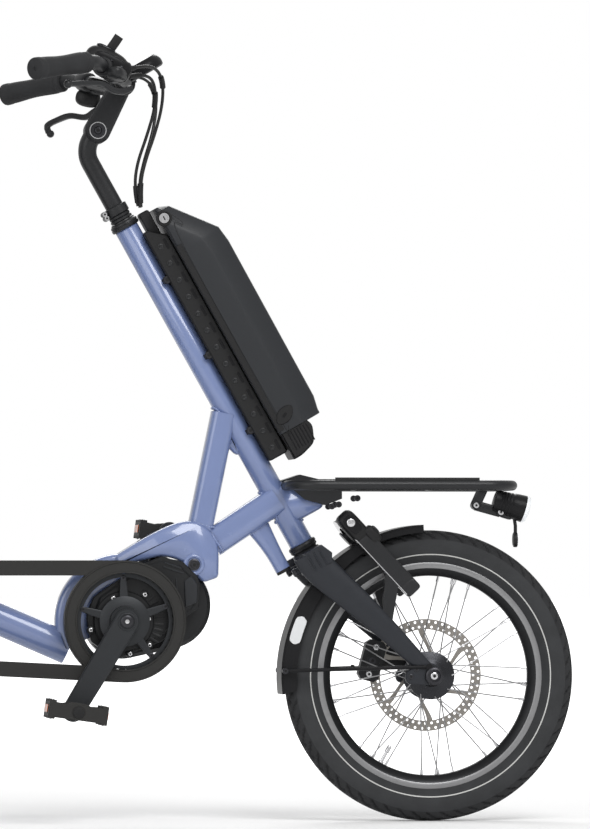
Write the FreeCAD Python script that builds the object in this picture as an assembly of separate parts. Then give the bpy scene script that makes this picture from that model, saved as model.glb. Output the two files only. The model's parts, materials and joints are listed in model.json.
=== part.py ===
"""A semi-recumbent electric delta trike: one steered wheel in front, two driven wheels behind.

Millimetres, X forward, Y left, Z up. The origin is on the ground below the middle of the whole length.
Places along the trike are measured from the front axle, heights from the ground. Places on the
steering are measured up along its axis from the foot of the head tube, and forward, square to it.
"""
import FreeCAD, Part
import os
from math import acos, atan2, cos, degrees, pi, radians, sin, tan

V = FreeCAD.Vector

# Clearances
RUN_GAP = 0.3            # between pieces that move past each other
PIN_GAP = 0.08           # round a shaft in its bore
RUNNING_SPACE = 5.0      # between turning and fixed pieces that don't guide each other
OVERRUN = 4.0            # how far a cutting tool passes the piece

# Whole vehicle
WHEELBASE = 1300.0
TRACK = 690.0
REAR_OVERHANG = 345.0    # rear axle to the tail of the rear carrier

# Tyres
FRONT_TYRE_R = 232.5
REAR_TYRE_R = 258.0
TYRE_WIDTH = 55.0
FRONT_SEAT_R = 177.5     # bead seat of an 18 inch rim
REAR_SEAT_R = 203.0      # bead seat of a 20 inch rim
BEAD_WIDTH = 23.0
TYRE_SHARES = ((0.56, 1.0), (1.0, 0.52))   # shoulder and widest place: of the half width, of the height

# Rims and spokes
RIM_DEPTH = 18.0         # bead seat to the spoke bed
RIM_BED_WIDTH = 12.0
RIM_FLANGE = 6.0         # how far the side walls stand over the bead seat
SPOKE_PAIRS = 18
SPOKE_R = 1.5
SPOKE_LEAN = radians(26.0)   # how far a spoke's rim end runs ahead of its hub end

# Front hub, axle and brake disc
FRONT_FLANGE_R = 38.0
FLANGE_THICK = 3.5
SPOKE_CIRCLE_INSET = 4.5
FRONT_FLANGE_Y = 25.0
FRONT_HUB_R = 21.0
HUB_END_R = 14.0
FRONT_DROPOUT_Y = 50.0   # inner face of each fork end
FRONT_AXLE_R = 5.0
AXLE_NUT_R = 9.5
AXLE_NUT_LENGTH = 9.0
DISC_R = 90.0
DISC_TRACK_DEPTH = 17.0
DISC_THICK = 2.0
DISC_Y = 35.0
DISC_ARMS = 6
DISC_ARM_WIDTH = 9.0
DISC_HUB_R = 24.0

# Steering axis
HEAD_ANGLE = radians(60.8)   # above the ground, leaning back
FORK_RAKE = 76.4
AXLE_DROP = 285.0            # foot of the head tube to the axle, along the axis
HEAD_LENGTH = 576.0
HEAD_R = 19.5
HEAD_BORE_R = 16.5
STEERER_R = 14.3
CUP_R = 23.5
CUP_HEIGHT = 14.0
CUP_LIP = 3.0

# Fork
CROWN_HEIGHT = 32.0
CROWN_DEPTH = 40.0
CROWN_CORE_R = 23.0
CROWN_BACK = 11.0            # how far the crown's arms reach behind the axis
BLADE_Y = 58.0               # blade centres at the crown
BLADE_TOP_DEPTH = 54.0
BLADE_TIP_DEPTH = 24.0
BLADE_WIDTH = 19.0
BLADE_TIP_WIDTH = 12.0
BLADE_DROP_SHARES = (0.06, 0.22, 0.40, 0.64, 0.88, 1.0)      # of the drop to the axle
BLADE_RAKE_SHARES = (-0.06, 0.06, 0.30, 0.60, 0.86, 1.0)     # of the rake
BLADE_TAPER_SHARES = (0.92, 1.0, 0.80, 0.45, 0.12, 0.0)      # from the tip's size to the top's

# Battery and its dock on the head tube
BATTERY_FOOT = 124.0
BATTERY_LENGTH = 457.0
BATTERY_BASE = 49.5
BATTERY_DEPTH = 82.0
BATTERY_WIDTH = 90.0
BATTERY_ROUND = 16.0
BATTERY_SHARES = ((0.0, 0.0), (0.0, 0.2), (0.018, 0.53), (0.077, 0.67), (0.095, 0.62), (0.113, 0.93),
                  (0.16, 0.985), (0.779, 1.0), (0.838, 0.957), (0.985, 0.31), (1.0, 0.12), (1.0, 0.0))
DOCK_FOOT = 140.0
DOCK_LENGTH = 416.0
DOCK_WIDTH = 62.0
DOCK_SLOPE_SHARE = 0.05
DOCK_CLIPS = 4
DOCK_CLIP_SHARE = 0.05
CABLE_PORT_HEIGHT = 30.0
CABLE_PORT_DEPTH = 18.0
CABLE_PORT_WIDTH = 34.0
LOCK_BARREL_R = 9.0
LOCK_BARREL_LENGTH = 5.0
LOCK_PLACE_SHARE = 0.86      # of the battery's length
LOCK_DEPTH_SHARE = 0.10
PORT_COVER_LENGTH = 26.0
PORT_COVER_WIDTH = 14.0
PORT_COVER_THICK = 2.5
PORT_PLACE_SHARE = 0.20
PORT_DEPTH_SHARE = 0.30

# Post and lower tube of the front frame
LOWER_TUBE_UP = 80.0         # where its centre meets the steering axis
LOWER_TUBE_SLOPE = radians(33.8)
LOWER_TUBE_LENGTH = 126.0
LOWER_TUBE_DEPTH = 49.0
LOWER_TUBE_END_DEPTH = 40.0
LOWER_TUBE_WIDTH = 46.0
POST_UP = 242.0
POST_DEPTH = 45.0
POST_WIDTH = 40.0
POST_FOOT_BACK = 24.0        # past the end of the lower tube
POST_GUSSET = 46.0
STUB_R = 11.0
STUB_BACK = 46.0             # centre behind the steering axis
STUB_FOOT = -22.0
STUB_TOP = 62.0
PLUG_LENGTH = 5.0
PLUG_R = 12.0
RACK_LUG_FOOT = 34.0
RACK_LUG_TOP = 98.0
RACK_LUG_REACH = 62.0
RACK_LUG_WIDTH = 34.0

# Crank axle and motor
BB_X = -494.0
BB_Z = 320.0
MOTOR_X = -421.0
MOTOR_Z = 345.0
MOTOR_R = 68.0
MOTOR_REAR_R = 60.0
MOTOR_HALF = 36.0
MOTOR_RIB_DEPTH = 3.0
MOTOR_RIBS = 9
MOTOR_COVER_R = 52.0
MOTOR_COVER_THICK = 3.0
CRADLE_LENGTH = 169.0
CRADLE_HEIGHT = 94.0
CRADLE_BACK = 12.0           # behind the crank axle
CRADLE_FOOT = 63.0           # above the crank axle
CRADLE_WIDTH = 56.0
CRADLE_SHARES = ((0.0, 0.43), (0.60, 0.97), (0.66, 1.0), (0.82, 0.79), (1.0, 0.35), (1.0, 0.06),
                 (0.89, 0.0), (0.69, 0.31), (0.49, 0.40), (0.25, 0.29), (0.0, 0.20))
ARM_R = 101.0                # outer radius of the cradle's rear arm, about the crank axle
ARM_START = radians(84.0)
ARM_END = radians(206.0)

# Chain guard
GUARD_Y = -52.0
GUARD_WIDTH = 25.0
GUARD_R = 96.8
GUARD_INNER_R = 76.7
GUARD_WALL = 2.5
GUARD_RUN = 24.0             # height of each run
JACK_BACK = 160.0            # gear hub ahead of the rear axle
JACK_Z = 336.5
REAR_GUARD_R = 80.0
REAR_GUARD_INNER_R = 50.0

# Cranks and pedals
CRANK_LENGTH = 165.0
CRANK_TURN = radians(211.1)  # right crank, from straight up towards the front
SPINDLE_R = 12.0
CRANK_Y = 78.0               # inner face of each arm
CRANK_THICK = 13.0
CRANK_BOSS_R = 20.0
CRANK_EYE_R = 13.0
CHAINRING_R = 81.0
CHAINRING_ROOT_R = 76.0
CHAINRING_INNER_R = 62.0
CHAINRING_TEETH = 38
CHAINRING_THICK = 4.0
SPIDER_ARMS = 5
SPIDER_WIDTH = 15.0
PEDAL_PIN_R = 7.0
PEDAL_LENGTH = 96.0
PEDAL_WIDTH = 88.0
PEDAL_THICK = 30.0
PEDAL_TILT = radians(-8.0)
PEDAL_CORE_R = 13.0
PEDAL_BAR = 13.0
PEDAL_GAP = 8.0

# Main tube, seat rail and rear stays
MAIN_R = 25.5
MAIN_FOOT_X = -580.0
MAIN_FOOT_Z = 276.3
MAIN_SLOPE = radians(23.4)
RAIL_Z = 486.0
RAIL_END = -1352.0
MAIN_BEND = 150.0
STAY_Y = 74.0
STAY_THICK = 8.0
STAY_BAR = 32.0
STAY_EYE_R = 27.0
CROSS_R = 14.0
FRONT_CROSS_X = -1024.0
REAR_CROSS_INSET = 17.0

# Gear hub, differential and rear axle
GEAR_HUB_R = 44.0
GEAR_HUB_HALF = 36.0
GEAR_FLANGE_R = 52.0
JACK_R = 6.0
DIFF_R = 50.0
DIFF_HALF = 40.0
CASE_Y = 45.0
CASE_WIDTH = 16.0
CASE_FRONT_R = 42.0
CASE_REAR_R = 62.0
HOUSING_R = 20.0
HOUSING_END_Y = 300.0
HALF_SHAFT_R = 8.5
SHAFT_DEPTH = 60.0
REAR_HUB_R = 24.0
REAR_FLANGE_R = 36.0
REAR_FLANGE_HALF = 23.0
REAR_HUB_HALF = 33.0
HUB_CAP_R = 16.0

# Mudguards
FENDER_GAP = 6.5             # tyre to the guard's inside
FENDER_THICK = 2.5
FENDER_HALF = 34.0
FENDER_SKIRT = 10.0
FRONT_FENDER_START = radians(93.0)
FRONT_FENDER_END = radians(187.0)
REAR_FENDER_START = radians(20.0)
REAR_FENDER_END = radians(165.0)
FENDER_ROD_R = 3.0
FENDER_EYE_R = 4.8
FENDER_ROD_TURN = radians(9.0)   # the front rods' place above the guard's lower end
FENDER_ROD_OUT = 9.0          # how far a front rod's upper end stands off the skirt

# Front carrier and headlamp
RACK_TUBE_R = 8.0
RACK_REAR = -232.0
RACK_FRONT = 133.0
RACK_Z = 536.0
RACK_HALF = 112.0
RACK_CORNER = 45.0
RACK_BARS = 2
RACK_PLATE_WIDTH = 80.0
RACK_PLATE_THICK = 4.0
RACK_HOLE_R = 3.3
RACK_HOLE_X = 60.0
RACK_HOLE_Y = 50.0
GUSSET_WIDTH = 46.0
GUSSET_SHARES = ((1.06, 0.32), (1.0, 0.8), (0.52, 1.62), (0.32, 1.45), (0.36, 1.0), (0.6, 0.6))
LAMP_X = 138.0
LAMP_Z = 500.0
LAMP_LENGTH = 58.0
LAMP_HEIGHT = 44.0
LAMP_WIDTH = 62.0
LAMP_PITCH = radians(-14.0)
LAMP_ROUND = 9.0
REFLECTOR_R = 12.0
REFLECTOR_THICK = 6.0
REFLECTOR_DROP = 50.0

# Riser, stem and handlebar
COLLAR_R = 19.0
COLLAR_HEIGHT = 26.0
RISER_R = 15.0
RISER_TOP = 704.0            # where the post bends forward
PIVOT_UP = 734.0
PIVOT_FORWARD = 36.0
PIVOT_R = 21.0
PIVOT_HALF = 21.0
BAR_UP = 780.0
BAR_FORWARD = 105.0
BAR_R = 11.1
BAR_CLAMP_R = 15.9
BAR_CLAMP_HALF = 28.0
STEM_HALF = 20.0
BAR_STRAIGHT_Y = 62.0
GRIP_INNER_X = -556.0
GRIP_INNER_Z = 1198.0
GRIP_INNER_Y = 200.0
GRIP_END_X = -655.0
GRIP_END_Z = 1179.0
GRIP_END_Y = 290.0
GRIP_R = 17.0
GRIP_WAIST_R = 15.0
BAR_BEND = 55.0
LEVER_R = 5.0
LEVER_TIP_R = 8.0
LEVER_DROP = 31.0
LEVER_REACH = 26.0
PERCH_R = 16.0
PERCH_LENGTH = 26.0
PERCH_SHARE = 0.70           # along the bar's swept stretch
DISPLAY_R = 34.0
DISPLAY_DEPTH = 22.0
DISPLAY_TILT = radians(60.0)
THUMB_LEVER_LENGTH = 42.0

# Ring lock on the fork
RING_TOP_X = -143.0
RING_TOP_Z = 487.0
RING_FOOT_X = -34.0
RING_FOOT_Z = 371.0
RING_HALF = 60.0
RING_BAND = 13.0
RING_THICK = 24.0

# Brake caliper
CALIPER_ANGLE = radians(165.0)
CALIPER_LENGTH = 66.0
CALIPER_DEPTH = 34.0
CALIPER_INNER_Y = 27.0
CALIPER_OUTER_Y = 50.5
CALIPER_GAP = 2.0            # each side of the disc

# Seat
SEAT_X = -1175.0
SLIDER_X = -1195.0
SLIDER_LENGTH = 110.0
SLIDER_WIDTH = 66.0
SLIDER_TOP = 526.0
SLIDER_FOOT = 452.0
SEAT_LENGTH = 370.0
SEAT_WIDTH = 400.0
SEAT_TUBE_R = 10.0
SEAT_CORNER = 60.0
CUSHION_THICK = 58.0
CUSHION_ROUND = 20.0
BACK_HEIGHT = 470.0
BACK_WIDTH = 420.0
BACK_THICK = 52.0
BACK_LEAN = radians(18.0)
BACK_LIFT = 40.0

# Rear carrier and tail lamp
CARRIER_Z = 506.0
CARRIER_HALF = 100.0
CARRIER_FRONT = -1420.0
CARRIER_R = 8.0
CARRIER_CORNER = 40.0
CARRIER_BARS = 3
TAIL_LAMP_WIDTH = 80.0
TAIL_LAMP_HEIGHT = 26.0
TAIL_LAMP_DEPTH = 16.0

# Cables
CABLE_R = 2.6
ADJUSTER_R = 4.0
ADJUSTER_LENGTH = 24.0
# from the lever, over the front and down to the dock's cable port, on the left side
CABLE_ROUTE = ((-515, 1186, 152), (-484, 1195, 136), (-453, 1198, 108), (-436, 1180, 76), (-433, 1143, 46),
               (-443, 1097, 25), (-457, 1056, 13), (-466, 1016, 10), (-464, 980, 9))

# Worked out from the sizes above
TOTAL_LENGTH = FRONT_TYRE_R + WHEELBASE + REAR_OVERHANG
AXLE_X = TOTAL_LENGTH / 2 - FRONT_TYRE_R
UP = V(-cos(HEAD_ANGLE), 0, sin(HEAD_ANGLE))
AHEAD = V(sin(HEAD_ANGLE), 0, cos(HEAD_ANGLE))
LEFT = V(0, 1, 0)


def at(x, z, y=0.0):
    """A point by its place from the front axle and its height over the ground."""
    return V(AXLE_X + x, y, z)


HEAD_FOOT = at(0, FRONT_TYRE_R) - AHEAD * FORK_RAKE + UP * AXLE_DROP
CROWN_TOP = -CUP_HEIGHT


def on_steering(up, forward, y=0.0):
    """A point by its place up the steering axis and forward of it."""
    return HEAD_FOOT + UP * up + AHEAD * forward + LEFT * y


FRONT_HUB = at(0, FRONT_TYRE_R)
REAR_HUB = at(-WHEELBASE, REAR_TYRE_R)
CRANK_AXLE = at(BB_X, BB_Z)
JACK = at(-WHEELBASE + JACK_BACK, JACK_Z)


# Building blocks
def solid_of(faces_or_shape):
    """The one solid in a shape."""
    return faces_or_shape.Solids[0] if len(faces_or_shape.Solids) == 1 else faces_or_shape


def rod(start, end, radius):
    """A round bar between two points."""
    run = end - start
    return Part.makeCylinder(radius, run.Length, start, run)


def disc(centre, radius, y_from, y_to):
    """A cylinder across the trike about a point of the side view."""
    return Part.makeCylinder(radius, y_to - y_from, V(centre.x, y_from, centre.z), LEFT)


def prism(points, y_from, y_to):
    """A side-view outline, drawn out across the trike."""
    ring = [V(p.x, y_from, p.z) for p in points]
    face = Part.Face(Part.makePolygon(ring + ring[:1]))
    return face.extrude(LEFT * (y_to - y_from))


def block(x_from, x_to, y_from, y_to, z_from, z_to):
    """A box by its limits, X from the front axle."""
    return Part.makeBox(x_to - x_from, y_to - y_from, z_to - z_from, at(x_from, z_from, y_from))


def rounded_path(points, bend):
    """Straight runs joined by tangent arcs of one radius, or of a radius each."""
    bends = bend if isinstance(bend, (list, tuple)) else [bend] * (len(points) - 2)
    edges, last = [], points[0]
    for before, here, after, radius in zip(points, points[1:], points[2:], bends):
        back = (before - here).normalize()
        ahead = (after - here).normalize()
        half = acos(max(-1.0, min(1.0, back * ahead))) / 2
        reach = radius / tan(half)
        middle = (back + ahead).normalize()
        first, final = here + back * reach, here + ahead * reach
        nearest = here + middle * (radius / sin(half) - radius)
        if (first - last).Length > RUN_GAP:
            edges.append(Part.LineSegment(last, first).toShape())
        edges.append(Part.Arc(first, nearest, final).toShape())
        last = final
    edges.append(Part.LineSegment(last, points[-1]).toShape())
    return Part.Wire(edges)


def tube(points, radius, bend):
    """A round bar bent along a path."""
    path = rounded_path(points, bend)
    section = Part.Wire(Part.makeCircle(radius, points[0], points[1] - points[0]))
    return solid_of(path.makePipeShell([section], True, True))


def revolve_across(centre, outline):
    """A body of revolution about a cross axis, from (radius, y) points."""
    ring = [V(centre.x + radius, y, centre.z) for radius, y in outline]
    face = Part.Face(Part.makePolygon(ring + ring[:1]))
    return face.revolve(centre, LEFT, degrees(2 * pi))


def around(centre, radius, angle, y=0.0):
    """A point on a circle of the side view, its angle from the front towards the top."""
    return V(centre.x + radius * cos(angle), y, centre.z + radius * sin(angle))


def sector(centre, inner, outer, start, end, y_from, y_to):
    """Part of a flat ring, between two angles."""
    middle = (start + end) / 2
    edges = [Part.Arc(*(around(centre, outer, a, y_from) for a in (start, middle, end))).toShape(),
             Part.LineSegment(around(centre, outer, end, y_from), around(centre, inner, end, y_from)).toShape(),
             Part.Arc(*(around(centre, inner, a, y_from) for a in (end, middle, start))).toShape(),
             Part.LineSegment(around(centre, inner, start, y_from),
                              around(centre, outer, start, y_from)).toShape()]
    return Part.Face(Part.Wire(edges)).extrude(LEFT * (y_to - y_from))


def strap(start, end, start_r, end_r, y_from, y_to):
    """A flat link with round ends, its sides tangent to both."""
    run = end - start
    turn = atan2(run.z, run.x)
    side = acos((start_r - end_r) / run.Length)
    corners = [around(start, start_r, turn + side), around(end, end_r, turn + side),
               around(end, end_r, turn - side), around(start, start_r, turn - side)]
    body = prism(corners, y_from, y_to)
    return body.fuse([disc(start, start_r, y_from, y_to), disc(end, end_r, y_from, y_to)]).removeSplitter()


def fused(pieces):
    """One solid from overlapping pieces."""
    return solid_of(pieces[0].fuse(pieces[1:]).removeSplitter())


# Wheels
def tyre(hub, radius, seat_r, y):
    """A round-shouldered tyre on its bead seat."""
    height = radius - seat_r
    half, bead = TYRE_WIDTH / 2, BEAD_WIDTH / 2
    side = [(seat_r + height * up, half * out) for out, up in TYRE_SHARES]
    outline = [(seat_r, -bead)] + [(r, -o) for r, o in reversed(side)] + side + [(seat_r, bead)]
    return revolve_across(hub, [(r, y + o) for r, o in outline])


def rim(hub, tyre_r, seat_r, y):
    """A double-walled rim whose side walls end at the tyre's own flanks."""
    flank = TYRE_SHARES[-1][1] * (tyre_r - seat_r)
    bed, bead = RIM_BED_WIDTH / 2, BEAD_WIDTH / 2
    wall = bead + (TYRE_WIDTH / 2 - bead) * RIM_FLANGE / flank
    outline = [(seat_r - RIM_DEPTH, -bed), (seat_r - RIM_FLANGE, -wall), (seat_r + RIM_FLANGE, -wall),
               (seat_r, -bead), (seat_r, bead), (seat_r + RIM_FLANGE, wall), (seat_r - RIM_FLANGE, wall),
               (seat_r - RIM_DEPTH, bed)]
    return revolve_across(hub, [(r, y + o) for r, o in outline])


def spoke(start, end):
    """A three-sided bar, thin enough to read as round."""
    run = end - start
    side = run.cross(LEFT).normalize()
    third = run.cross(side).normalize()
    corners = [start + (side * cos(turn) + third * sin(turn)) * SPOKE_R
               for turn in (0, radians(120), radians(240))]
    return Part.Face(Part.makePolygon(corners + corners[:1])).extrude(run)


def spokes(hub, y, seat_r, flange_r, flange_half):
    """Crossed spokes from both flanges to the rim."""
    inner_r = flange_r - SPOKE_CIRCLE_INSET
    outer_r = seat_r - RIM_DEPTH + RIM_FLANGE
    pieces = []
    for index in range(2 * SPOKE_PAIRS):
        turn = pi * index / SPOKE_PAIRS
        side = 1 if index % 2 else -1
        lean = SPOKE_LEAN if index % 4 < 2 else -SPOKE_LEAN
        pieces.append(spoke(around(hub, inner_r, turn, y + side * flange_half), around(hub, outer_r, turn + lean, y)))
    return pieces


def front_wheel():
    """Front rim, spokes and flanged hub in one, bored for the axle."""
    end = FRONT_DROPOUT_Y - RUN_GAP
    hub = revolve_across(FRONT_HUB, [
        (FRONT_AXLE_R + PIN_GAP, -end), (HUB_END_R, -end), (FRONT_HUB_R, -FRONT_FLANGE_Y - FLANGE_THICK),
        (FRONT_FLANGE_R, -FRONT_FLANGE_Y - FLANGE_THICK), (FRONT_FLANGE_R, -FRONT_FLANGE_Y),
        (FRONT_HUB_R, -FRONT_FLANGE_Y + FLANGE_THICK), (FRONT_HUB_R, FRONT_FLANGE_Y - FLANGE_THICK),
        (FRONT_FLANGE_R, FRONT_FLANGE_Y), (FRONT_FLANGE_R, FRONT_FLANGE_Y + FLANGE_THICK),
        (DISC_HUB_R, FRONT_FLANGE_Y + FLANGE_THICK), (DISC_HUB_R, DISC_Y), (HUB_END_R, DISC_Y),
        (HUB_END_R, end), (FRONT_AXLE_R + PIN_GAP, end)])
    laced = spokes(FRONT_HUB, 0.0, FRONT_SEAT_R, FRONT_FLANGE_R, FRONT_FLANGE_Y + FLANGE_THICK / 2)
    return fused([rim(FRONT_HUB, FRONT_TYRE_R, FRONT_SEAT_R, 0.0), hub] + laced)


def front_axle():
    """The axle through the hub, with its nuts outside the fork ends."""
    outside = FRONT_DROPOUT_Y + BLADE_TIP_WIDTH
    shaft = disc(FRONT_HUB, FRONT_AXLE_R, -outside - AXLE_NUT_LENGTH, outside + AXLE_NUT_LENGTH)
    nuts = [disc(FRONT_HUB, AXLE_NUT_R, outside, outside + AXLE_NUT_LENGTH * 0.8),
            disc(FRONT_HUB, AXLE_NUT_R, -outside - AXLE_NUT_LENGTH * 0.8, -outside)]
    return fused([shaft] + nuts)


def brake_disc():
    """The front brake disc: a braking band on spiral arms round the hub."""
    y_from, y_to = DISC_Y, DISC_Y + DISC_THICK
    band = disc(FRONT_HUB, DISC_R, y_from, y_to).cut(
        disc(FRONT_HUB, DISC_R - DISC_TRACK_DEPTH, y_from - OVERRUN, y_to + OVERRUN))
    centre = disc(FRONT_HUB, DISC_HUB_R, y_from, y_to)
    arms = []
    for index in range(DISC_ARMS):
        turn = 2 * pi * index / DISC_ARMS
        start = around(FRONT_HUB, DISC_HUB_R - DISC_ARM_WIDTH / 2, turn)
        end = around(FRONT_HUB, DISC_R - DISC_TRACK_DEPTH + DISC_ARM_WIDTH / 2, turn + SPOKE_LEAN)
        arms.append(strap(start, end, DISC_ARM_WIDTH / 2, DISC_ARM_WIDTH / 2 * 0.9, y_from, y_to))
    bore = disc(FRONT_HUB, HUB_END_R, y_from - OVERRUN, y_to + OVERRUN)
    return solid_of(fused([band, centre] + arms).cut(bore))


def rear_wheel(side):
    """A rear rim, spokes and hub in one with its half shaft."""
    y = side * TRACK / 2
    flange = REAR_FLANGE_HALF
    hub = revolve_across(REAR_HUB, [
        (0, -REAR_HUB_HALF), (HUB_CAP_R, -REAR_HUB_HALF), (REAR_HUB_R, -flange - FLANGE_THICK),
        (REAR_FLANGE_R, -flange - FLANGE_THICK), (REAR_FLANGE_R, -flange), (REAR_HUB_R, -flange + FLANGE_THICK),
        (REAR_HUB_R, flange - FLANGE_THICK), (REAR_FLANGE_R, flange), (REAR_FLANGE_R, flange + FLANGE_THICK),
        (REAR_HUB_R, flange + FLANGE_THICK), (HUB_CAP_R, REAR_HUB_HALF), (0, REAR_HUB_HALF)])
    hub.translate(LEFT * y)
    inner_end = HOUSING_END_Y - SHAFT_DEPTH + OVERRUN
    outer_end = TRACK / 2
    shaft = disc(REAR_HUB, HALF_SHAFT_R, *sorted((side * inner_end, side * outer_end)))
    laced = spokes(REAR_HUB, y, REAR_SEAT_R, REAR_FLANGE_R, flange + FLANGE_THICK / 2)
    return fused([rim(REAR_HUB, REAR_TYRE_R, REAR_SEAT_R, y), hub, shaft] + laced)


# Front frame
def post_foot():
    """Middle of the lower tube's far end."""
    return on_steering(LOWER_TUBE_UP, 0) - V(cos(LOWER_TUBE_SLOPE), 0, sin(LOWER_TUBE_SLOPE)) * LOWER_TUBE_LENGTH


def lower_tube():
    """The deep tube from the foot of the head tube back to the motor cradle, narrower at its end."""
    start, end = on_steering(LOWER_TUBE_UP, 0), post_foot()
    across = V(-sin(LOWER_TUBE_SLOPE), 0, cos(LOWER_TUBE_SLOPE))
    deep, slim = across * (LOWER_TUBE_DEPTH / 2), across * (LOWER_TUBE_END_DEPTH / 2)
    return prism([start + deep, end + slim, end - slim, start - deep], -LOWER_TUBE_WIDTH / 2, LOWER_TUBE_WIDTH / 2)


def post():
    """The near-upright strut from the head tube down to the cradle, with a gusset ahead of it."""
    top, foot = on_steering(POST_UP, -HEAD_R * 0.4), post_foot() - V(POST_FOOT_BACK, 0, 0)
    run = (top - foot).normalize()
    across = run.cross(LEFT).normalize() * (POST_DEPTH / 2)
    gusset = on_steering(LOWER_TUBE_UP + LOWER_TUBE_DEPTH / 2, -HEAD_R * 0.4)
    body = prism([top + across, foot + across, foot - across, top - across], -POST_WIDTH / 2, POST_WIDTH / 2)
    web = prism([top, foot, gusset - V(POST_GUSSET, 0, 0), gusset], -POST_WIDTH * 0.3, POST_WIDTH * 0.3)
    return body, web


def cradle():
    """The motor cradle: side plates in one with the arm that passes behind the motor."""
    corner = CRANK_AXLE + V(-CRADLE_BACK, 0, CRADLE_FOOT)
    points = [corner + V(across * CRADLE_LENGTH, 0, up * CRADLE_HEIGHT) for across, up in CRADLE_SHARES]
    bracket = prism(points, -CRADLE_WIDTH / 2, CRADLE_WIDTH / 2)
    arm = sector(CRANK_AXLE, MOTOR_REAR_R + RUN_GAP, ARM_R, ARM_START, ARM_END, -CRADLE_WIDTH / 2, CRADLE_WIDTH / 2)
    return bracket, arm


def stub_tube():
    """The short tube behind the head tube that stops the steering."""
    return rod(on_steering(STUB_FOOT, -STUB_BACK), on_steering(STUB_TOP, -STUB_BACK), STUB_R)


def rack_lug():
    """The front carrier's bracket on the head tube."""
    points = [on_steering(RACK_LUG_FOOT, 0), on_steering(RACK_LUG_TOP, 0),
              on_steering(RACK_LUG_TOP, RACK_LUG_REACH * 0.75),
              on_steering((RACK_LUG_TOP + RACK_LUG_FOOT) / 2, RACK_LUG_REACH), on_steering(RACK_LUG_FOOT, RACK_LUG_REACH)]
    return prism(points, -RACK_LUG_WIDTH / 2, RACK_LUG_WIDTH / 2)


def frame_front():
    """Head tube, post, lower tube, carrier bracket and motor cradle, welded into one."""
    tube_outside = rod(on_steering(0, 0), on_steering(HEAD_LENGTH, 0), HEAD_R)
    bore = rod(on_steering(-OVERRUN, 0), on_steering(HEAD_LENGTH + OVERRUN, 0), HEAD_BORE_R)
    pieces = [tube_outside, lower_tube(), stub_tube(), rack_lug()]
    pieces.extend(post())
    pieces.extend(cradle())
    return solid_of(fused(pieces).cut(bore))


def stub_plug():
    """The end plug of the stub tube."""
    start = on_steering(STUB_FOOT, -STUB_BACK)
    return rod(start - UP * PLUG_LENGTH, start, PLUG_R)


def headset_cup(seat, away):
    """A bearing cup on one end of the head tube."""
    cup = Part.makeCylinder(CUP_R, CUP_HEIGHT - RUN_GAP, seat, away)
    edges = [edge for edge in cup.Edges if edge.Length < 2.1 * pi * CUP_R and len(edge.Vertexes) == 1]
    cup = cup.makeChamfer(CUP_LIP, edges[:1] if edges else cup.Edges[:1])
    return cup.cut(Part.makeCylinder(STEERER_R + PIN_GAP, HEAD_LENGTH, seat - away * CUP_HEIGHT, away))


def headset_lower():
    """The lower bearing cup."""
    return solid_of(headset_cup(on_steering(0, 0), UP * -1))


def headset_upper():
    """The upper bearing cup."""
    return solid_of(headset_cup(on_steering(HEAD_LENGTH, 0), UP))


# Battery, dock and motor
def battery():
    """The battery case on the front of the head tube, its long edges rounded."""
    points = [on_steering(BATTERY_FOOT + along * BATTERY_LENGTH, BATTERY_BASE + deep * BATTERY_DEPTH)
              for along, deep in BATTERY_SHARES]
    case = prism(points, -BATTERY_WIDTH / 2, BATTERY_WIDTH / 2)
    long_run = BATTERY_LENGTH / 2
    edges = [edge for edge in case.Edges if edge.Length > long_run and
             (edge.CenterOfMass - on_steering(0, 0)) * AHEAD > BATTERY_BASE + BATTERY_DEPTH / 2]
    return solid_of(case.makeFillet(BATTERY_ROUND, edges))


def battery_lock():
    """The lock barrel near the top of the battery's right side."""
    place = on_steering(BATTERY_FOOT + LOCK_PLACE_SHARE * BATTERY_LENGTH,
                        BATTERY_BASE + LOCK_DEPTH_SHARE * BATTERY_DEPTH)
    return disc(place, LOCK_BARREL_R, -BATTERY_WIDTH / 2 - LOCK_BARREL_LENGTH, -BATTERY_WIDTH / 2)


def port_cover():
    """The oval cover of the charging port."""
    place = on_steering(BATTERY_FOOT + PORT_PLACE_SHARE * BATTERY_LENGTH,
                        BATTERY_BASE + PORT_DEPTH_SHARE * BATTERY_DEPTH)
    half = UP * ((PORT_COVER_LENGTH - PORT_COVER_WIDTH) / 2)
    face = -BATTERY_WIDTH / 2
    return solid_of(strap(place - half, place + half, PORT_COVER_WIDTH / 2, PORT_COVER_WIDTH / 2 * 0.99,
                          face - PORT_COVER_THICK, face))


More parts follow.
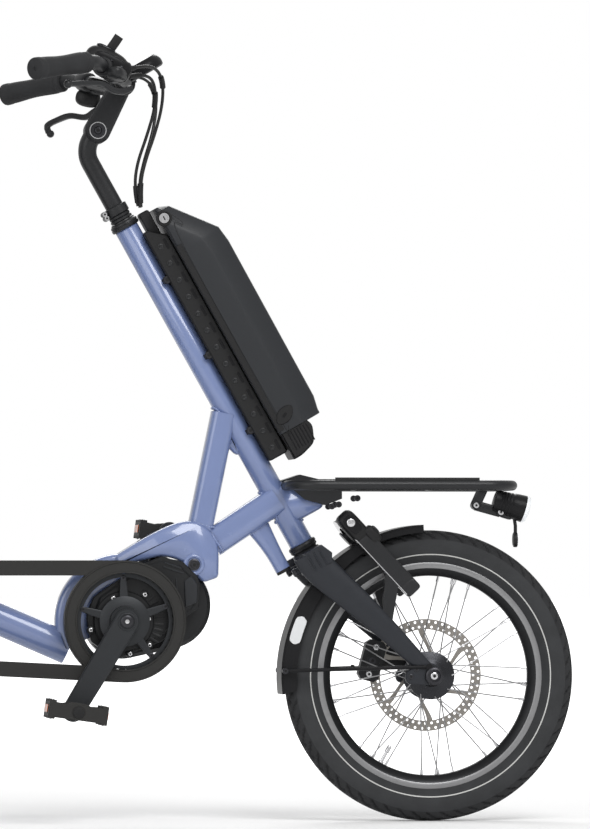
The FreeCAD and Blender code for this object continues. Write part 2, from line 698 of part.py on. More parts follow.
def battery_dock():
    """The dock rail between the head tube and the battery, with its cable clips."""
    base = HEAD_R
    slope = DOCK_LENGTH * DOCK_SLOPE_SHARE
    points = [on_steering(DOCK_FOOT, base), on_steering(DOCK_FOOT + DOCK_LENGTH, base),
              on_steering(DOCK_FOOT + DOCK_LENGTH - slope, BATTERY_BASE), on_steering(DOCK_FOOT, BATTERY_BASE)]
    rail = prism(points, -DOCK_WIDTH / 2, DOCK_WIDTH / 2)
    clips = []
    for index in range(DOCK_CLIPS):
        middle = DOCK_FOOT + DOCK_LENGTH * (index + 0.5) / DOCK_CLIPS
        half = DOCK_LENGTH * DOCK_CLIP_SHARE / 2
        clips.append(prism([on_steering(middle - half, 0), on_steering(middle + half, 0),
                            on_steering(middle + half, base + RUN_GAP), on_steering(middle - half, base + RUN_GAP)],
                           -DOCK_WIDTH / 2, DOCK_WIDTH / 2))
    port_front = HEAD_R + CUP_LIP * 2 + CABLE_PORT_DEPTH
    port = prism([on_steering(DOCK_FOOT + DOCK_LENGTH - slope * 2, HEAD_R + CUP_LIP * 2),
                  on_steering(DOCK_FOOT + DOCK_LENGTH + CABLE_PORT_HEIGHT, HEAD_R + CUP_LIP * 2),
                  on_steering(DOCK_FOOT + DOCK_LENGTH + CABLE_PORT_HEIGHT, port_front),
                  on_steering(DOCK_FOOT + DOCK_LENGTH - slope * 2, port_front)], -CABLE_PORT_WIDTH / 2, CABLE_PORT_WIDTH / 2)
    whole = fused([rail, port] + clips)
    return solid_of(whole.cut([rod(on_steering(0, 0), on_steering(HEAD_LENGTH, 0), HEAD_R), battery()]))


def motor():
    """The motor casing, ribbed in front, bolted up under the cradle and bored for the crank axle."""
    centre = at(MOTOR_X, MOTOR_Z)
    case = strap(CRANK_AXLE, centre, MOTOR_REAR_R, MOTOR_R, -MOTOR_HALF, MOTOR_HALF)
    cover = disc(centre, MOTOR_COVER_R, -MOTOR_HALF - MOTOR_COVER_THICK, -MOTOR_HALF)
    left_cover = disc(centre, MOTOR_COVER_R, MOTOR_HALF, MOTOR_HALF + MOTOR_COVER_THICK)
    lug_top = CRANK_AXLE.z + CRADLE_FOOT + CRADLE_HEIGHT / 2
    lugs = Part.makeBox(MOTOR_R, CRADLE_WIDTH, lug_top - centre.z,
                        V(centre.x - MOTOR_R * 0.3, -CRADLE_WIDTH / 2, centre.z))
    ribs = []
    for index in range(MOTOR_RIBS):
        turn = radians(-70) + radians(110) * index / (MOTOR_RIBS - 1)
        ribs.append(sector(centre, MOTOR_R - MOTOR_RIB_DEPTH, MOTOR_R + MOTOR_RIB_DEPTH,
                           turn - radians(3), turn + radians(3), -MOTOR_HALF * 0.8, MOTOR_HALF * 0.8))
    bosses = [disc(CRANK_AXLE, SPINDLE_R * 2, GUARD_Y + CHAINRING_THICK / 2 + RUNNING_SPACE, CRANK_Y - CRANK_THICK)]
    whole = fused([case, cover, left_cover, lugs] + ribs + bosses)
    bracket, arm = cradle()
    spindle_bore = disc(CRANK_AXLE, SPINDLE_R + PIN_GAP, -CRANK_Y - OVERRUN, CRANK_Y + OVERRUN)
    cleared = whole.cut([bracket, arm, spindle_bore])
    return max(cleared.Solids, key=lambda solid: solid.Volume)


# Chain guard
def guard_ring():
    """The channel-shaped ring round the chainring, open towards the crank axle."""
    out, half, wall = GUARD_R, GUARD_WIDTH / 2, GUARD_WALL
    return revolve_across(CRANK_AXLE, [
        (GUARD_INNER_R, GUARD_Y - half), (out, GUARD_Y - half), (out, GUARD_Y + half), (GUARD_INNER_R, GUARD_Y + half),
        (GUARD_INNER_R, GUARD_Y + half - wall), (out - wall, GUARD_Y + half - wall),
        (out - wall, GUARD_Y - half + wall), (GUARD_INNER_R, GUARD_Y - half + wall)])


def guard_run(top):
    """One straight run of the guard between the two rings' tangent points."""
    run = JACK - CRANK_AXLE
    slope, side = atan2(run.z, run.x), 1 if top else -1
    turn = slope - side * acos((GUARD_R - REAR_GUARD_R) / run.Length)
    outward = V(cos(turn), 0, sin(turn))
    front, rear = CRANK_AXLE + outward * GUARD_R, JACK + outward * REAR_GUARD_R
    inward = outward * -GUARD_RUN
    return prism([front, rear, rear + inward, front + inward], GUARD_Y - GUARD_WIDTH / 2, GUARD_Y + GUARD_WIDTH / 2)


def chain_guard():
    """The chain guard on the right: ring, two runs and the rear ring round the gear hub's sprocket."""
    low, high = GUARD_Y - GUARD_WIDTH / 2, GUARD_Y + GUARD_WIDTH / 2
    rear = disc(JACK, REAR_GUARD_R, low, high).cut(disc(JACK, REAR_GUARD_INNER_R, low - OVERRUN, high + OVERRUN))
    swept = disc(CRANK_AXLE, GUARD_R - GUARD_WALL, low + GUARD_WALL, high - GUARD_WALL)
    inside = disc(CRANK_AXLE, GUARD_INNER_R, low - OVERRUN, high + OVERRUN)
    runs = [guard_run(True).cut([swept, inside]), guard_run(False).cut([swept, inside])]
    return fused([guard_ring(), rear] + runs)


# Cranks and pedals
def crank_end(side):
    """The pedal's axle on one crank arm, on the trike's mid-plane."""
    turn = pi / 2 - CRANK_TURN + (pi if side > 0 else 0)
    return around(CRANK_AXLE, CRANK_LENGTH, turn)


def crank_arm(side):
    """A waisted crank arm with round bosses."""
    end = crank_end(side)
    y_from, y_to = sorted((side * CRANK_Y, side * (CRANK_Y + CRANK_THICK)))
    return strap(CRANK_AXLE, end, CRANK_BOSS_R, CRANK_EYE_R, y_from, y_to)


def crank_right():
    """The right arm in one with the crank axle, with the right pedal's pin."""
    spindle = disc(CRANK_AXLE, SPINDLE_R, -CRANK_Y - CRANK_THICK / 2, CRANK_Y)
    return fused([crank_arm(-1), spindle, pedal_pin(-1)])


def crank_left():
    """The left arm with its pedal's pin."""
    return fused([crank_arm(1), pedal_pin(1)])


def chainring():
    """The toothed chainring on its spider, round the crank axle."""
    y_from, y_to = GUARD_Y - CHAINRING_THICK / 2, GUARD_Y + CHAINRING_THICK / 2
    points = []
    for index in range(CHAINRING_TEETH):
        for share, radius in ((0.0, CHAINRING_ROOT_R), (0.3, CHAINRING_R), (0.55, CHAINRING_R)):
            points.append(around(CRANK_AXLE, radius, 2 * pi * (index + share) / CHAINRING_TEETH))
    ring = prism(points, y_from, y_to).cut(disc(CRANK_AXLE, CHAINRING_INNER_R, y_from - OVERRUN, y_to + OVERRUN))
    arms = [strap(CRANK_AXLE, around(CRANK_AXLE, CHAINRING_INNER_R + SPIDER_WIDTH / 4, 2 * pi * index / SPIDER_ARMS),
                  SPIDER_WIDTH, SPIDER_WIDTH / 2, y_from, y_to) for index in range(SPIDER_ARMS)]
    sleeve = disc(CRANK_AXLE, SPINDLE_R * 2, -CRANK_Y, y_to)
    bore = disc(CRANK_AXLE, SPINDLE_R, -CRANK_Y - OVERRUN, y_to + OVERRUN)
    return solid_of(fused([ring] + arms + [sleeve]).cut(bore))


def pedal_pin(side):
    """The pin that a pedal turns on."""
    outer = CRANK_Y + CRANK_THICK + PEDAL_GAP + PEDAL_WIDTH - PEDAL_BAR
    return disc(crank_end(side), PEDAL_PIN_R, *sorted((side * (CRANK_Y + CRANK_THICK / 2), side * outer)))


def pedal(side):
    """A platform pedal: a barrel on its pin between two treads and two end bars."""
    end = crank_end(side)
    inner = CRANK_Y + CRANK_THICK + PEDAL_GAP
    outer = inner + PEDAL_WIDTH
    low, high = sorted((side * inner, side * outer))
    body = Part.makeBox(PEDAL_LENGTH, PEDAL_WIDTH, PEDAL_THICK, V(end.x - PEDAL_LENGTH / 2, low, end.z - PEDAL_THICK / 2))
    rounded = body.makeFillet(PEDAL_THICK / 3, [edge for edge in body.Edges if abs(edge.BoundBox.YLength - PEDAL_WIDTH) < 1e-6])
    windows = []
    for ahead in (-1, 1):
        x_near, x_far = sorted((ahead * PEDAL_CORE_R, ahead * (PEDAL_LENGTH / 2 - PEDAL_BAR)))
        windows.append(Part.makeBox(x_far - x_near, PEDAL_WIDTH - 2 * PEDAL_BAR, PEDAL_THICK + 2 * OVERRUN,
                                    V(end.x + x_near, low + PEDAL_BAR, end.z - PEDAL_THICK / 2 - OVERRUN)))
    bore_y = sorted((side * (inner - OVERRUN), side * (outer - PEDAL_BAR + RUN_GAP)))
    shaped = rounded.cut(windows + [disc(end, PEDAL_PIN_R + PIN_GAP, *bore_y)])
    shaped.rotate(end, LEFT, -degrees(PEDAL_TILT))
    return solid_of(shaped)


# Rear frame
def rail_line():
    """The main tube's path: up behind the crank, then level under the seat."""
    foot = at(MAIN_FOOT_X, MAIN_FOOT_Z)
    bend = foot + V(-(RAIL_Z - MAIN_FOOT_Z) / tan(MAIN_SLOPE), 0, RAIL_Z - MAIN_FOOT_Z)
    return [foot, bend, at(RAIL_END, RAIL_Z)]


def stay_points():
    """The stays' four corners: front cross tube, gear hub, rear axle and rear cross tube."""
    foot = at(MAIN_FOOT_X, MAIN_FOOT_Z)
    front = at(FRONT_CROSS_X, foot.z + (MAIN_FOOT_X - FRONT_CROSS_X) * tan(MAIN_SLOPE))
    return front, JACK, REAR_HUB, at(RAIL_END + REAR_CROSS_INSET, RAIL_Z)


def stay(side):
    """One side plate of the rear frame: three flat bars between four eyes."""
    front, jack, hub, rear = stay_points()
    y_from, y_to = sorted((side * (STAY_Y - STAY_THICK / 2), side * (STAY_Y + STAY_THICK / 2)))
    half = STAY_BAR / 2
    return [strap(jack, front, STAY_EYE_R, half, y_from, y_to), strap(hub, jack, STAY_EYE_R * 1.1, STAY_EYE_R, y_from, y_to),
            strap(hub, rear, STAY_EYE_R * 1.1, half, y_from, y_to)]


def frame_rear():
    """Main tube, seat rail, cross tubes and side plates, welded into one."""
    front, _, _, rear = stay_points()
    main = tube(rail_line(), MAIN_R, MAIN_BEND)
    width = STAY_Y + STAY_THICK / 2
    crosses = [disc(front, CROSS_R, -width, width), disc(rear, CROSS_R, -width, width)]
    whole = fused([main] + crosses + stay(1) + stay(-1))
    axle_hole = disc(REAR_HUB, HOUSING_R, -width - OVERRUN, width + OVERRUN)
    jack_hole = disc(JACK, JACK_R, -width - OVERRUN, width + OVERRUN)
    bracket, arm = cradle()
    return solid_of(whole.cut([axle_hole, jack_hole, arm, bracket]))


def gear_hub():
    """The gear hub on its fixed axle between the side plates, sprockets at both ends."""
    half = GEAR_HUB_HALF
    end = STAY_Y + STAY_THICK / 2 + AXLE_NUT_LENGTH
    shell = revolve_across(JACK, [
        (0, -end), (JACK_R, -end), (JACK_R, -STAY_Y + STAY_THICK), (GEAR_HUB_R * 0.6, -half - OVERRUN),
        (GEAR_FLANGE_R, -half), (GEAR_FLANGE_R, -half + FLANGE_THICK), (GEAR_HUB_R, -half + 2 * FLANGE_THICK),
        (GEAR_HUB_R, half - 2 * FLANGE_THICK), (GEAR_FLANGE_R, half - FLANGE_THICK), (GEAR_FLANGE_R, half),
        (GEAR_HUB_R * 0.6, half + OVERRUN), (JACK_R, CASE_Y - RUN_GAP), (JACK_R, end), (0, end)])
    nuts = [disc(JACK, AXLE_NUT_R, *sorted((side * (STAY_Y + STAY_THICK / 2), side * end))) for side in (1, -1)]
    return fused([shell] + nuts)


def rear_chain_case():
    """The closed case of the second chain, gear hub to differential."""
    case = strap(REAR_HUB, JACK, CASE_REAR_R, CASE_FRONT_R, CASE_Y, CASE_Y + CASE_WIDTH)
    jack_hole = disc(JACK, JACK_R, CASE_Y - OVERRUN, CASE_Y + CASE_WIDTH + OVERRUN)
    axle_hole = disc(REAR_HUB, HOUSING_R, CASE_Y - OVERRUN, CASE_Y + CASE_WIDTH + OVERRUN)
    return solid_of(case.cut([jack_hole, axle_hole]))


def differential():
    """The differential's drum between the side plates."""
    return revolve_across(REAR_HUB, [
        (0, -DIFF_HALF), (HOUSING_R * 1.3, -DIFF_HALF), (DIFF_R, -DIFF_HALF * 0.6), (DIFF_R, DIFF_HALF * 0.7),
        (DIFF_R * 0.8, DIFF_HALF), (0, DIFF_HALF)])


def axle_housing(side):
    """One axle tube from the differential out to its wheel, bored for the half shaft."""
    y_from, y_to = sorted((side * DIFF_HALF, side * HOUSING_END_Y))
    outside = disc(REAR_HUB, HOUSING_R, y_from, y_to)
    flange_from, flange_to = sorted((side * (HOUSING_END_Y - FLANGE_THICK * 2), side * HOUSING_END_Y))
    flange = disc(REAR_HUB, HOUSING_R * 1.35, flange_from, flange_to)
    bore_from, bore_to = sorted((side * (HOUSING_END_Y - SHAFT_DEPTH), side * (HOUSING_END_Y + OVERRUN)))
    return solid_of(fused([outside, flange]).cut(disc(REAR_HUB, HALF_SHAFT_R + PIN_GAP, bore_from, bore_to)))


# Mudguards
def fender_shell(hub, tyre_r, start, end, y):
    """A curved strip round the tyre with skirts down both sides."""
    inner = tyre_r + FENDER_GAP
    outer = inner + FENDER_THICK
    whole = sector(hub, inner - FENDER_SKIRT, outer, start, end, y - FENDER_HALF, y + FENDER_HALF)
    hollow = sector(hub, inner - FENDER_SKIRT - OVERRUN, inner, start - radians(3), end + radians(3),
                    y - FENDER_HALF + FENDER_THICK, y + FENDER_HALF - FENDER_THICK)
    return whole.cut(hollow)


def front_mudguard():
    """The front mudguard with its stays down to the fork ends and its tab under the crown."""
    shell = fender_shell(FRONT_HUB, FRONT_TYRE_R, FRONT_FENDER_START, FRONT_FENDER_END, 0.0)
    outer = FRONT_TYRE_R + FENDER_GAP + FENDER_THICK
    anchor = on_steering(-AXLE_DROP * 0.94, FORK_RAKE)
    rods = []
    for side in (1, -1):
        eye_y = side * (FENDER_HALF + FENDER_ROD_OUT)
        top = around(FRONT_HUB, outer - FENDER_SKIRT / 2, FRONT_FENDER_END - FENDER_ROD_TURN, eye_y)
        bottom = V(anchor.x, side * (FRONT_DROPOUT_Y + BLADE_TIP_WIDTH + FENDER_ROD_R), anchor.z)
        rods.append(rod(top, bottom, FENDER_ROD_R))
        rods.append(rod(top + LEFT * side * FENDER_ROD_R, top - LEFT * side * FENDER_ROD_OUT, FENDER_EYE_R))
        inward = V(bottom.x, side * (FRONT_DROPOUT_Y + BLADE_TIP_WIDTH), bottom.z)
        rods.append(rod(bottom + LEFT * side * FENDER_ROD_R, inward, FENDER_EYE_R))
    crown_foot = on_steering(CROWN_TOP - CROWN_HEIGHT, 0)
    tab_angle = atan2(crown_foot.z - FRONT_HUB.z, crown_foot.x - FRONT_HUB.x)
    reach = (crown_foot - FRONT_HUB).Length
    tab = rod(around(FRONT_HUB, outer - FENDER_THICK / 2, tab_angle), around(FRONT_HUB, reach + OVERRUN, tab_angle), STUB_R * 0.8)
    whole = fused([shell, tab] + rods)
    return max(whole.cut([crown()] + [blade(side) for side in (1, -1)]).Solids, key=lambda solid: solid.Volume)


def rear_mudguard(side):
    """A rear mudguard on two rods from a clamp round the axle housing."""
    y = side * TRACK / 2
    shell = fender_shell(REAR_HUB, REAR_TYRE_R, REAR_FENDER_START, REAR_FENDER_END, y)
    edge_y = side * (TRACK / 2 - FENDER_HALF - FENDER_ROD_R * 0.5)
    clamp_y = side * (HOUSING_END_Y - FLANGE_THICK * 6)
    inner, outer = sorted((clamp_y - FLANGE_THICK * 2, clamp_y + FLANGE_THICK * 2))
    clamp = disc(REAR_HUB, HOUSING_R * 1.4, inner, outer).cut(disc(REAR_HUB, HOUSING_R, inner - OVERRUN, outer + OVERRUN))
    rim_r = REAR_TYRE_R + FENDER_GAP + FENDER_THICK - FENDER_SKIRT / 2
    rods = []
    for turn in (radians(55), radians(125)):
        rods.append(rod(around(REAR_HUB, HOUSING_R * 1.2, turn, clamp_y), around(REAR_HUB, rim_r, turn, edge_y), FENDER_ROD_R))
    return fused([shell, clamp] + rods)


# Front carrier and headlamp
def carrier_loop(front, rear, half, z, radius, corner):
    """A closed tubular loop, level, with rounded corners."""
    corners = [at(front, z, -half), at(front, z, half), at(rear, z, half), at(rear, z, -half)]
    middle = (corners[0] + corners[3]) * 0.5
    start = tube([middle, corners[0], corners[1], (corners[1] + corners[2]) * 0.5], radius, corner)
    finish = tube([(corners[1] + corners[2]) * 0.5, corners[2], corners[3], middle], radius, corner)
    return [start, finish]


def front_rack():
    """The front carrier: a tubular loop, cross bars and a drilled plate over the wheel."""
    pieces = carrier_loop(RACK_FRONT - RACK_TUBE_R, RACK_REAR, RACK_HALF, RACK_Z, RACK_TUBE_R, RACK_CORNER)
    span = RACK_FRONT - RACK_REAR
    for index in range(RACK_BARS):
        x = RACK_REAR + span * (index + 1) / (RACK_BARS + 1)
        pieces.append(rod(at(x, RACK_Z, -RACK_HALF), at(x, RACK_Z, RACK_HALF), RACK_TUBE_R * 0.8))
    middle = RACK_REAR + span / 2
    half_y = RACK_PLATE_WIDTH / 2
    first, last = RACK_REAR + span / (RACK_BARS + 1), RACK_REAR + span * RACK_BARS / (RACK_BARS + 1)
    plate = block(first, last, -half_y, half_y, RACK_Z + RACK_TUBE_R * 0.6, RACK_Z + RACK_TUBE_R * 0.6 + RACK_PLATE_THICK)
    pieces.append(plate)
    holes = [Part.makeCylinder(RACK_HOLE_R, RACK_TUBE_R * 4, at(middle + x, RACK_Z - RACK_TUBE_R * 2, y))
             for x in (-RACK_HOLE_X / 2, RACK_HOLE_X / 2) for y in (-RACK_HOLE_Y / 2, RACK_HOLE_Y / 2)]
    cutters = holes + [battery(), rod(on_steering(0, 0), on_steering(HEAD_LENGTH, 0), HEAD_R), rack_lug()]
    return solid_of(fused(pieces).cut(cutters))


def rack_gusset():
    """The black bracket between the carrier's bars and the frame's lug."""
    points = [on_steering(RACK_LUG_TOP * share_up, RACK_LUG_REACH * share_out) for share_up, share_out in GUSSET_SHARES]
    body = prism(points, -GUSSET_WIDTH / 2, GUSSET_WIDTH / 2)
    return max(body.cut([front_rack(), rack_lug()]).Solids, key=lambda solid: solid.Volume)


def headlamp():
    """The headlamp's rounded case, tipped slightly down."""
    centre = at(LAMP_X, LAMP_Z)
    case = Part.makeBox(LAMP_LENGTH, LAMP_WIDTH, LAMP_HEIGHT,
                        centre - V(LAMP_LENGTH / 2, LAMP_WIDTH / 2, LAMP_HEIGHT / 2))
    case = case.makeFillet(LAMP_ROUND, [edge for edge in case.Edges if edge.Vertexes[0].Z == edge.Vertexes[1].Z])
    case.rotate(centre, LEFT, -degrees(LAMP_PITCH))
    return solid_of(case)


def lamp_bracket():
    """The plate that hangs the headlamp from the carrier's front tube."""
    tube_x = RACK_FRONT - RACK_TUBE_R
    plate = block(LAMP_X - LAMP_LENGTH / 2 - RACK_PLATE_THICK, tube_x + RACK_TUBE_R, -LAMP_WIDTH / 4, LAMP_WIDTH / 4, LAMP_Z, RACK_Z)
    cleared = plate.cut([headlamp(), front_rack()])
    return max(cleared.Solids, key=lambda solid: solid.Volume)


def front_reflector():
    """The round reflector on its stalk below the headlamp."""
    centre = at(LAMP_X, LAMP_Z - REFLECTOR_DROP)
    face = Part.makeCylinder(REFLECTOR_R, REFLECTOR_THICK, centre, V(1, 0, 0))
    stalk = rod(centre + V(REFLECTOR_THICK / 2, 0, 0), at(LAMP_X, LAMP_Z) + V(REFLECTOR_THICK / 2, 0, 0), REFLECTOR_THICK / 2)
    return solid_of(fused([face, stalk]).cut(headlamp()))


# Fork
def crown():
    """The fork crown: a round core on the steering axis with arms out to both blades."""
    foot = CROWN_TOP - CROWN_HEIGHT
    core = rod(on_steering(foot, 0), on_steering(CROWN_TOP, 0), CROWN_CORE_R)
    width = BLADE_Y + BLADE_WIDTH / 2
    ahead = CROWN_DEPTH - CROWN_BACK
    arms = prism([on_steering(CROWN_TOP, -CROWN_BACK), on_steering(CROWN_TOP, ahead * 0.7),
                  on_steering(foot + CROWN_HEIGHT * 0.4, ahead), on_steering(foot, ahead * 0.75),
                  on_steering(foot, -CROWN_BACK)], -width, width)
    return fused([core, arms])


def blade(side):
    """One fork blade, raked forward and tapered from the crown to the axle."""
    rings = []
    for drop, rake, taper in zip(BLADE_DROP_SHARES, BLADE_RAKE_SHARES, BLADE_TAPER_SHARES):
        depth = BLADE_TIP_DEPTH + (BLADE_TOP_DEPTH - BLADE_TIP_DEPTH) * taper
        width = BLADE_TIP_WIDTH + (BLADE_WIDTH - BLADE_TIP_WIDTH) * taper
        y = FRONT_DROPOUT_Y + BLADE_TIP_WIDTH / 2 + (BLADE_Y - FRONT_DROPOUT_Y - BLADE_TIP_WIDTH / 2) * taper
        centre = on_steering(-AXLE_DROP * drop, FORK_RAKE * rake, side * y)
        oval = Part.Ellipse(V(0, 0, 0), depth / 2, width / 2).toShape()
        lay = FreeCAD.Matrix(AHEAD.x, 0, UP.x, centre.x, 0, 1, 0, centre.y, AHEAD.z, 0, UP.z, centre.z, 0, 0, 0, 1)
        rings.append(Part.Wire(oval.transformGeometry(lay)))
    body = Part.makeLoft(rings, True, False, False, 3)
    tip_y = sorted((side * FRONT_DROPOUT_Y, side * (FRONT_DROPOUT_Y + BLADE_TIP_WIDTH)))
    return fused([body, disc(FRONT_HUB, BLADE_TIP_DEPTH / 2 * 1.1, *tip_y)])


def fork():
    """Steerer, crown and both blades in one."""
    top = HEAD_LENGTH + CUP_HEIGHT
    steerer = rod(on_steering(CROWN_TOP - CROWN_HEIGHT / 2, 0), on_steering(top, 0), STEERER_R)
    race = rod(on_steering(CROWN_TOP, 0), on_steering(CROWN_TOP + RUN_GAP, 0), CUP_R - CUP_LIP)
    axle_hole = disc(FRONT_HUB, FRONT_AXLE_R, -BLADE_Y * 2, BLADE_Y * 2)
    return solid_of(fused([crown(), steerer, blade(1), blade(-1), race]).cut(axle_hole))


def caliper():
    """The brake caliper over the disc's rear edge, on an adapter from the left blade."""
    centre = around(FRONT_HUB, DISC_R, CALIPER_ANGLE)
    body = Part.makeBox(CALIPER_DEPTH, CALIPER_OUTER_Y - CALIPER_INNER_Y, CALIPER_LENGTH,
                        V(centre.x - CALIPER_DEPTH / 2, CALIPER_INNER_Y, centre.z - CALIPER_LENGTH / 2))
    body = body.makeChamfer(CALIPER_DEPTH / 5, [edge for edge in body.Edges if edge.BoundBox.YLength > CALIPER_LENGTH / 4])
    body.rotate(centre, LEFT, degrees(pi - CALIPER_ANGLE))
    anchor = on_steering(-AXLE_DROP * BLADE_DROP_SHARES[4], FORK_RAKE * BLADE_RAKE_SHARES[4])
    thick = (CALIPER_OUTER_Y - CALIPER_INNER_Y) / 3
    adapter = strap(centre, anchor, CALIPER_DEPTH / 2, CALIPER_DEPTH / 3, CALIPER_OUTER_Y - thick, CALIPER_OUTER_Y)
    slot = disc(FRONT_HUB, DISC_R + CALIPER_GAP * 2, DISC_Y - CALIPER_GAP, DISC_Y + DISC_THICK + CALIPER_GAP)
    cleared = fused([body, adapter]).cut([slot, blade(1)])
    return max(cleared.Solids, key=lambda solid: solid.Volume)


def ring_lock():
    """The horseshoe lock round the tyre, with its lock body at the top and feet on the blades."""
    top, foot = at(RING_TOP_X, RING_TOP_Z), at(RING_FOOT_X, RING_FOOT_Z)
    down = (foot - top).normalize()
    face = down.cross(LEFT).normalize()
    length = (foot - top).Length

    def horseshoe(half, inset):
        middle = top + down * (inset + half)
        end = foot + down * inset
        edges = [Part.Arc(middle - LEFT * half, middle - down * half, middle + LEFT * half).toShape(),
                 Part.LineSegment(middle + LEFT * half, end + LEFT * half).toShape(),
                 Part.LineSegment(end + LEFT * half, end - LEFT * half).toShape(),
                 Part.LineSegment(end - LEFT * half, middle - LEFT * half).toShape()]
        return Part.Face(Part.Wire(edges)).extrude(face * RING_THICK)

    band = horseshoe(RING_HALF, 0).cut(horseshoe(RING_HALF - RING_BAND, RING_BAND))
    band.translate(face * (-RING_THICK / 2))
    key_body = Part.makeCylinder(RING_BAND, RING_THICK * 1.3, top + down * (RING_HALF * 0.6) + LEFT * (RING_HALF * 0.75)
                                 - face * (RING_THICK * 0.65), face)
    pieces = [band, key_body]
    for side in (1, -1):
        leg = top + down * (length * 0.72)
        hold = on_steering(-AXLE_DROP * BLADE_DROP_SHARES[3], FORK_RAKE * BLADE_RAKE_SHARES[3])
        limits = sorted((side * (RING_HALF - RING_BAND), side * RING_HALF))
        pieces.append(strap(leg, hold, RING_THICK / 2, RING_THICK / 3, *limits))
    cleared = fused(pieces).cut([blade(1), blade(-1)])
    return max(cleared.Solids, key=lambda solid: solid.Volume)


# Riser, stem and handlebar
def riser():
    """The riser post on the steerer, bent forward to the stem's pivot."""
    base = HEAD_LENGTH + CUP_HEIGHT
    collar = rod(on_steering(base, 0), on_steering(base + COLLAR_HEIGHT, 0), COLLAR_R)
    pivot = on_steering(PIVOT_UP, PIVOT_FORWARD)
    post_tube = tube([on_steering(base, 0), on_steering(RISER_TOP, 0), pivot], RISER_R, RISER_R * 2)
    knuckle = disc(pivot, PIVOT_R, -PIVOT_HALF / 2, PIVOT_HALF / 2)
    return fused([collar, post_tube, knuckle])


def stem():
    """The angle-set stem: two cheeks round the pivot's knuckle, and the bar clamp."""
    pivot, bar = on_steering(PIVOT_UP, PIVOT_FORWARD), on_steering(BAR_UP, BAR_FORWARD)
    arm = strap(pivot, bar, PIVOT_R, STEM_HALF, -PIVOT_HALF, PIVOT_HALF)
    clamp = disc(bar, BAR_CLAMP_R + RISER_R / 3, -BAR_CLAMP_HALF + OVERRUN, BAR_CLAMP_HALF - OVERRUN)
    cleared = fused([arm, clamp]).cut([riser(), disc(bar, BAR_CLAMP_R, -BAR_CLAMP_HALF, BAR_CLAMP_HALF)])
    return max(cleared.Solids, key=lambda solid: solid.Volume)


def bar_points(side):
    """One half of the handlebar's path, from the clamp out to the grip's end."""
    bar = on_steering(BAR_UP, BAR_FORWARD)
    return [bar, V(bar.x, side * BAR_STRAIGHT_Y, bar.z), at(GRIP_INNER_X, GRIP_INNER_Z, side * GRIP_INNER_Y),
            at(GRIP_END_X, GRIP_END_Z, side * GRIP_END_Y)]


def handlebar():
    """The swept-back bar with its thicker clamp section."""
    halves = [tube(bar_points(side), BAR_R, BAR_BEND) for side in (1, -1)]
    bar = on_steering(BAR_UP, BAR_FORWARD)
    return fused(halves + [disc(bar, BAR_CLAMP_R, -BAR_CLAMP_HALF, BAR_CLAMP_HALF)])


def grip(side):
    """A rubber grip over the bar's end, thicker at both ends."""
    _, _, inner, end = bar_points(side)
    run = (end - inner).normalize()
    start = inner + run * (BAR_BEND / 3)
    finish = end + run * OVERRUN
    length = (finish - start).Length
    cap = GRIP_R - GRIP_WAIST_R
    outline = [(0, 0), (GRIP_R, 0), (GRIP_R, cap * 3), (GRIP_WAIST_R, length * 0.3), (GRIP_WAIST_R, length * 0.7),
               (GRIP_R, length - cap * 3), (GRIP_R, length - cap), (GRIP_WAIST_R, length), (0, length)]
    ring = [V(r, 0, h) for r, h in outline]
    body = Part.Face(Part.makePolygon(ring + ring[:1])).revolve(V(0, 0, 0), V(0, 0, 1), degrees(2 * pi))
    body.Placement = FreeCAD.Placement(start, FreeCAD.Rotation(V(0, 0, 1), run))
    return solid_of(body.cut(tube(bar_points(side), BAR_R, BAR_BEND)))


def cable_points(side):
    """The route of one side's cable."""
    return [at(x, z, side * y) for x, z, y in CABLE_ROUTE]


def brake_lever(side):
    """A brake lever: a clamp round the bar and a ball-ended blade under the grip."""
    _, straight, inner, end = bar_points(side)
    perch = straight + (inner - straight) * PERCH_SHARE
    along = (inner - straight).normalize()
    clamp = rod(perch - along * (PERCH_LENGTH / 2), perch + along * (PERCH_LENGTH / 2), PERCH_R)
    elbow = inner + V(LEVER_REACH, 0, -LEVER_DROP * 0.7)
    tip = inner + (end - inner) * 0.72 + V(LEVER_REACH * 0.6, 0, -LEVER_DROP)
    blade_tube = tube([perch + V(PERCH_R * 0.6, 0, -PERCH_R * 0.6), elbow, tip], LEVER_R, LEVER_R * 6)
    ball = Part.makeSphere(LEVER_TIP_R, tip)
    first, second = cable_points(side)[:2]
    adjuster = rod(first - (second - first).normalize() * ADJUSTER_LENGTH, first, ADJUSTER_R)
    cleared = fused([clamp, blade_tube, ball, adjuster]).cut(tube(bar_points(side), BAR_R, BAR_BEND))
    return max(cleared.Solids, key=lambda solid: solid.Volume)


def display():
    """The round display in front of the bar, on a bracket from the clamp section."""
    bar = on_steering(BAR_UP, BAR_FORWARD, -BAR_CLAMP_HALF * 1.6)
    face = V(-cos(DISPLAY_TILT), 0, sin(DISPLAY_TILT))
    base = bar + V(DISPLAY_R, 0, BAR_R * 1.2)
    dome = Part.makeCylinder(DISPLAY_R, DISPLAY_DEPTH, base, face)
    upper = [edge for edge in dome.Edges if (edge.CenterOfMass - base) * face > DISPLAY_DEPTH * 0.9]
    dome = dome.makeChamfer(DISPLAY_DEPTH * 0.45, upper)
    hold = rod(bar, base + face * (DISPLAY_DEPTH / 2), BAR_R * 0.6)
    ring = Part.makeCylinder(BAR_R * 1.4, BAR_R, bar - LEFT * (BAR_R / 2), LEFT)
    cleared = fused([dome, hold, ring]).cut([tube(bar_points(-1), BAR_R, BAR_BEND), stem(), handlebar()])
    return max(cleared.Solids, key=lambda solid: solid.Volume)


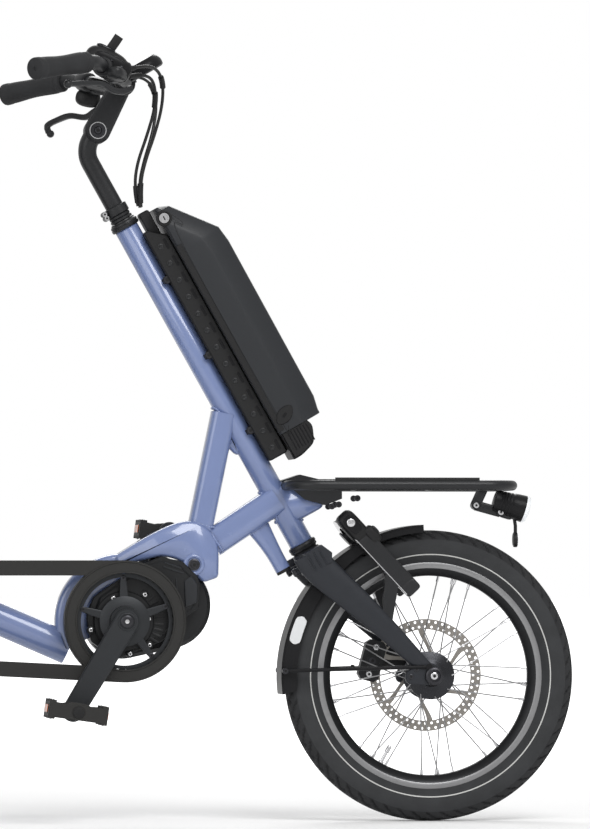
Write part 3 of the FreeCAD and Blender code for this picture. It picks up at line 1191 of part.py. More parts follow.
def thumb_lever():
    """The gear lever's blade, standing up from its clamp beside the right perch."""
    _, straight, inner, _ = bar_points(-1)
    seat = straight + (inner - straight) * (PERCH_SHARE - 0.28)
    along = (inner - straight).normalize()
    clamp = rod(seat - along * (PERCH_LENGTH * 0.4), seat + along * (PERCH_LENGTH * 0.4), PERCH_R)
    root, tip = seat, seat + V(THUMB_LEVER_LENGTH * 0.45, 0, THUMB_LEVER_LENGTH)
    lever = strap(V(root.x, 0, root.z), V(tip.x, 0, tip.z), PERCH_R * 0.7, PERCH_R * 0.3, seat.y - LEVER_R / 2, seat.y + LEVER_R / 2)
    cleared = fused([clamp, lever]).cut(tube(bar_points(-1), BAR_R, BAR_BEND))
    return max(cleared.Solids, key=lambda solid: solid.Volume)


# Seat
def seat_loop_z():
    """Height of the seat frame's tube centres."""
    return SLIDER_TOP + SEAT_TUBE_R


def seat_frame():
    """The clamp that slides on the seat rail, the tubular seat loop and the backrest's hoop."""
    clamp = block(SLIDER_X - SLIDER_LENGTH / 2, SLIDER_X + SLIDER_LENGTH / 2, -SLIDER_WIDTH / 2, SLIDER_WIDTH / 2,
                  SLIDER_FOOT, SLIDER_TOP)
    clamp = clamp.makeChamfer(SLIDER_WIDTH / 5, [edge for edge in clamp.Edges if edge.BoundBox.XLength > SLIDER_LENGTH / 2])
    z = seat_loop_z()
    front, rear = SEAT_X + SEAT_LENGTH / 2, SEAT_X - SEAT_LENGTH / 2
    half = SEAT_WIDTH / 2 - SEAT_TUBE_R
    pieces = [clamp] + carrier_loop(front, rear, half, z, SEAT_TUBE_R, SEAT_CORNER)
    for share in (0.25, 0.75):
        x = SLIDER_X - SLIDER_LENGTH / 2 + SLIDER_LENGTH * share
        pieces.append(rod(at(x, z - SEAT_TUBE_R * 0.5, -half), at(x, z - SEAT_TUBE_R * 0.5, half), SEAT_TUBE_R * 0.9))
    lean = V(-sin(BACK_LEAN), 0, cos(BACK_LEAN))
    back_half = BACK_WIDTH / 2 - BACK_THICK
    foot_l, foot_r = at(rear, z, back_half), at(rear, z, -back_half)
    rise = lean * (BACK_HEIGHT * 0.97 + BACK_LIFT)
    pieces.append(tube([foot_l, foot_l + rise, foot_r + rise, foot_r], SEAT_TUBE_R, SEAT_CORNER))
    whole = fused(pieces)
    return solid_of(whole.cut(rod(at(MAIN_FOOT_X, RAIL_Z), at(RAIL_END * 2, RAIL_Z), MAIN_R + RUN_GAP)))


def rounded_box(length, width, height, corner, radius):
    """A box with every edge rounded."""
    body = Part.makeBox(length, width, height, corner)
    return solid_of(body.makeFillet(radius, body.Edges))


def seat_cushion():
    """The seat cushion on its frame."""
    z = seat_loop_z() + SEAT_TUBE_R
    length = SEAT_LENGTH + SEAT_TUBE_R * 2 - BACK_THICK
    return rounded_box(length, SEAT_WIDTH, CUSHION_THICK, at(SEAT_X + SEAT_LENGTH / 2 + SEAT_TUBE_R - length, z, -SEAT_WIDTH / 2),
                       CUSHION_ROUND)


def backrest_pad():
    """The leaning backrest pad in front of its hoop."""
    foot = at(SEAT_X - SEAT_LENGTH / 2, seat_loop_z())
    pad = rounded_box(BACK_THICK, BACK_WIDTH, BACK_HEIGHT, foot + V(SEAT_TUBE_R, -BACK_WIDTH / 2, BACK_LIFT + CUSHION_THICK),
                      CUSHION_ROUND)
    pad.rotate(foot, LEFT, -degrees(BACK_LEAN))
    return pad


# Rear carrier
def rear_carrier():
    """The rear carrier: loop, bars, arms to the frame and struts to the axle housing."""
    rear = -WHEELBASE - REAR_OVERHANG + TAIL_LAMP_DEPTH + CARRIER_R
    pieces = carrier_loop(CARRIER_FRONT, rear, CARRIER_HALF, CARRIER_Z, CARRIER_R, CARRIER_CORNER)
    for index in range(CARRIER_BARS):
        x = CARRIER_FRONT + (rear - CARRIER_FRONT) * (index + 1) / (CARRIER_BARS + 1)
        pieces.append(rod(at(x, CARRIER_Z, -CARRIER_HALF), at(x, CARRIER_Z, CARRIER_HALF), CARRIER_R * 0.75))
    stay_face = STAY_Y + STAY_THICK / 2
    cross = stay_points()[3]
    for side in (1, -1):
        arm_y = side * (stay_face + CARRIER_R * 1.5)
        corner = at(CARRIER_FRONT, CARRIER_Z, arm_y)
        pieces.append(rod(V(cross.x, arm_y, cross.z), corner, CARRIER_R))
        pieces.append(disc(cross, CROSS_R, *sorted((side * stay_face, side * (stay_face + CARRIER_R * 2.5)))))
        clamp_y = side * CARRIER_HALF
        low, high = clamp_y - CARRIER_R, clamp_y + CARRIER_R
        ring = disc(REAR_HUB, HOUSING_R * 1.35, low, high).cut(disc(REAR_HUB, HOUSING_R, low - OVERRUN, high + OVERRUN))
        strut = rod(around(REAR_HUB, HOUSING_R * 1.2, radians(138), clamp_y),
                    at(rear + CARRIER_CORNER * 1.2, CARRIER_Z, clamp_y), CARRIER_R * 0.75)
        pieces.extend([ring, strut])
    return fused(pieces)


def tail_lamp():
    """The tail lamp on the carrier's rear tube."""
    rear = -WHEELBASE - REAR_OVERHANG
    return block(rear, rear + TAIL_LAMP_DEPTH, -TAIL_LAMP_WIDTH / 2, TAIL_LAMP_WIDTH / 2,
                 CARRIER_Z - TAIL_LAMP_HEIGHT / 2, CARRIER_Z + TAIL_LAMP_HEIGHT / 2)


# Cables
def cable(side):
    """A control cable from its lever, over the front and down to the dock's cable port."""
    points = cable_points(side)
    bends = []
    for before, here, after in zip(points, points[1:], points[2:]):
        back, ahead = before - here, after - here
        turn = pi - acos((back * ahead) / (back.Length * ahead.Length))
        bends.append(0.45 * min(back.Length, ahead.Length) / tan(turn / 2))
    body = tube(points, CABLE_R, bends)
    length = rounded_path(points, bends).Length
    print("cable", side, "radii", [round(r, 1) for r in bends], "length", round(length, 1),
          "volume over section times length", round(body.Volume / (pi * CABLE_R ** 2 * length), 4))
    return body


NODES = {
    "frame_front": frame_front, "frame_rear": frame_rear, "frame_stub_plug": stub_plug,
    "headset_lower": headset_lower, "headset_upper": headset_upper, "motor_unit": motor,
    "battery": battery, "battery_dock": battery_dock, "battery_lock": battery_lock,
    "charge_port_cover": port_cover, "chain_guard": chain_guard, "gear_hub": gear_hub,
    "rear_chain_case": rear_chain_case, "differential": differential,
    "axle_housing_left": lambda: axle_housing(1), "axle_housing_right": lambda: axle_housing(-1),
    "rear_mudguard_left": lambda: rear_mudguard(1), "rear_mudguard_right": lambda: rear_mudguard(-1),
    "rear_carrier": rear_carrier, "tail_lamp": tail_lamp,
    "front_rack": front_rack, "rack_gusset": rack_gusset, "headlamp": headlamp,
    "lamp_bracket": lamp_bracket, "front_reflector": front_reflector,
    "fork": fork, "front_axle": front_axle, "front_mudguard": front_mudguard, "front_caliper": caliper,
    "ring_lock": ring_lock, "riser_post": riser, "stem": stem, "handlebar": handlebar,
    "grip_left": lambda: grip(1), "grip_right": lambda: grip(-1),
    "brake_lever_left": lambda: brake_lever(1), "brake_lever_right": lambda: brake_lever(-1),
    "display": display, "gear_lever": thumb_lever,
    "cable_left": lambda: cable(1), "cable_right": lambda: cable(-1),
    "front_tyre": lambda: tyre(FRONT_HUB, FRONT_TYRE_R, FRONT_SEAT_R, 0.0),
    "front_wheel": front_wheel, "front_disc": brake_disc,
    "rear_tyre_left": lambda: tyre(REAR_HUB, REAR_TYRE_R, REAR_SEAT_R, TRACK / 2),
    "rear_tyre_right": lambda: tyre(REAR_HUB, REAR_TYRE_R, REAR_SEAT_R, -TRACK / 2),
    "rear_wheel_left": lambda: rear_wheel(1), "rear_wheel_right": lambda: rear_wheel(-1),
    "crank_right": crank_right, "crank_left": crank_left, "chainring": chainring,
    "pedal_right": lambda: pedal(-1), "pedal_left": lambda: pedal(1),
    "seat_frame": seat_frame, "seat_cushion": seat_cushion, "backrest_pad": backrest_pad,
}


def main():
    """Write every sub-part as a STEP file of its own."""
    os.makedirs("parts", exist_ok=True)
    for name, build in NODES.items():
        shape = build()
        if not shape.isValid() or len(shape.Solids) != 1:
            print("look at", name, shape.isValid(), len(shape.Solids))
        shape.exportStep(f"parts/{name}.step")


main()
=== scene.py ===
"""The looks of a semi-recumbent electric delta trike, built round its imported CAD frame.

Everything is in metres, X forward, Y left, Z up, on the ground below the middle of the trike. Each
sub-assembly is a class with its sizes as fields. Its surfaces are worked out as whole numpy arrays
and gathered in a Shell, which becomes one mesh that rides on a CAD body.
"""

import json
import logging
import math
from dataclasses import dataclass, field
from enum import Enum
from typing import Any, Callable, Sequence

import bmesh
import bpy
import numpy as np
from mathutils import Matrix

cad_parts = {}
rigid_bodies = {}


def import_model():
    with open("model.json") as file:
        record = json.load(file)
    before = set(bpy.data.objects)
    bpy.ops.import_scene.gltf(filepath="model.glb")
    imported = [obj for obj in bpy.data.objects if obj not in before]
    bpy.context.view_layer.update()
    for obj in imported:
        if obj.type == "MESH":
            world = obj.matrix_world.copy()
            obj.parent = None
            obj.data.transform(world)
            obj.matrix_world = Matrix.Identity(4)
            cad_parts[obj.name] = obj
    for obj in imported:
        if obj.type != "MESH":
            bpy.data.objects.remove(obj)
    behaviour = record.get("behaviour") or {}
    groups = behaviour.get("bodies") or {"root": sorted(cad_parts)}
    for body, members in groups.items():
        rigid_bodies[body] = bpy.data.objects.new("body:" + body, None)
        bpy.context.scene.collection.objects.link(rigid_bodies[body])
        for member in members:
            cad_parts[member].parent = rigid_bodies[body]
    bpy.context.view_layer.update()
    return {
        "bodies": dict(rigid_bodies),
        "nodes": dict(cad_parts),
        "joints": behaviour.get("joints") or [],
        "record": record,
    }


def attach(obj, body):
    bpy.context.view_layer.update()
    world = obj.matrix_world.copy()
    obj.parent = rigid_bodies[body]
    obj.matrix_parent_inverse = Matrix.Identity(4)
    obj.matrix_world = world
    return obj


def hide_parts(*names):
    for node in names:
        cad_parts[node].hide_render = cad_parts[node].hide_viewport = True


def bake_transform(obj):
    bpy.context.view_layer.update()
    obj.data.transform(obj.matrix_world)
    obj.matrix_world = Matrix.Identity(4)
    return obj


LOG = logging.getLogger("trike")
TAU = 2.0 * math.pi
Array = np.ndarray

AXLE_X = 0.70625
FRONT_HUB = np.array([AXLE_X, 0.0, 0.2325])
REAR_HUB = np.array([AXLE_X - 1.3, 0.0, 0.258])
CRANK_AXLE = np.array([AXLE_X - 0.494, 0.0, 0.320])
JACKSHAFT = np.array([AXLE_X - 1.14, 0.0, 0.3365])
HEAD_LEAN = math.radians(60.8)
UP = np.array([-math.cos(HEAD_LEAN), 0.0, math.sin(HEAD_LEAN)])
AHEAD = np.array([math.sin(HEAD_LEAN), 0.0, math.cos(HEAD_LEAN)])
LEFT = np.array([0.0, 1.0, 0.0])
WORLD_X = np.array([1.0, 0.0, 0.0])
WORLD_Z = np.array([0.0, 0.0, 1.0])
HEAD_FOOT = FRONT_HUB - AHEAD * 0.0764 + UP * 0.285
TRACK_HALF = 0.345


class Body(Enum):
    """The CAD bodies that a piece may ride on."""

    FRAME = "frame"
    STEERING = "steering"
    FRONT_WHEEL = "front_wheel_assembly"
    REAR_LEFT_WHEEL = "rear_left_wheel_assembly"
    REAR_RIGHT_WHEEL = "rear_right_wheel_assembly"
    CRANKSET = "crankset"
    PEDAL_RIGHT = "pedal_right_body"
    PEDAL_LEFT = "pedal_left_body"
    SEAT = "seat"


def on_steering(up: float, ahead: float, y: float = 0.0) -> Array:
    """A point by its place on the steering: foot + up * UP + ahead * AHEAD + y * LEFT.

    Args:
        up: Metres up the steering axis from the foot of the head tube.
        ahead: Metres forward of the axis, square to it.
        y: Metres to the left of the mid-plane.

    Returns:
        The point in the row frame.
    """
    return HEAD_FOOT + UP * up + AHEAD * ahead + LEFT * y


def at(x: float, z: float, y: float = 0.0) -> Array:
    """A point by its distance ahead of the front axle, height and distance left."""
    return np.array([AXLE_X + x, y, z])


def unit(vectors: Array) -> Array:
    """Each vector divided by its length."""
    return vectors / np.maximum(np.linalg.norm(vectors, axis=-1, keepdims=True), 1e-12)


def whole_turn(count: int) -> Array:
    """Angles at even steps round a whole turn."""
    return np.linspace(0.0, TAU, count, endpoint=False)


def rays(turn: float | Array) -> Array:
    """Unit directions in the side view, at angles from forward towards up."""
    turn = np.asarray(turn, float)
    return np.stack([np.cos(turn), 0 * turn, np.sin(turn)], axis=-1)


def round_hub(hub: Array, radius: float | Array, turn: float | Array, y: float = 0.0) -> Array:
    """Points round a hub by radius and angle from straight ahead, y metres left of the hub."""
    return hub + np.asarray(radius)[..., None] * rays(turn) + LEFT * y


def side_name(side: int) -> str:
    """The word for a side, 1 for the left and -1 for the right."""
    return "left" if side > 0 else "right"


# Surfaces
@dataclass(frozen=True)
class Plane:
    """A place and three square directions: p = origin + a * across + b * up + c * out."""

    origin: Array
    across: Array
    up: Array

    @property
    def out(self) -> Array:
        """The direction square to across and up."""
        return np.cross(self.across, self.up)

    def place(self, points: Array) -> Array:
        """Points given as (a, b, c) on this plane, in the row frame."""
        return (self.origin + points[..., 0:1] * self.across + points[..., 1:2] * self.up
                + points[..., 2:3] * self.out)


def side_plane(origin: Array, turn: float = 0.0) -> Plane:
    """A plane in the side view, across turned by an angle from forward towards up; out is to the right."""
    return Plane(np.asarray(origin, float), rays(turn), rays(turn + math.pi / 2))


def square_to(axis: Array) -> Array:
    """A direction square to an axis, as near to forward, or else to up, as can be."""
    guide = WORLD_X if abs(axis[0]) < 0.9 else WORLD_Z
    return unit(guide - axis * (guide @ axis))


def turned(profile: Sequence[Sequence[float]], centre: Array, axis: Array, count: int) -> Array:
    """A surface of revolution: p = c + h(t) a + r(t) (cos u e1 + sin u e2), with e2 = a x e1.

    Args:
        profile: Pairs of radius r and place along the axis h.
        centre: The point c on the axis.
        axis: The axis a.
        count: How many steps round.

    Returns:
        The grid of points, profile by angle.
    """
    axis = unit(np.asarray(axis, float))
    first = square_to(axis)
    shape, angle = np.asarray(profile, float), whole_turn(count)[:, None]
    ring = np.cos(angle) * first + np.sin(angle) * np.cross(axis, first)
    return centre + shape[:, None, 1:2] * axis + shape[:, None, 0:1] * ring[None]


def mirrored(half: Sequence[Sequence[float]]) -> list[Sequence[float]]:
    """A profile of (radius, place) pairs made whole by its mirror image about place 0."""
    return [(r, -h) for r, h in reversed(half)] + list(half)


def straight(start: Array, end: Array, count: int) -> Array:
    """Points at even steps on a straight line."""
    return start + (end - start) * np.linspace(0.0, 1.0, count)[:, None]


def oval(half_a: float, half_b: float, count: int, power: float = 2.0) -> Array:
    """A superellipse |a/A|^n + |b/B|^n = 1, as (a, b) pairs."""
    angle = whole_turn(count) + TAU / (2 * count)
    cosine, sine = np.cos(angle), np.sin(angle)
    share = 2.0 / power
    return np.stack([half_a * np.sign(cosine) * np.abs(cosine) ** share,
                     half_b * np.sign(sine) * np.abs(sine) ** share], axis=1)


def swept(path: Array, sections: Array, guide: Array, closed: bool = False) -> Array:
    """A section carried along a path: p(i, j) = path(i) + a(i, j) side(i) + b(i, j) top(i).

    The tangent is the path's gradient, side = guide x tangent and top = tangent x side.

    Args:
        path: The points of the path.
        sections: (a, b) pairs, the same all along or one set for each point of the path.
        guide: A direction that the path never follows.
        closed: Whether the path's end meets its start.

    Returns:
        The grid of points, path by section.
    """
    path = np.asarray(path, float)
    if closed:
        tangent = unit(np.roll(path, -1, axis=0) - np.roll(path, 1, axis=0))
    else:
        tangent = unit(np.gradient(path, axis=0))
    side = unit(np.cross(np.broadcast_to(guide, path.shape), tangent))
    top = np.cross(tangent, side)
    shape = np.broadcast_to(sections, (len(path),) + np.asarray(sections).shape[-2:])
    return path[:, None] + shape[..., 0:1] * side[:, None] + shape[..., 1:2] * top[:, None]


def curve(points: Sequence[Sequence[float]], count: int, closed: bool = False) -> Array:
    """A Catmull-Rom curve through points: with s the share of a run between p1 and p2,

    p = ((2 p1) + (p2 - p0) s + (2 p0 - 5 p1 + 4 p2 - p3) s^2 + (3 p1 - p0 - 3 p2 + p3) s^3) / 2.

    Args:
        points: The points that the curve passes.
        count: How many points come back.
        closed: Whether the curve returns to its first point.

    Returns:
        Points along the curve.
    """
    knots = np.asarray(points, float)
    if closed:
        padded = np.concatenate([knots[-1:], knots, knots[:2]])
    else:
        padded = np.concatenate([2 * knots[:1] - knots[1:2], knots, 2 * knots[-1:] - knots[-2:-1]])
    runs = len(padded) - 3
    place = np.linspace(0.0, runs, count, endpoint=not closed)
    index = np.minimum(place.astype(int), runs - 1)
    s = (place - index)[:, None]
    p0, p1, p2, p3 = (padded[index + k] for k in range(4))
    return 0.5 * (2 * p1 + (p2 - p0) * s + (2 * p0 - 5 * p1 + 4 * p2 - p3) * s ** 2
                  + (3 * p1 - p0 - 3 * p2 + p3) * s ** 3)


def rounded_outline(corners: Sequence[Sequence[float]], radius: float | Sequence[float], steps: int = 5) -> Array:
    """A closed outline with each corner eased by a quadratic curve: p = (1-s)^2 a + 2 s (1-s) c + s^2 b.

    Args:
        corners: The outline's corners c, as pairs.
        radius: How far from its corner each curve starts, one for all or one each.
        steps: Points on each eased corner.

    Returns:
        The outline's points.
    """
    here = np.asarray(corners, float)
    before, after = np.roll(here, 1, axis=0), np.roll(here, -1, axis=0)
    reach = np.broadcast_to(radius, (len(here),))[:, None]
    to_before = np.minimum(reach, 0.48 * np.linalg.norm(before - here, axis=1, keepdims=True))
    to_after = np.minimum(reach, 0.48 * np.linalg.norm(after - here, axis=1, keepdims=True))
    start = here + unit(before - here) * to_before
    finish = here + unit(after - here) * to_after
    s = np.linspace(0.0, 1.0, steps)[None, :, None]
    eased = (1 - s) ** 2 * start[:, None] + 2 * s * (1 - s) * here[:, None] + s ** 2 * finish[:, None]
    return eased.reshape(-1, 2)


class Shell:
    """Closed surfaces gathered into one mesh, each with its own finish."""

    def __init__(self) -> None:
        """Starts with no points, faces or finishes."""
        self.points: list[Array] = []
        self.faces: list[Sequence[int]] = []
        self.slots: list[int] = []
        self.finishes: list["Finish"] = []
        self.count = 0

    def slot(self, finish: "Finish") -> int:
        """The number of a finish on this mesh."""
        if finish not in self.finishes:
            self.finishes.append(finish)
        return self.finishes.index(finish)

    def grid(self, points: Array, finish: "Finish", closed_rows: bool = False, closed_columns: bool = True,
             capped: bool = True) -> None:
        """Adds a surface given on a grid: quads (i, j), (i+1, j), (i+1, j+1), (i, j+1).

        Args:
            points: The grid, rows by columns by 3.
            finish: The finish of its faces.
            closed_rows: Whether the last row meets the first.
            closed_columns: Whether the last column meets the first.
            capped: Whether the first and last rows are closed with a face each.
        """
        rows, columns = points.shape[:2]
        index = np.arange(rows * columns).reshape(rows, columns) + self.count
        if closed_rows:
            index = np.concatenate([index, index[:1]])
        if closed_columns:
            index = np.concatenate([index, index[:, :1]], axis=1)
        quads = np.stack([index[:-1, :-1], index[1:, :-1], index[1:, 1:], index[:-1, 1:]], axis=-1).reshape(-1, 4)
        faces: list[Sequence[int]] = quads.tolist()
        if capped and not closed_rows and closed_columns:
            faces.append(index[0, :-1].tolist())
            faces.append(index[-1, :-1][::-1].tolist())
        self.add(points.reshape(-1, 3), faces, finish)

    def add(self, points: Array, faces: Sequence[Sequence[int]], finish: "Finish") -> None:
        """Adds points and the faces on them, numbered on from this shell's own points."""
        self.points.append(points)
        self.faces.extend(faces)
        self.slots.extend([self.slot(finish)] * len(faces))
        self.count += len(points)

    def tiles(self, grids: Array, finish: "Finish") -> None:
        """Adds many open grids at once, an array of tiles by rows by columns by 3."""
        tiles, rows, columns = grids.shape[:3]
        index = np.arange(tiles * rows * columns).reshape(tiles, rows, columns) + self.count
        quads = np.stack([index[:, :-1, :-1], index[:, 1:, :-1], index[:, 1:, 1:], index[:, :-1, 1:]], axis=-1)
        self.add(grids.reshape(-1, 3), quads.reshape(-1, 4).tolist(), finish)

    def bar(self, path: Array, half_a: float | Array, half_b: float | Array, finish: "Finish", sides: int = 20,
            power: float = 4.0, guide: Array = LEFT, closed: bool = False) -> None:
        """Adds a bar of superellipse section along a path.

        Args:
            path: The points of the path.
            half_a: The half width square to the guide, one number or one for each point.
            half_b: The half width along the guide, likewise.
            finish: The finish.
            sides: Points round the section.
            power: The section's superellipse power, 2 for round.
            guide: A direction that the path never follows.
            closed: Whether the path's end meets its start.
        """
        halves = np.stack([np.broadcast_to(half, (len(path),)) for half in (half_a, half_b)], axis=-1)
        sections = oval(1.0, 1.0, sides, power)[None] * halves[:, None]
        self.grid(swept(path, sections, guide, closed), finish, closed_rows=closed)

    def tube(self, path: Array, radius: float | Array, finish: "Finish", guide: Array = LEFT, sides: int = 12,
             closed: bool = False) -> None:
        """Adds a round tube along a path, its radius one number or one for each point."""
        self.bar(path, radius, radius, finish, sides, 2.0, guide, closed)

    def rod(self, start: Array, end: Array, radius: float, finish: "Finish", ease: float = 0.0,
            sides: int = 20) -> None:
        """Adds a round bar between two points, its rims eased by a small chamfer."""
        length = float(np.linalg.norm(end - start))
        profile = [(radius, 0.0), (radius, length)]
        if ease:
            profile = [(radius - ease, 0.0), (radius, ease), (radius, length - ease), (radius - ease, length)]
        self.grid(turned(profile, start, end - start, sides), finish)

    def lathe(self, profile: Sequence[Sequence[float]], centre: Array, axis: Array, finish: "Finish",
              sides: int = 48, ring: bool = False) -> None:
        """Adds a turned piece, or with ring set, one whose profile closes on itself."""
        self.grid(turned(profile, centre, axis, sides), finish, closed_rows=ring, capped=not ring)

    def plate(self, outline: Array, plane: Plane, low: float, high: float, finish: "Finish",
              ease: float = 0.0008, bulge: float = 0.0) -> None:
        """Adds a flat piece: its outline carried from low to high along out, with eased rims.

        Args:
            outline: The closed outline as (a, b) pairs.
            plane: Where the outline lies.
            low: The lower face's place along out.
            high: The upper face's place.
            finish: The finish.
            ease: The width of the eased rim.
            bulge: How far the outline's middle height stands out beyond its faces.
        """
        flat = np.asarray(outline, float)
        along = unit(np.roll(flat, -1, axis=0) - np.roll(flat, 1, axis=0))
        normal = np.stack([along[:, 1], -along[:, 0]], axis=1)
        area = 0.5 * np.sum(flat[:, 0] * np.roll(flat[:, 1], -1) - flat[:, 1] * np.roll(flat[:, 0], -1))
        normal *= math.copysign(1.0, area)
        middle = (low + high) / 2
        rings = [(low, -ease), (low + ease, 0.0)] + ([(middle, bulge)] if bulge else []) + [
            (high - ease, 0.0), (high, -ease)]
        layers = [np.column_stack([flat + normal * out, np.full(len(flat), level)]) for level, out in rings]
        self.grid(plane.place(np.stack(layers)), finish)

    def box(self, plane: Plane, half_a: float, half_b: float, low: float, high: float, finish: "Finish",
            corner: float = 0.002, ease: float = 0.0008) -> None:
        """Adds a slab with rounded corners and eased rims, centred on a plane's origin."""
        corners = [(-half_a, -half_b), (half_a, -half_b), (half_a, half_b), (-half_a, half_b)]
        self.plate(rounded_outline(corners, corner), plane, low, high, finish, ease)

    def ball(self, centre: Array, radius: float, finish: "Finish", flat: float = 1.0, axis: Array = WORLD_Z,
             sides: int = 20) -> None:
        """Adds a ball, or a lens if flattened along its axis."""
        angle = np.linspace(-math.pi / 2 + 0.12, math.pi / 2 - 0.12, sides // 2)
        profile = np.column_stack([radius * np.cos(angle), radius * flat * np.sin(angle)])
        self.lathe(profile, centre, axis, finish, sides)

    def bolt(self, head: Array, axis: Array, radius: float, height: float, finish: "Finish") -> None:
        """Adds a socket-head bolt: a rounded head whose six-sided recess is a flat near-black hexagon of painted shade,
        seen along its axis.
        """
        axis = unit(axis)
        self.lathe([(radius, 0.0), (radius, height * 0.75), (radius * 0.82, height), (radius * 0.5, height)],
                   head, axis, finish, 20)
        across = square_to(axis)
        plane = Plane(head + axis * height, across, np.cross(axis, across))
        # The recess: a near-black hexagon laid on the head, painted shade where the hole is.
        self.plate(oval(radius * 0.46, radius * 0.46, 6), plane, -0.0002, 0.00025, RECESS_SHADE, ease=0.0001)

    def object(self, name: str, body: Body | None, material_slot: str | None = None, replaces: Sequence[str] = (),
               sharp: float = 38.0, turn_out: bool = True) -> bpy.types.Object:
        """Makes the mesh, dresses it and puts it on its body.

        Args:
            name: The piece's name.
            material_slot: Not used.
            replaces: The CAD nodes that it stands for.
            sharp: The angle in degrees past which an edge shows.
            turn_out: Whether the faces are turned outwards after doubles are merged.

        Returns:
            The new object.
        """
        mesh = bpy.data.meshes.new(name)
        mesh.from_pydata(np.concatenate(self.points).tolist(), [], self.faces)
        mesh.polygons.foreach_set("material_index", np.array(self.slots, dtype=np.int32))
        for finish in self.finishes:
            mesh.materials.append(finish.material())
        work = bmesh.new()
        work.from_mesh(mesh)
        bmesh.ops.remove_doubles(work, verts=work.verts, dist=1e-6)
        if turn_out:
            bmesh.ops.recalc_face_normals(work, faces=work.faces)
        work.to_mesh(mesh)
        work.free()
        mesh.shade_smooth()
        mesh.set_sharp_from_angle(angle=math.radians(sharp))
        piece = bpy.data.objects.new(name, mesh)
        bpy.context.scene.collection.objects.link(piece)
        settle(piece, body, replaces)
        return piece


def settle(piece: bpy.types.Object, body: Body | None, replaces: Sequence[str] = ()) -> None:
    """Puts a finished piece on its body and hides the nodes it stands for."""
    if body:
        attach(piece, body.value)
    if replaces:
        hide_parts(*replaces)
    LOG.info("%s: %d faces on %s", piece.name, len(piece.data.polygons), body.value if body else "two bodies")


# Shader tools
class Signal:
    """A shader socket that takes part in sums as a number does."""

    def __init__(self, tree: "Graph", socket: bpy.types.NodeSocket) -> None:
        """Wraps a socket of a graph."""
        self.tree, self.socket = tree, socket

    def join(self, operation: str, *others: "Signal | float") -> "Signal":
        """A Math node on this and other values."""
        node = self.tree.node("ShaderNodeMath", {"operation": operation}, dict(enumerate((self,) + others)))
        return Signal(self.tree, node.outputs[0])

    def __add__(self, other: "Signal | float") -> "Signal":
        """self + other."""
        return self.join("ADD", other)

    __radd__ = __add__

    def __sub__(self, other: "Signal | float") -> "Signal":
        """self - other."""
        return self.join("SUBTRACT", other)

    def __mul__(self, other: "Signal | float") -> "Signal":
        """self * other."""
        return self.join("MULTIPLY", other)

    def sine(self) -> "Signal":
        """The sine of this."""
        return self.join("SINE")

    def above(self, edge: float, soft: float) -> "Signal":
        """0 below an edge and 1 above it, with a soft step between."""
        node = self.tree.node("ShaderNodeMapRange", {"interpolation_type": "SMOOTHSTEP"},
                              {"Value": self, "From Min": edge - soft, "From Max": edge + soft})
        return Signal(self.tree, node.outputs[0])


class Graph:
    """The node tree of one material, with its shader."""

    shine: float = 0.32

    def __init__(self, material: bpy.types.Material) -> None:
        """Empties a material's nodes and puts in the shader and its output."""
        material.use_nodes = True
        self.nodes, self.links = material.node_tree.nodes, material.node_tree.links
        self.nodes.clear()
        self.shader = self.nodes.new("ShaderNodeBsdfPrincipled")
        self.links.new(self.shader.outputs[0], self.nodes.new("ShaderNodeOutputMaterial").inputs[0])
        self.shader.inputs["Specular IOR Level"].default_value = self.shine

    def node(self, kind: str, settings: dict[str, Any] | None = None,
             inputs: dict[str | int, Any] | None = None) -> bpy.types.Node:
        """Adds a node.

        Args:
            kind: The node's type.
            settings: Its settings, which are set first.
            inputs: Values, Signals or sockets for its inputs, by name or number.

        Returns:
            The node.
        """
        made = self.nodes.new(kind)
        for name, value in (settings or {}).items():
            setattr(made, name, value)
        for name, value in (inputs or {}).items():
            self.feed(made.inputs[name], value)
        return made

    def feed(self, socket: bpy.types.NodeSocket, value: Any) -> None:
        """Sets a socket, or links it if the value is a Signal or a socket."""
        if isinstance(value, Signal):
            self.links.new(value.socket, socket)
        elif isinstance(value, bpy.types.NodeSocket):
            self.links.new(value, socket)
        else:
            socket.default_value = value

    def place(self) -> bpy.types.NodeSocket:
        """Object coordinates, which are the row frame's metres."""
        return self.node("ShaderNodeTexCoord").outputs["Object"]

    def axes(self, vector: bpy.types.NodeSocket | None = None) -> tuple[Signal, Signal, Signal]:
        """The three parts of a vector, or of the place in the row frame."""
        split = self.node("ShaderNodeSeparateXYZ", None, {0: vector or self.place()})
        return tuple(Signal(self, split.outputs[k]) for k in range(3))

    def noise(self, scale: float, detail: float = 3.0) -> Signal:
        """Smooth noise of that many features a metre, from 0 to 1."""
        node = self.node("ShaderNodeTexNoise", None, {"Vector": self.place(), "Scale": scale, "Detail": detail,
                                                     "Roughness": 0.55})
        return Signal(self, node.outputs[0])

    def blend(self, share: Signal | float, first: Any, second: Any) -> bpy.types.NodeSocket:
        """A colour between two colours."""
        node = self.node("ShaderNodeMix", {"data_type": "RGBA", "clamp_factor": True}, {0: share, 6: first, 7: second})
        return node.outputs[2]

    def bump(self, height: Signal, distance: float, strength: float = 1.0) -> None:
        """Feeds the shader's normal from a height in units of a distance in metres."""
        node = self.node("ShaderNodeBump", None, {"Height": height, "Distance": distance, "Strength": strength})
        self.links.new(node.outputs[0], self.shader.inputs["Normal"])

    def set(self, **values: Any) -> None:
        """Sets or links the shader's sockets, named with underscores for spaces."""
        for name, value in values.items():
            self.feed(self.shader.inputs[name.replace("_", " ")], value)


def opaque(colour: Sequence[float], share: float = 1.0) -> tuple[float, float, float, float]:
    """A colour times a number, with full alpha."""
    return (colour[0] * share, colour[1] * share, colour[2] * share, 1.0)


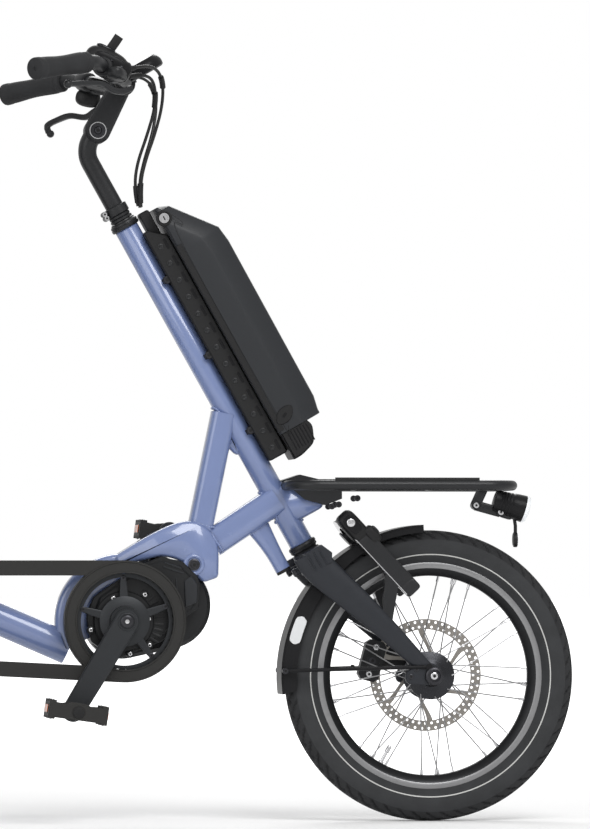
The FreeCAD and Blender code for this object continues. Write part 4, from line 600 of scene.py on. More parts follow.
# Finishes
@dataclass(frozen=True)
class Finish:
    """A finish: its colour, roughness and the grain that all of its kind share."""

    name: str
    colour: tuple[float, float, float]
    roughness: float = 0.5

    def material(self) -> bpy.types.Material:
        """The material of this finish, made once."""
        known = bpy.data.materials.get(self.name)
        if known:
            return known
        made = bpy.data.materials.new(self.name)
        made.diffuse_color = opaque(self.colour)
        self.build(Graph(made))
        return made

    def build(self, graph: Graph) -> None:
        """Builds a plain finish with soft variation of colour and gloss."""
        cloud = graph.noise(35.0)
        graph.set(Base_Color=graph.blend(cloud, opaque(self.colour, 0.93), opaque(self.colour, 1.07)),
                  Roughness=self.roughness + (cloud - 0.5) * 0.08)


@dataclass(frozen=True)
class GlossPaint(Finish):
    """Sprayed paint under clear lacquer, with the faint ripple of sprayed coats."""

    coat: float = 1.0

    def build(self, graph: Graph) -> None:
        """Colour with slow variation, a fine ripple and a clear coat."""
        cloud, ripple = graph.noise(9.0, 2.0), graph.noise(420.0, 2.0)
        graph.set(Base_Color=graph.blend(cloud, opaque(self.colour, 0.95), opaque(self.colour, 1.05)),
                  Roughness=self.roughness + (graph.noise(60.0) - 0.5) * 0.06,
                  Coat_Weight=self.coat, Coat_Roughness=0.06, Specular_IOR_Level=0.5)
        graph.bump(ripple, 0.00004, 0.6)


@dataclass(frozen=True)
class PowderCoat(Finish):
    """Satin powder coat: an orange-peel grain and slightly uneven gloss."""

    grain: float = 900.0
    depth: float = 0.00009

    def build(self, graph: Graph) -> None:
        """Colour variation, grain bump and cloudy gloss."""
        cloud, grain = graph.noise(24.0), graph.noise(self.grain, 2.0)
        graph.set(Base_Color=graph.blend(cloud, opaque(self.colour, 0.9), opaque(self.colour, 1.1)),
                  Roughness=self.roughness + (cloud - 0.5) * 0.12)
        graph.bump(grain, self.depth, 0.8)


@dataclass(frozen=True)
class Moulded(Finish):
    """Moulded plastic with a fine spark-eroded texture."""

    grain: float = 1400.0
    depth: float = 0.00006

    def build(self, graph: Graph) -> None:
        """Two scales of grain in bump, and gloss that follows the finer one."""
        fine, broad = graph.noise(self.grain, 3.0), graph.noise(18.0)
        graph.set(Base_Color=graph.blend(broad, opaque(self.colour, 0.92), opaque(self.colour, 1.08)),
                  Roughness=self.roughness + (fine - 0.5) * 0.16)
        graph.bump(fine, self.depth)


@dataclass(frozen=True)
class Rubber(Finish):
    """Dull rubber with dusty variation."""

    def build(self, graph: Graph) -> None:
        """Dusty clouds over a fine matt grain."""
        dust, fine = graph.noise(28.0, 5.0), graph.noise(1100.0, 2.0)
        graph.set(Base_Color=graph.blend(dust.above(0.5, 0.3), opaque(self.colour, 0.82), opaque(self.colour, 1.18)),
                  Roughness=self.roughness + (dust - 0.5) * 0.1)
        graph.bump(fine, 0.00012, 0.7)


@dataclass(frozen=True)
class Metal(Finish):
    """Bare or anodised metal, with a fine grain."""

    metallic: float = 1.0
    grain: float = 500.0

    def build(self, graph: Graph) -> None:
        """Grain in gloss and bump over even colour."""
        brushed, cloud = graph.noise(self.grain, 3.0), graph.noise(30.0)
        graph.set(Base_Color=graph.blend(cloud, opaque(self.colour, 0.93), opaque(self.colour, 1.07)),
                  Metallic=self.metallic, Roughness=self.roughness + (brushed - 0.5) * 0.14)
        graph.bump(brushed, 0.00003, 0.7)


@dataclass(frozen=True)
class Turned(Finish):
    """Metal turned on a lathe about a cross axis: fine rings round a hub."""

    hub: tuple[float, float, float] = (0.0, 0.0, 0.0)
    pitch: float = 0.0005
    metallic: float = 1.0

    def build(self, graph: Graph) -> None:
        """Rings by the distance from the hub in the side view."""
        x, _, z = graph.axes()
        across, up = x - self.hub[0], z - self.hub[2]
        distance = (across * across + up * up).join("SQRT")
        rings = (distance * (TAU / self.pitch)).sine() * 0.5 + 0.5
        cloud = graph.noise(120.0)
        graph.set(Base_Color=graph.blend(cloud, opaque(self.colour, 0.88), opaque(self.colour, 1.08)),
                  Metallic=self.metallic, Roughness=self.roughness + (rings * cloud) * 0.12)
        graph.bump(rings, 0.00002, 0.6)


@dataclass(frozen=True)
class Glow(Finish):
    """A clear or coloured lens with a weak emission: a painted glow that stands in for the light it sends back."""

    glow: float = 0.0
    cell: float = 0.0025

    def build(self, graph: Graph) -> None:
        """A lens with moulded cells in its bump, and a painted glow by emission."""
        _, y, z = graph.axes()
        cells = ((y * (TAU / self.cell)).sine() * (z * (TAU / self.cell)).sine()) * 0.5 + 0.5
        # The emission set here is painted light: a glow standing in for light the lens sends back.
        graph.set(Base_Color=graph.blend(cells, opaque(self.colour, 0.8), opaque(self.colour, 1.15)),
                  Roughness=self.roughness, Coat_Weight=1.0, Coat_Roughness=0.03,
                  Emission_Color=opaque(self.colour), Emission_Strength=self.glow)
        graph.bump(cells, 0.0003, 0.7)


@dataclass(frozen=True)
class Woven(Finish):
    """Coarse woven upholstery: a basket weave with fibre fuzz."""

    thread: float = 0.0022
    light: tuple[float, float, float] = (0.16, 0.165, 0.18)

    def build(self, graph: Graph) -> None:
        """Warp and weft as crossed sines on the cushion's own metres, with noise for the fibres."""
        x, y, z = graph.axes()
        along, across = (x * 0.8 + z) * (TAU / self.thread), y * (TAU / self.thread)
        weave = (along.sine() * across.sine()) * 0.5 + 0.5
        fibre, cloud = graph.noise(1800.0, 4.0), graph.noise(14.0, 4.0)
        tone = weave * 0.5 + fibre * 0.5
        shade = graph.blend(tone.above(0.5, 0.35), opaque(self.colour, 0.8), opaque(self.light))
        graph.set(Base_Color=graph.blend(cloud * 0.5, shade, opaque(self.colour)),
                  Roughness=self.roughness, Sheen_Weight=0.25, Sheen_Roughness=0.5)
        graph.bump(weave * 0.7 + fibre * 0.5, 0.0007, 0.8)


@dataclass(frozen=True)
class QuietGloss(Finish):
    """A dark plastic whose shine stays low where it is seen along its face."""

    shine: float = 0.10

    def build(self, graph: Graph) -> None:
        """The plain finish with a weaker reflection."""
        super().build(graph)
        graph.set(Specular_IOR_Level=self.shine)


PAINT = GlossPaint("lavender_lacquer", (0.152, 0.203, 0.385), 0.26)
SATIN_BLACK = PowderCoat("satin_black_coat", (0.014, 0.0145, 0.016), 0.36)
FORK_BLACK = PowderCoat("fork_black_coat", (0.017, 0.019, 0.024), 0.42)
GUARD_BLACK = Moulded("guard_black_plastic", (0.019, 0.0185, 0.0175), 0.55)
CASE_BLACK = Moulded("battery_case_grain", (0.018, 0.0195, 0.0225), 0.42)
DOCK_BLACK = Moulded("dock_black_plastic", (0.007, 0.007, 0.0075), 0.5)
CAST_BLACK = PowderCoat("cast_black_casing", (0.008, 0.0085, 0.0095), 0.4, 600.0, 0.00012)
CRANK_BLACK = Metal("crank_black_anodised", (0.032, 0.034, 0.037), 0.42, 0.5)
RIM_BLACK = Metal("rim_black_anodised", (0.020, 0.0205, 0.022), 0.35, 0.6)
HUB_BLACK = Metal("hub_black_anodised", (0.035, 0.036, 0.040), 0.28, 0.8)
SHINY_PLASTIC = QuietGloss("mudguard_gloss_plastic", (0.014, 0.014, 0.015), 0.30)
GRIP_RUBBER = Rubber("grip_rubber", (0.021, 0.0215, 0.023), 0.78)
SOFT_BLACK = Rubber("soft_black_rubber", (0.010, 0.010, 0.010), 0.6)
TYRE_RUBBER = Rubber("tyre_rubber", (0.028, 0.029, 0.031), 0.72)
TREAD_RUBBER = Rubber("tread_rubber", (0.021, 0.0215, 0.023), 0.8)
BAND_GREY = Finish("sidewall_band", (0.50, 0.50, 0.485), 0.4)
STEEL = Metal("bright_steel", (0.62, 0.62, 0.63), 0.24)
SPOKE_STEEL = Metal("spoke_steel", (0.27, 0.27, 0.275), 0.34)
DARK_STEEL = Metal("blackened_steel", (0.05, 0.05, 0.055), 0.35)
# Near-black for bolt recesses and the keyhole: painted shade standing in for the holes.
RECESS_SHADE = Finish("painted_recess_shade", (0.004, 0.004, 0.004), 0.6)
FRONT_TURNED = Turned("machined_rim_side", (0.28, 0.28, 0.285), 0.34, tuple(FRONT_HUB), 0.0007, 0.85)
REAR_TURNED = Turned("machined_rear_rim_side", (0.28, 0.28, 0.285), 0.34, tuple(REAR_HUB), 0.0007, 0.85)
DISC_STEEL = Turned("ground_disc_steel", (0.33, 0.31, 0.285), 0.36, tuple(FRONT_HUB), 0.0004, 0.9)
# The lenses and reflectors below glow by emission: a painted glow, not lit lamps.
AMBER = Glow("amber_reflector", (0.62, 0.13, 0.012), 0.18, 0.15)
RED_LENS = Glow("red_tail_lens", (0.42, 0.012, 0.010), 0.16, 0.1)
CLEAR_LENS = Glow("clear_lamp_lens", (0.72, 0.74, 0.76), 0.08, 0.25)
SILVER = Glow("silver_reflector", (0.60, 0.61, 0.62), 0.14, 0.12, 0.0016)
SCREEN = Finish("display_glass", (0.006, 0.007, 0.009), 0.07)
SEAT_CLOTH = Woven("seat_weave", (0.028, 0.029, 0.033), 0.85)
SEAT_EDGE = Rubber("seat_piping", (0.018, 0.018, 0.019), 0.55)
STITCH = Rubber("seat_thread", (0.20, 0.20, 0.21), 0.6)
CABLE_SHEATH = Finish("cable_sheath", (0.012, 0.012, 0.012), 0.32)

CAD_FINISHES: dict[str, Finish] = {node: finish for finish, nodes in {
    PAINT: "frame_front frame_rear axle_housing_left axle_housing_right",
    SATIN_BLACK: "headset_lower headset_upper rear_carrier front_rack rack_gusset lamp_bracket ring_lock riser_post "
                 "stem handlebar brake_lever_left brake_lever_right seat_frame",
    SHINY_PLASTIC: "rear_mudguard_left rear_mudguard_right headlamp front_mudguard display",
    CAST_BLACK: "motor_unit differential front_caliper",
    DOCK_BLACK: "battery_dock gear_lever pedal_right pedal_left",
    CASE_BLACK: "battery charge_port_cover",
    GUARD_BLACK: "chain_guard rear_chain_case",
    CRANK_BLACK: "crank_right crank_left chainring",
    RIM_BLACK: "front_wheel rear_wheel_left rear_wheel_right",
    TYRE_RUBBER: "front_tyre rear_tyre_left rear_tyre_right",
    GRIP_RUBBER: "grip_left grip_right",
    CABLE_SHEATH: "cable_left cable_right",
    SEAT_CLOTH: "seat_cushion backrest_pad",
    SOFT_BLACK: "frame_stub_plug",
    HUB_BLACK: "gear_hub",
    FORK_BLACK: "fork",
    DARK_STEEL: "front_axle",
    STEEL: "battery_lock",
    DISC_STEEL: "front_disc",
    RED_LENS: "tail_lamp",
    CLEAR_LENS: "front_reflector",
}.items() for node in nodes.split()}


# Wheels
@dataclass(frozen=True)
class WheelPlace:
    """One wheel's place and sizes, and the CAD nodes that its pieces stand for."""

    name: str
    body: Body
    hub: tuple[float, float, float]
    tyre_node: str
    wheel_node: str
    tyre_r: float
    seat_r: float
    flange_r: float
    flange_y: float
    barrel_r: float
    half_hub: float
    steps: int


FRONT_WHEEL = WheelPlace("front", Body.FRONT_WHEEL, tuple(FRONT_HUB), "front_tyre", "front_wheel",
                         0.2325, 0.1775, 0.038, 0.025, 0.021, 0.0495, 12)
REAR_WHEELS = [
    WheelPlace("rear_left", Body.REAR_LEFT_WHEEL, (REAR_HUB[0], TRACK_HALF, REAR_HUB[2]), "rear_tyre_left",
               "rear_wheel_left", 0.258, 0.203, 0.036, 0.023, 0.024, 0.033, 8),
    WheelPlace("rear_right", Body.REAR_RIGHT_WHEEL, (REAR_HUB[0], -TRACK_HALF, REAR_HUB[2]), "rear_tyre_right",
               "rear_wheel_right", 0.258, 0.203, 0.036, 0.023, 0.024, 0.033, 8)]


@dataclass
class Tyre:
    """A cross-cut city tyre: rounded section, centre rib and slanted shoulder grooves."""

    place: WheelPlace
    half_width: float = 0.0275
    bead_half: float = 0.0118
    widest_share: float = 0.52
    pitches: int = 60
    groove_depth: float = 0.0028
    groove_share: float = 0.24
    slant: float = 1.5
    rib_share: float = 0.16
    band_in: float = 0.0155
    band_out: float = 0.0172
    band_columns: int = 180
    shoulder_angle: float = math.radians(66.0)
    bead_angle: float = math.radians(122.0)

    def section(self, angle: Array, out: float = 0.0) -> Array:
        """The outside by an angle from straight out: y = H s(sin a), r = c + k s(cos a), s(x) = x |x|^-0.1.

        Args:
            angle: Angles from radially outwards, positive to the left.
            out: How far outside the section the points lie.

        Returns:
            Pairs of radius and y.
        """
        height = self.place.tyre_r - self.place.seat_r
        centre = self.place.seat_r + self.widest_share * height
        sine, cosine = np.sin(angle), np.cos(angle)
        outer = (1 - self.widest_share) * height
        inner = self.widest_share * height
        reach = np.where(cosine > 0, outer, inner) + out
        r = centre + reach * np.sign(cosine) * np.abs(cosine) ** 0.9
        y = (self.half_width + out) * np.sign(sine) * np.abs(sine) ** 0.9
        return np.stack([r, y], axis=-1)

    def ring(self, section: Array, columns: int) -> Array:
        """The section, sections by 2 or sections by columns by 2, carried round the hub."""
        shape = section if section.ndim == 3 else section[:, None]
        return round_hub(np.array(self.place.hub), shape[..., 0], whole_turn(columns)) + shape[..., 1:2] * LEFT

    def build(self) -> bpy.types.Object:
        """Makes the tyre."""
        shell = Shell()
        columns = self.pitches * self.place.steps
        reach, edge = self.bead_angle, self.shoulder_angle
        half = np.concatenate([[0.13], np.linspace(0.16, edge, 13)])
        angle = np.concatenate([-half[::-1], [0.0], half])
        base = np.repeat(self.section(angle)[:, None], columns, axis=1)
        share = np.abs(angle)[:, None] / edge
        pitch = np.linspace(0.0, self.pitches, columns, endpoint=False)[None]
        phase = np.mod(pitch + self.slant * share + np.where(angle[:, None] > 0, 0.5, 0.0), 1.0)
        groove = (phase < self.groove_share) & (share > self.rib_share)
        second = (np.abs(share - 0.47) < 0.05) & (phase < 0.6)
        depth = self.groove_depth * np.where(groove | second, 1.0, 0.0) * np.clip((1.02 - share) * 6, 0.25, 1.0)
        base[..., 0] -= depth * np.cos(angle)[:, None]
        base[..., 1] -= depth * np.sin(angle)[:, None]
        shell.grid(self.ring(base, columns), TREAD_RUBBER, capped=False)
        for side in (1, -1):
            wall = self.section(side * np.linspace(edge, reach, 14))
            bead = np.array([[self.place.seat_r, side * self.bead_half], [self.place.seat_r, 0.0]])
            shell.grid(self.ring(np.concatenate([wall, bead]), columns), TYRE_RUBBER, capped=False)
            self.band(shell, side)
        return shell.object(f"tyre_{self.place.name}", self.place.body, "tyre", [self.place.tyre_node], sharp=30.0)

    def band(self, shell: Shell, side: int) -> None:
        """The thin pale ring on one side wall, by the angles at which the section has its radii."""
        height = self.place.tyre_r - self.place.seat_r
        centre = self.widest_share * height
        cosines = [((centre - reach) / centre) ** (1 / 0.9) for reach in (self.band_in, self.band_out)]
        low, high = (math.pi - math.acos(value) for value in cosines)
        outside = self.section(side * np.array([low, high]), 0.00035)
        inside = self.section(side * np.array([high, low]), -0.0005)
        shell.grid(self.ring(np.concatenate([outside, inside]), self.band_columns), BAND_GREY, closed_rows=True)


@dataclass
class LacedWheel:
    """A black double-walled rim with ground side walls, steel spokes and a flanged hub."""

    place: WheelPlace
    rim_depth: float = 0.018
    bed_half: float = 0.006
    wall_half: float = 0.0149
    wall_reach: float = 0.006
    spokes: int = 36
    spoke_r: float = 0.00105
    lean: float = math.radians(26.0)
    nipple_r: float = 0.0021
    nipple_length: float = 0.013
    flange_half: float = 0.0018
    valve_turn: float = math.radians(241.0)

    def rim(self, shell: Shell) -> None:
        """The rim, its ground brake bands and the spoke eyelets."""
        hub, seat = np.array(self.place.hub), self.place.seat_r
        bed, wall = seat - self.rim_depth, self.wall_half
        half = [(bed, 0.0), (bed, self.bed_half * 0.8), (bed + 0.0015, self.bed_half + 0.001),
                (seat - self.wall_reach - 0.002, wall - 0.0012), (seat - self.wall_reach, wall),
                (seat + self.wall_reach - 0.0008, wall), (seat + self.wall_reach, wall - 0.0008),
                (seat + self.wall_reach - 0.0006, wall - 0.0022), (seat, self.bed_half * 1.6)]
        section = half + [(r, -y) for r, y in reversed(half[1:])]
        shell.lathe(section, hub, LEFT, RIM_BLACK, 144, ring=True)
        ground = FRONT_TURNED if self.place.name == "front" else REAR_TURNED
        for side in (1, -1):
            edge = side * wall
            low, high, out = seat - self.wall_reach, seat + self.wall_reach, edge + side * 0.0003
            shell.lathe([(low + 0.0004, edge), (low + 0.0008, out), (high - 0.0018, out), (high - 0.0014, edge),
                         (seat, edge - side * 0.001)],
                        hub, LEFT, ground, 144, ring=True)

    def ends(self) -> tuple[Array, Array]:
        """Each spoke's place on its flange and at the rim, as in the CAD wheel."""
        number = np.arange(self.spokes)
        turn = TAU * number / self.spokes
        side = np.where(number % 2, 1.0, -1.0)
        lean = np.where(number % 4 < 2, self.lean, -self.lean)
        inner, outer = self.place.flange_r - 0.0045, self.place.seat_r - self.rim_depth + 0.004
        seat_y = side * (self.place.flange_y + self.flange_half)
        hub, seat_y = np.array(self.place.hub), seat_y + side * self.flange_half * np.sign(lean)
        start = round_hub(hub, inner, turn) + seat_y[:, None] * LEFT
        end = round_hub(hub, outer, turn + lean) + side[:, None] * 0.0012 * LEFT
        return start, end

    def bars(self, shell: Shell, start: Array, end: Array, radius: float, finish: Finish, sides: int = 8) -> None:
        """Many round bars at once: p(k, t, u) = start_k + t (end_k - start_k) + r (cos u e1_k + sin u e2_k)."""
        run = unit(end - start)
        first = unit(np.cross(run, LEFT + 0 * run))
        second = np.cross(run, first)
        angle = np.linspace(0.0, TAU, sides + 1)
        ring = np.cos(angle)[None, :, None] * first[:, None] + np.sin(angle)[None, :, None] * second[:, None]
        share = np.array([0.0, 0.0, 1.0, 1.0])[None, :, None, None]
        scale = np.array([0.05, 1.0, 1.0, 0.05])[None, :, None, None] * radius
        centre = start[:, None, None] + share * (end - start)[:, None, None]
        shell.tiles(centre + scale * ring[:, None], finish)

    def laced(self, shell: Shell) -> None:
        """Spokes with their nipples at the rim and their heads on the flanges."""
        start, end = self.ends()
        self.bars(shell, start, end, self.spoke_r, SPOKE_STEEL)
        run = unit(end - start)
        self.bars(shell, end - run * self.nipple_length, end + run * 0.002, self.nipple_r, STEEL)
        out = LEFT * np.sign(start[:, 1:2] - self.place.hub[1])
        self.bars(shell, start - out * 0.001, start + out * 0.0012, 0.0022, STEEL)

    def hub(self, shell: Shell) -> None:
        """The hub's barrel between its two dished flanges, and its end caps."""
        place = self.place
        y, t, r = place.flange_y, 2 * self.flange_half, place.flange_r
        half = [(place.barrel_r * 0.82, 0.0), (place.barrel_r * 0.84, y * 0.45), (place.barrel_r, y - 0.003),
                (r * 0.8, y - 0.0004), (r - 0.0008, y), (r, y + 0.0006), (r, y + t - 0.0006), (r - 0.0008, y + t),
                (r * 0.68, y + t), (r * 0.64, y + t + 0.001), (place.barrel_r * 0.85, y + t + 0.004),
                (0.0145, place.half_hub - 0.004), (0.0140, place.half_hub - 0.0005), (0.0134, place.half_hub),
                (0.0055, place.half_hub)]
        full = [(r0, -y0) for r0, y0 in reversed(half[1:])] + half
        shell.lathe(full, np.array(place.hub), LEFT, HUB_BLACK, 72, ring=place.name == "front")

    def valve(self, shell: Shell) -> None:
        """The valve at the rim, with its cap and lock ring."""
        out = rays(self.valve_turn)
        root = np.array(self.place.hub) + out * (self.place.seat_r - self.rim_depth)
        shell.lathe([(0.0042, -0.001), (0.0042, 0.003), (0.0028, 0.0034), (0.0026, 0.019), (0.0039, 0.0195),
                     (0.0039, 0.028), (0.0026, 0.031), (0.0008, 0.0315)], root, -out, STEEL, 20)

    def build(self) -> bpy.types.Object:
        """Makes the wheel without its tyre."""
        shell = Shell()
        self.rim(shell)
        self.laced(shell)
        self.hub(shell)
        self.valve(shell)
        if self.place.name != "front":
            self.drive_end(shell)
        return shell.object(f"wheel_{self.place.name}", self.place.body, "wheel_black", [self.place.wheel_node],
                            sharp=42.0)

    def drive_end(self, shell: Shell) -> None:
        """The half shaft on the hub's inner side, and the dust cap outside."""
        side = math.copysign(1.0, self.place.hub[1])
        hub = np.array(self.place.hub)
        shell.rod(hub - LEFT * side * 0.101, hub, 0.0085, DARK_STEEL)
        shell.lathe([(0.016, 0.030), (0.016, 0.0325), (0.013, 0.0328), (0.011, 0.0318), (0.004, 0.0318)],
                    hub, LEFT * side, SHINY_PLASTIC, 40)


@dataclass
class BrakeDisc:
    """The drilled front disc: two staggered rings of holes on curved arms round a bolted centre."""

    outer_r: float = 0.090
    inner_r: float = 0.0735
    low: float = 0.035
    high: float = 0.037
    cells: int = 48
    hole_r: float = 0.00215
    arms: int = 6
    arm_half: float = 0.0036
    arm_curl: float = 0.62
    centre_r: float = 0.0235
    bore_r: float = 0.0142

    def drilled(self, shell: Shell, inner: float, outer: float, shift: float) -> None:
        """One ring of cells, each an annulus piece with a round hole: the hole's circle joined to the cell's edge.

        Args:
            shell: Where the faces go.
            inner: The ring's inner radius.
            outer: Its outer radius.
            shift: How far round its cells are moved, as a share of a cell.
        """
        corner = np.linspace(-1.0, 1.0, 5)
        edge_a = np.concatenate([corner[:-1], np.ones(4), -corner[:-1], -np.ones(4)])
        edge_r = np.concatenate([-np.ones(4), corner[:-1], np.ones(4), -corner[:-1]])
        middle, half = (inner + outer) / 2, (outer - inner) / 2
        step = TAU / self.cells
        turn = (np.arange(self.cells) + shift)[:, None] * step
        spread = np.arctan2(edge_r, edge_a)
        border = (middle + edge_r * half, turn + edge_a * step / 2)
        hole = (middle + self.hole_r * np.sin(spread), turn + self.hole_r * np.cos(spread) / middle)
        layers = [(border, self.low), (hole, self.low), (hole, self.high), (border, self.high)]
        stack = np.stack([round_hub(FRONT_HUB, radius, angle, y) for (radius, angle), y in layers], axis=1)
        shell.tiles(np.concatenate([stack, stack[:, :, :1]], axis=2), DISC_STEEL)

    def build(self) -> bpy.types.Object:
        """Makes the disc with its arms, centre and bolts."""
        shell = Shell()
        middle = (self.inner_r + self.outer_r) / 2
        self.drilled(shell, self.inner_r, middle, 0.0)
        self.drilled(shell, middle, self.outer_r, 0.5)
        for radius in (self.inner_r, self.outer_r):
            wall = [round_hub(FRONT_HUB, radius, whole_turn(self.cells * 4), y) for y in (self.low, self.high)]
            shell.grid(np.stack(wall), DISC_STEEL, capped=False)
        y = (self.low + self.high) / 2
        half = (self.high - self.low) / 2
        share = np.linspace(0.0, 1.0, 14)
        radius = self.centre_r - 0.004 + (self.inner_r + 0.001 - self.centre_r + 0.004) * share
        width = self.arm_half * (1.35 - 0.6 * np.sin(share * math.pi))
        section = np.stack([np.stack([width * a, np.full_like(width, half * 0.96 * b)], -1)
                            for a, b in ((-1, -1), (1, -1), (1, 1), (-1, 1))], axis=1)
        for index in range(self.arms):
            turn = TAU * index / self.arms + self.arm_curl * np.sin(share * math.pi / 2)
            shell.grid(swept(round_hub(FRONT_HUB, radius, turn, y), section, LEFT), DISC_STEEL)
        shell.lathe([(self.bore_r, self.low), (self.centre_r, self.low), (self.centre_r, self.high),
                     (self.bore_r, self.high)], FRONT_HUB, LEFT, DISC_STEEL, 60, ring=True)
        for index in range(self.arms):
            spot = round_hub(FRONT_HUB, self.centre_r - 0.0048, TAU * (index + 0.5) / self.arms, self.high)
            shell.bolt(spot, LEFT, 0.0033, 0.0016, DARK_STEEL)
        return shell.object("brake_disc", Body.FRONT_WHEEL, "disc_steel", ["front_disc"], sharp=30.0)


# Frame
def ringed(plane: Plane, half_a: float, half_b: float, bead: float, shell: Shell, finish: Finish,
           power: float = 3.0, ripples: int = 40, drape: Callable[[Array], Array] | None = None) -> None:
    """A weld bead round a section: a ring whose radius is r (1 + 0.16 cos(n u)), laid on what it joins.

    Args:
        plane: The plane of the joint, its origin at the middle of the section.
        half_a: The section's half width along the plane's across.
        half_b: Its half height along the plane's up.
        bead: The bead's radius r.
        shell: Where the faces go.
        finish: The bead's finish.
        power: The section's superellipse power.
        ripples: The number n of ripples.
        drape: Moves the bead's path onto a curved surface.
    """
    flat = oval(half_a, half_b, ripples * 5, power)
    path = plane.place(np.column_stack([flat, np.zeros(len(flat))]))
    if drape:
        path = drape(path)
    radius = bead * (1 + 0.16 * np.cos(np.arange(len(flat)) * TAU / 5))
    shell.tube(path, radius, finish, plane.out + 0.01 * plane.up, 8, closed=True)


def on_round(axis_point: Array, axis: Array, radius: float) -> Callable[[Array], Array]:
    """A function that moves points out or in to a round tube's surface."""
    def drape(points: Array) -> Array:
        """The points moved along their own radius to the surface."""
        along = ((points - axis_point) @ axis)[:, None] * axis
        away = points - axis_point - along
        return axis_point + along + unit(away) * radius
    return drape


@dataclass
class FrontFrame:
    """Head tube, post, lower tube, carrier lug, stub and motor cradle in lacquered welded aluminium."""

    head_r: float = 0.0195
    bore_r: float = 0.0165
    head_length: float = 0.576
    lower_up: float = 0.080
    lower_slope: float = math.radians(33.8)
    lower_length: float = 0.126
    lower_halves: tuple[float, float] = (0.0245, 0.0200)
    lower_width: float = 0.023
    post_up: float = 0.242
    post_half: float = 0.0225
    post_width: float = 0.020
    post_back: float = 0.024
    stub_r: float = 0.011
    stub_back: float = 0.046
    stub_ends: tuple[float, float] = (-0.022, 0.078)
    stub_flare: float = 0.010
    web: tuple[tuple[float, float], ...] = (
        (0.245, -0.012), (0.176, -0.012), (0.172, -0.0195), (0.177, -0.0245), (0.205, -0.0320))
    cradle_length: float = 0.169
    cradle_height: float = 0.094
    cradle_half: float = 0.028
    cradle_shares: tuple[tuple[float, float], ...] = (
        (0.0, 0.43), (0.24, 0.70), (0.45, 0.90), (0.62, 1.02), (0.80, 1.02), (0.96, 0.74), (0.978, 0.45),
        (0.973, 0.072), (0.838, -0.012), (0.769, 0.081), (0.635, 0.358), (0.448, 0.44), (0.25, 0.36), (0.0, 0.24))
    arm_out: float = 0.0985
    arm_in: float = 0.0603
    arm_start: float = math.radians(84.0)
    arm_end: float = math.radians(206.0)
    bead: float = 0.0021

    def foot(self) -> Array:
        """Middle of the lower tube's far end."""
        slope = np.array([math.cos(self.lower_slope), 0.0, math.sin(self.lower_slope)])
        return on_steering(self.lower_up, 0.0) - slope * self.lower_length

    def build(self) -> bpy.types.Object:
        """Makes the welded front frame."""
        shell = Shell()
        length, r = self.head_length, self.head_r
        shell.lathe([(self.bore_r, 0.0), (r - 0.0005, 0.0), (r, 0.0005), (r, length - 0.0005), (r - 0.0005, length),
                     (self.bore_r, length)], HEAD_FOOT, UP, PAINT, 96, ring=True)
        self.tubes(shell)
        self.cradle(shell)
        self.lug(shell)
        return shell.object("welded_front_frame", Body.FRAME, "frame_paint", ["frame_front"], sharp=50.0)

    def tubes(self, shell: Shell) -> None:
        """The lower tube, post, stub and gusset with their beads."""
        foot, head = self.foot(), on_steering(self.lower_up, 0.0)
        deep, slim = self.lower_halves
        shell.bar(straight(head, foot, 12), self.lower_width, np.linspace(deep, slim, 12), PAINT, 64, 3.4)
        top, base = on_steering(self.post_up, -0.0078), foot - WORLD_X * self.post_back
        shell.bar(straight(top, base, 12), self.post_width, self.post_half, PAINT, 64, 3.4)
        rise = np.linspace(*self.stub_ends, 14)
        lean = 0.004 * np.maximum(0.0, rise / self.stub_ends[1]) ** 2
        path = np.array([on_steering(up, -self.stub_back - back) for up, back in zip(rise, lean)])
        flare = self.stub_r + 0.0015 + self.stub_flare * np.clip((rise + 0.005) / 0.083, 0.0, 1.0) ** 1.6
        shell.bar(path, flare, self.stub_r + 0.0005, PAINT, 40, 2.6)
        shell.plate(rounded_outline(self.web, [0.002, 0.002, 0.004, 0.006, 0.01], 5), Plane(HEAD_FOOT, UP, AHEAD),
                    -0.010, 0.010, PAINT, 0.004)
        drape = on_round(HEAD_FOOT, UP, self.head_r + 0.0006)
        run = unit(base - top)
        joint = Plane(on_steering(self.post_up - 0.012, -self.head_r), LEFT, UP)
        ringed(joint, self.post_width, self.post_half * 1.25, self.bead, shell, PAINT, 3.0, 34, drape)
        joint = Plane(on_steering(self.lower_up - 0.004, -self.head_r), LEFT, UP)
        ringed(joint, 0.0188, deep * 1.12, self.bead, shell, PAINT, 3.0, 34, drape)
        post_plane = Plane(base - run * 0.030, LEFT, np.cross(run, LEFT))
        ringed(post_plane, self.post_width + 0.0006, self.post_half + 0.0006, self.bead, shell, PAINT, 3.4, 34)
        back = unit(foot - head)
        low_plane = Plane(foot - back * 0.006, LEFT, np.cross(back, LEFT))
        ringed(low_plane, self.lower_width + 0.0006, slim + 0.0008, self.bead, shell, PAINT, 3.4, 34)

    def cradle(self, shell: Shell) -> None:
        """The cradle plate, pressed with eased edges, its rear arm, bosses and socket bolts."""
        corner = CRANK_AXLE + np.array([-0.012, 0.0, 0.063])
        place = side_plane(corner)
        outline = np.array(self.cradle_shares) * [self.cradle_length, self.cradle_height]
        rounds = [0.004, 0.02, 0.02, 0.02, 0.02, 0.02, 0.012, 0.006, 0.005, 0.012, 0.02, 0.012, 0.02, 0.004]
        half = self.cradle_half
        shell.plate(rounded_outline(outline, rounds, 7), place, -half, half, PAINT, 0.0045)
        angle = np.linspace(self.arm_start, self.arm_end, 60)
        middle, reach = (self.arm_in + self.arm_out) / 2, (self.arm_out - self.arm_in) / 2
        shell.bar(round_hub(CRANK_AXLE, middle, angle), half, reach, PAINT, 48, 5.0)
        bolt = at(-0.381, 0.410)
        for side in (1, -1):
            spot = bolt + LEFT * side * (half - 0.0005)
            shell.lathe([(0.0175, 0.0), (0.0165, 0.002), (0.0135, 0.0032), (0.0118, 0.0026), (0.0108, 0.0012)],
                        spot, LEFT * side, PAINT, 40)
            shell.bolt(spot + LEFT * side * 0.0012, LEFT * side, 0.0095, 0.004, DARK_STEEL)

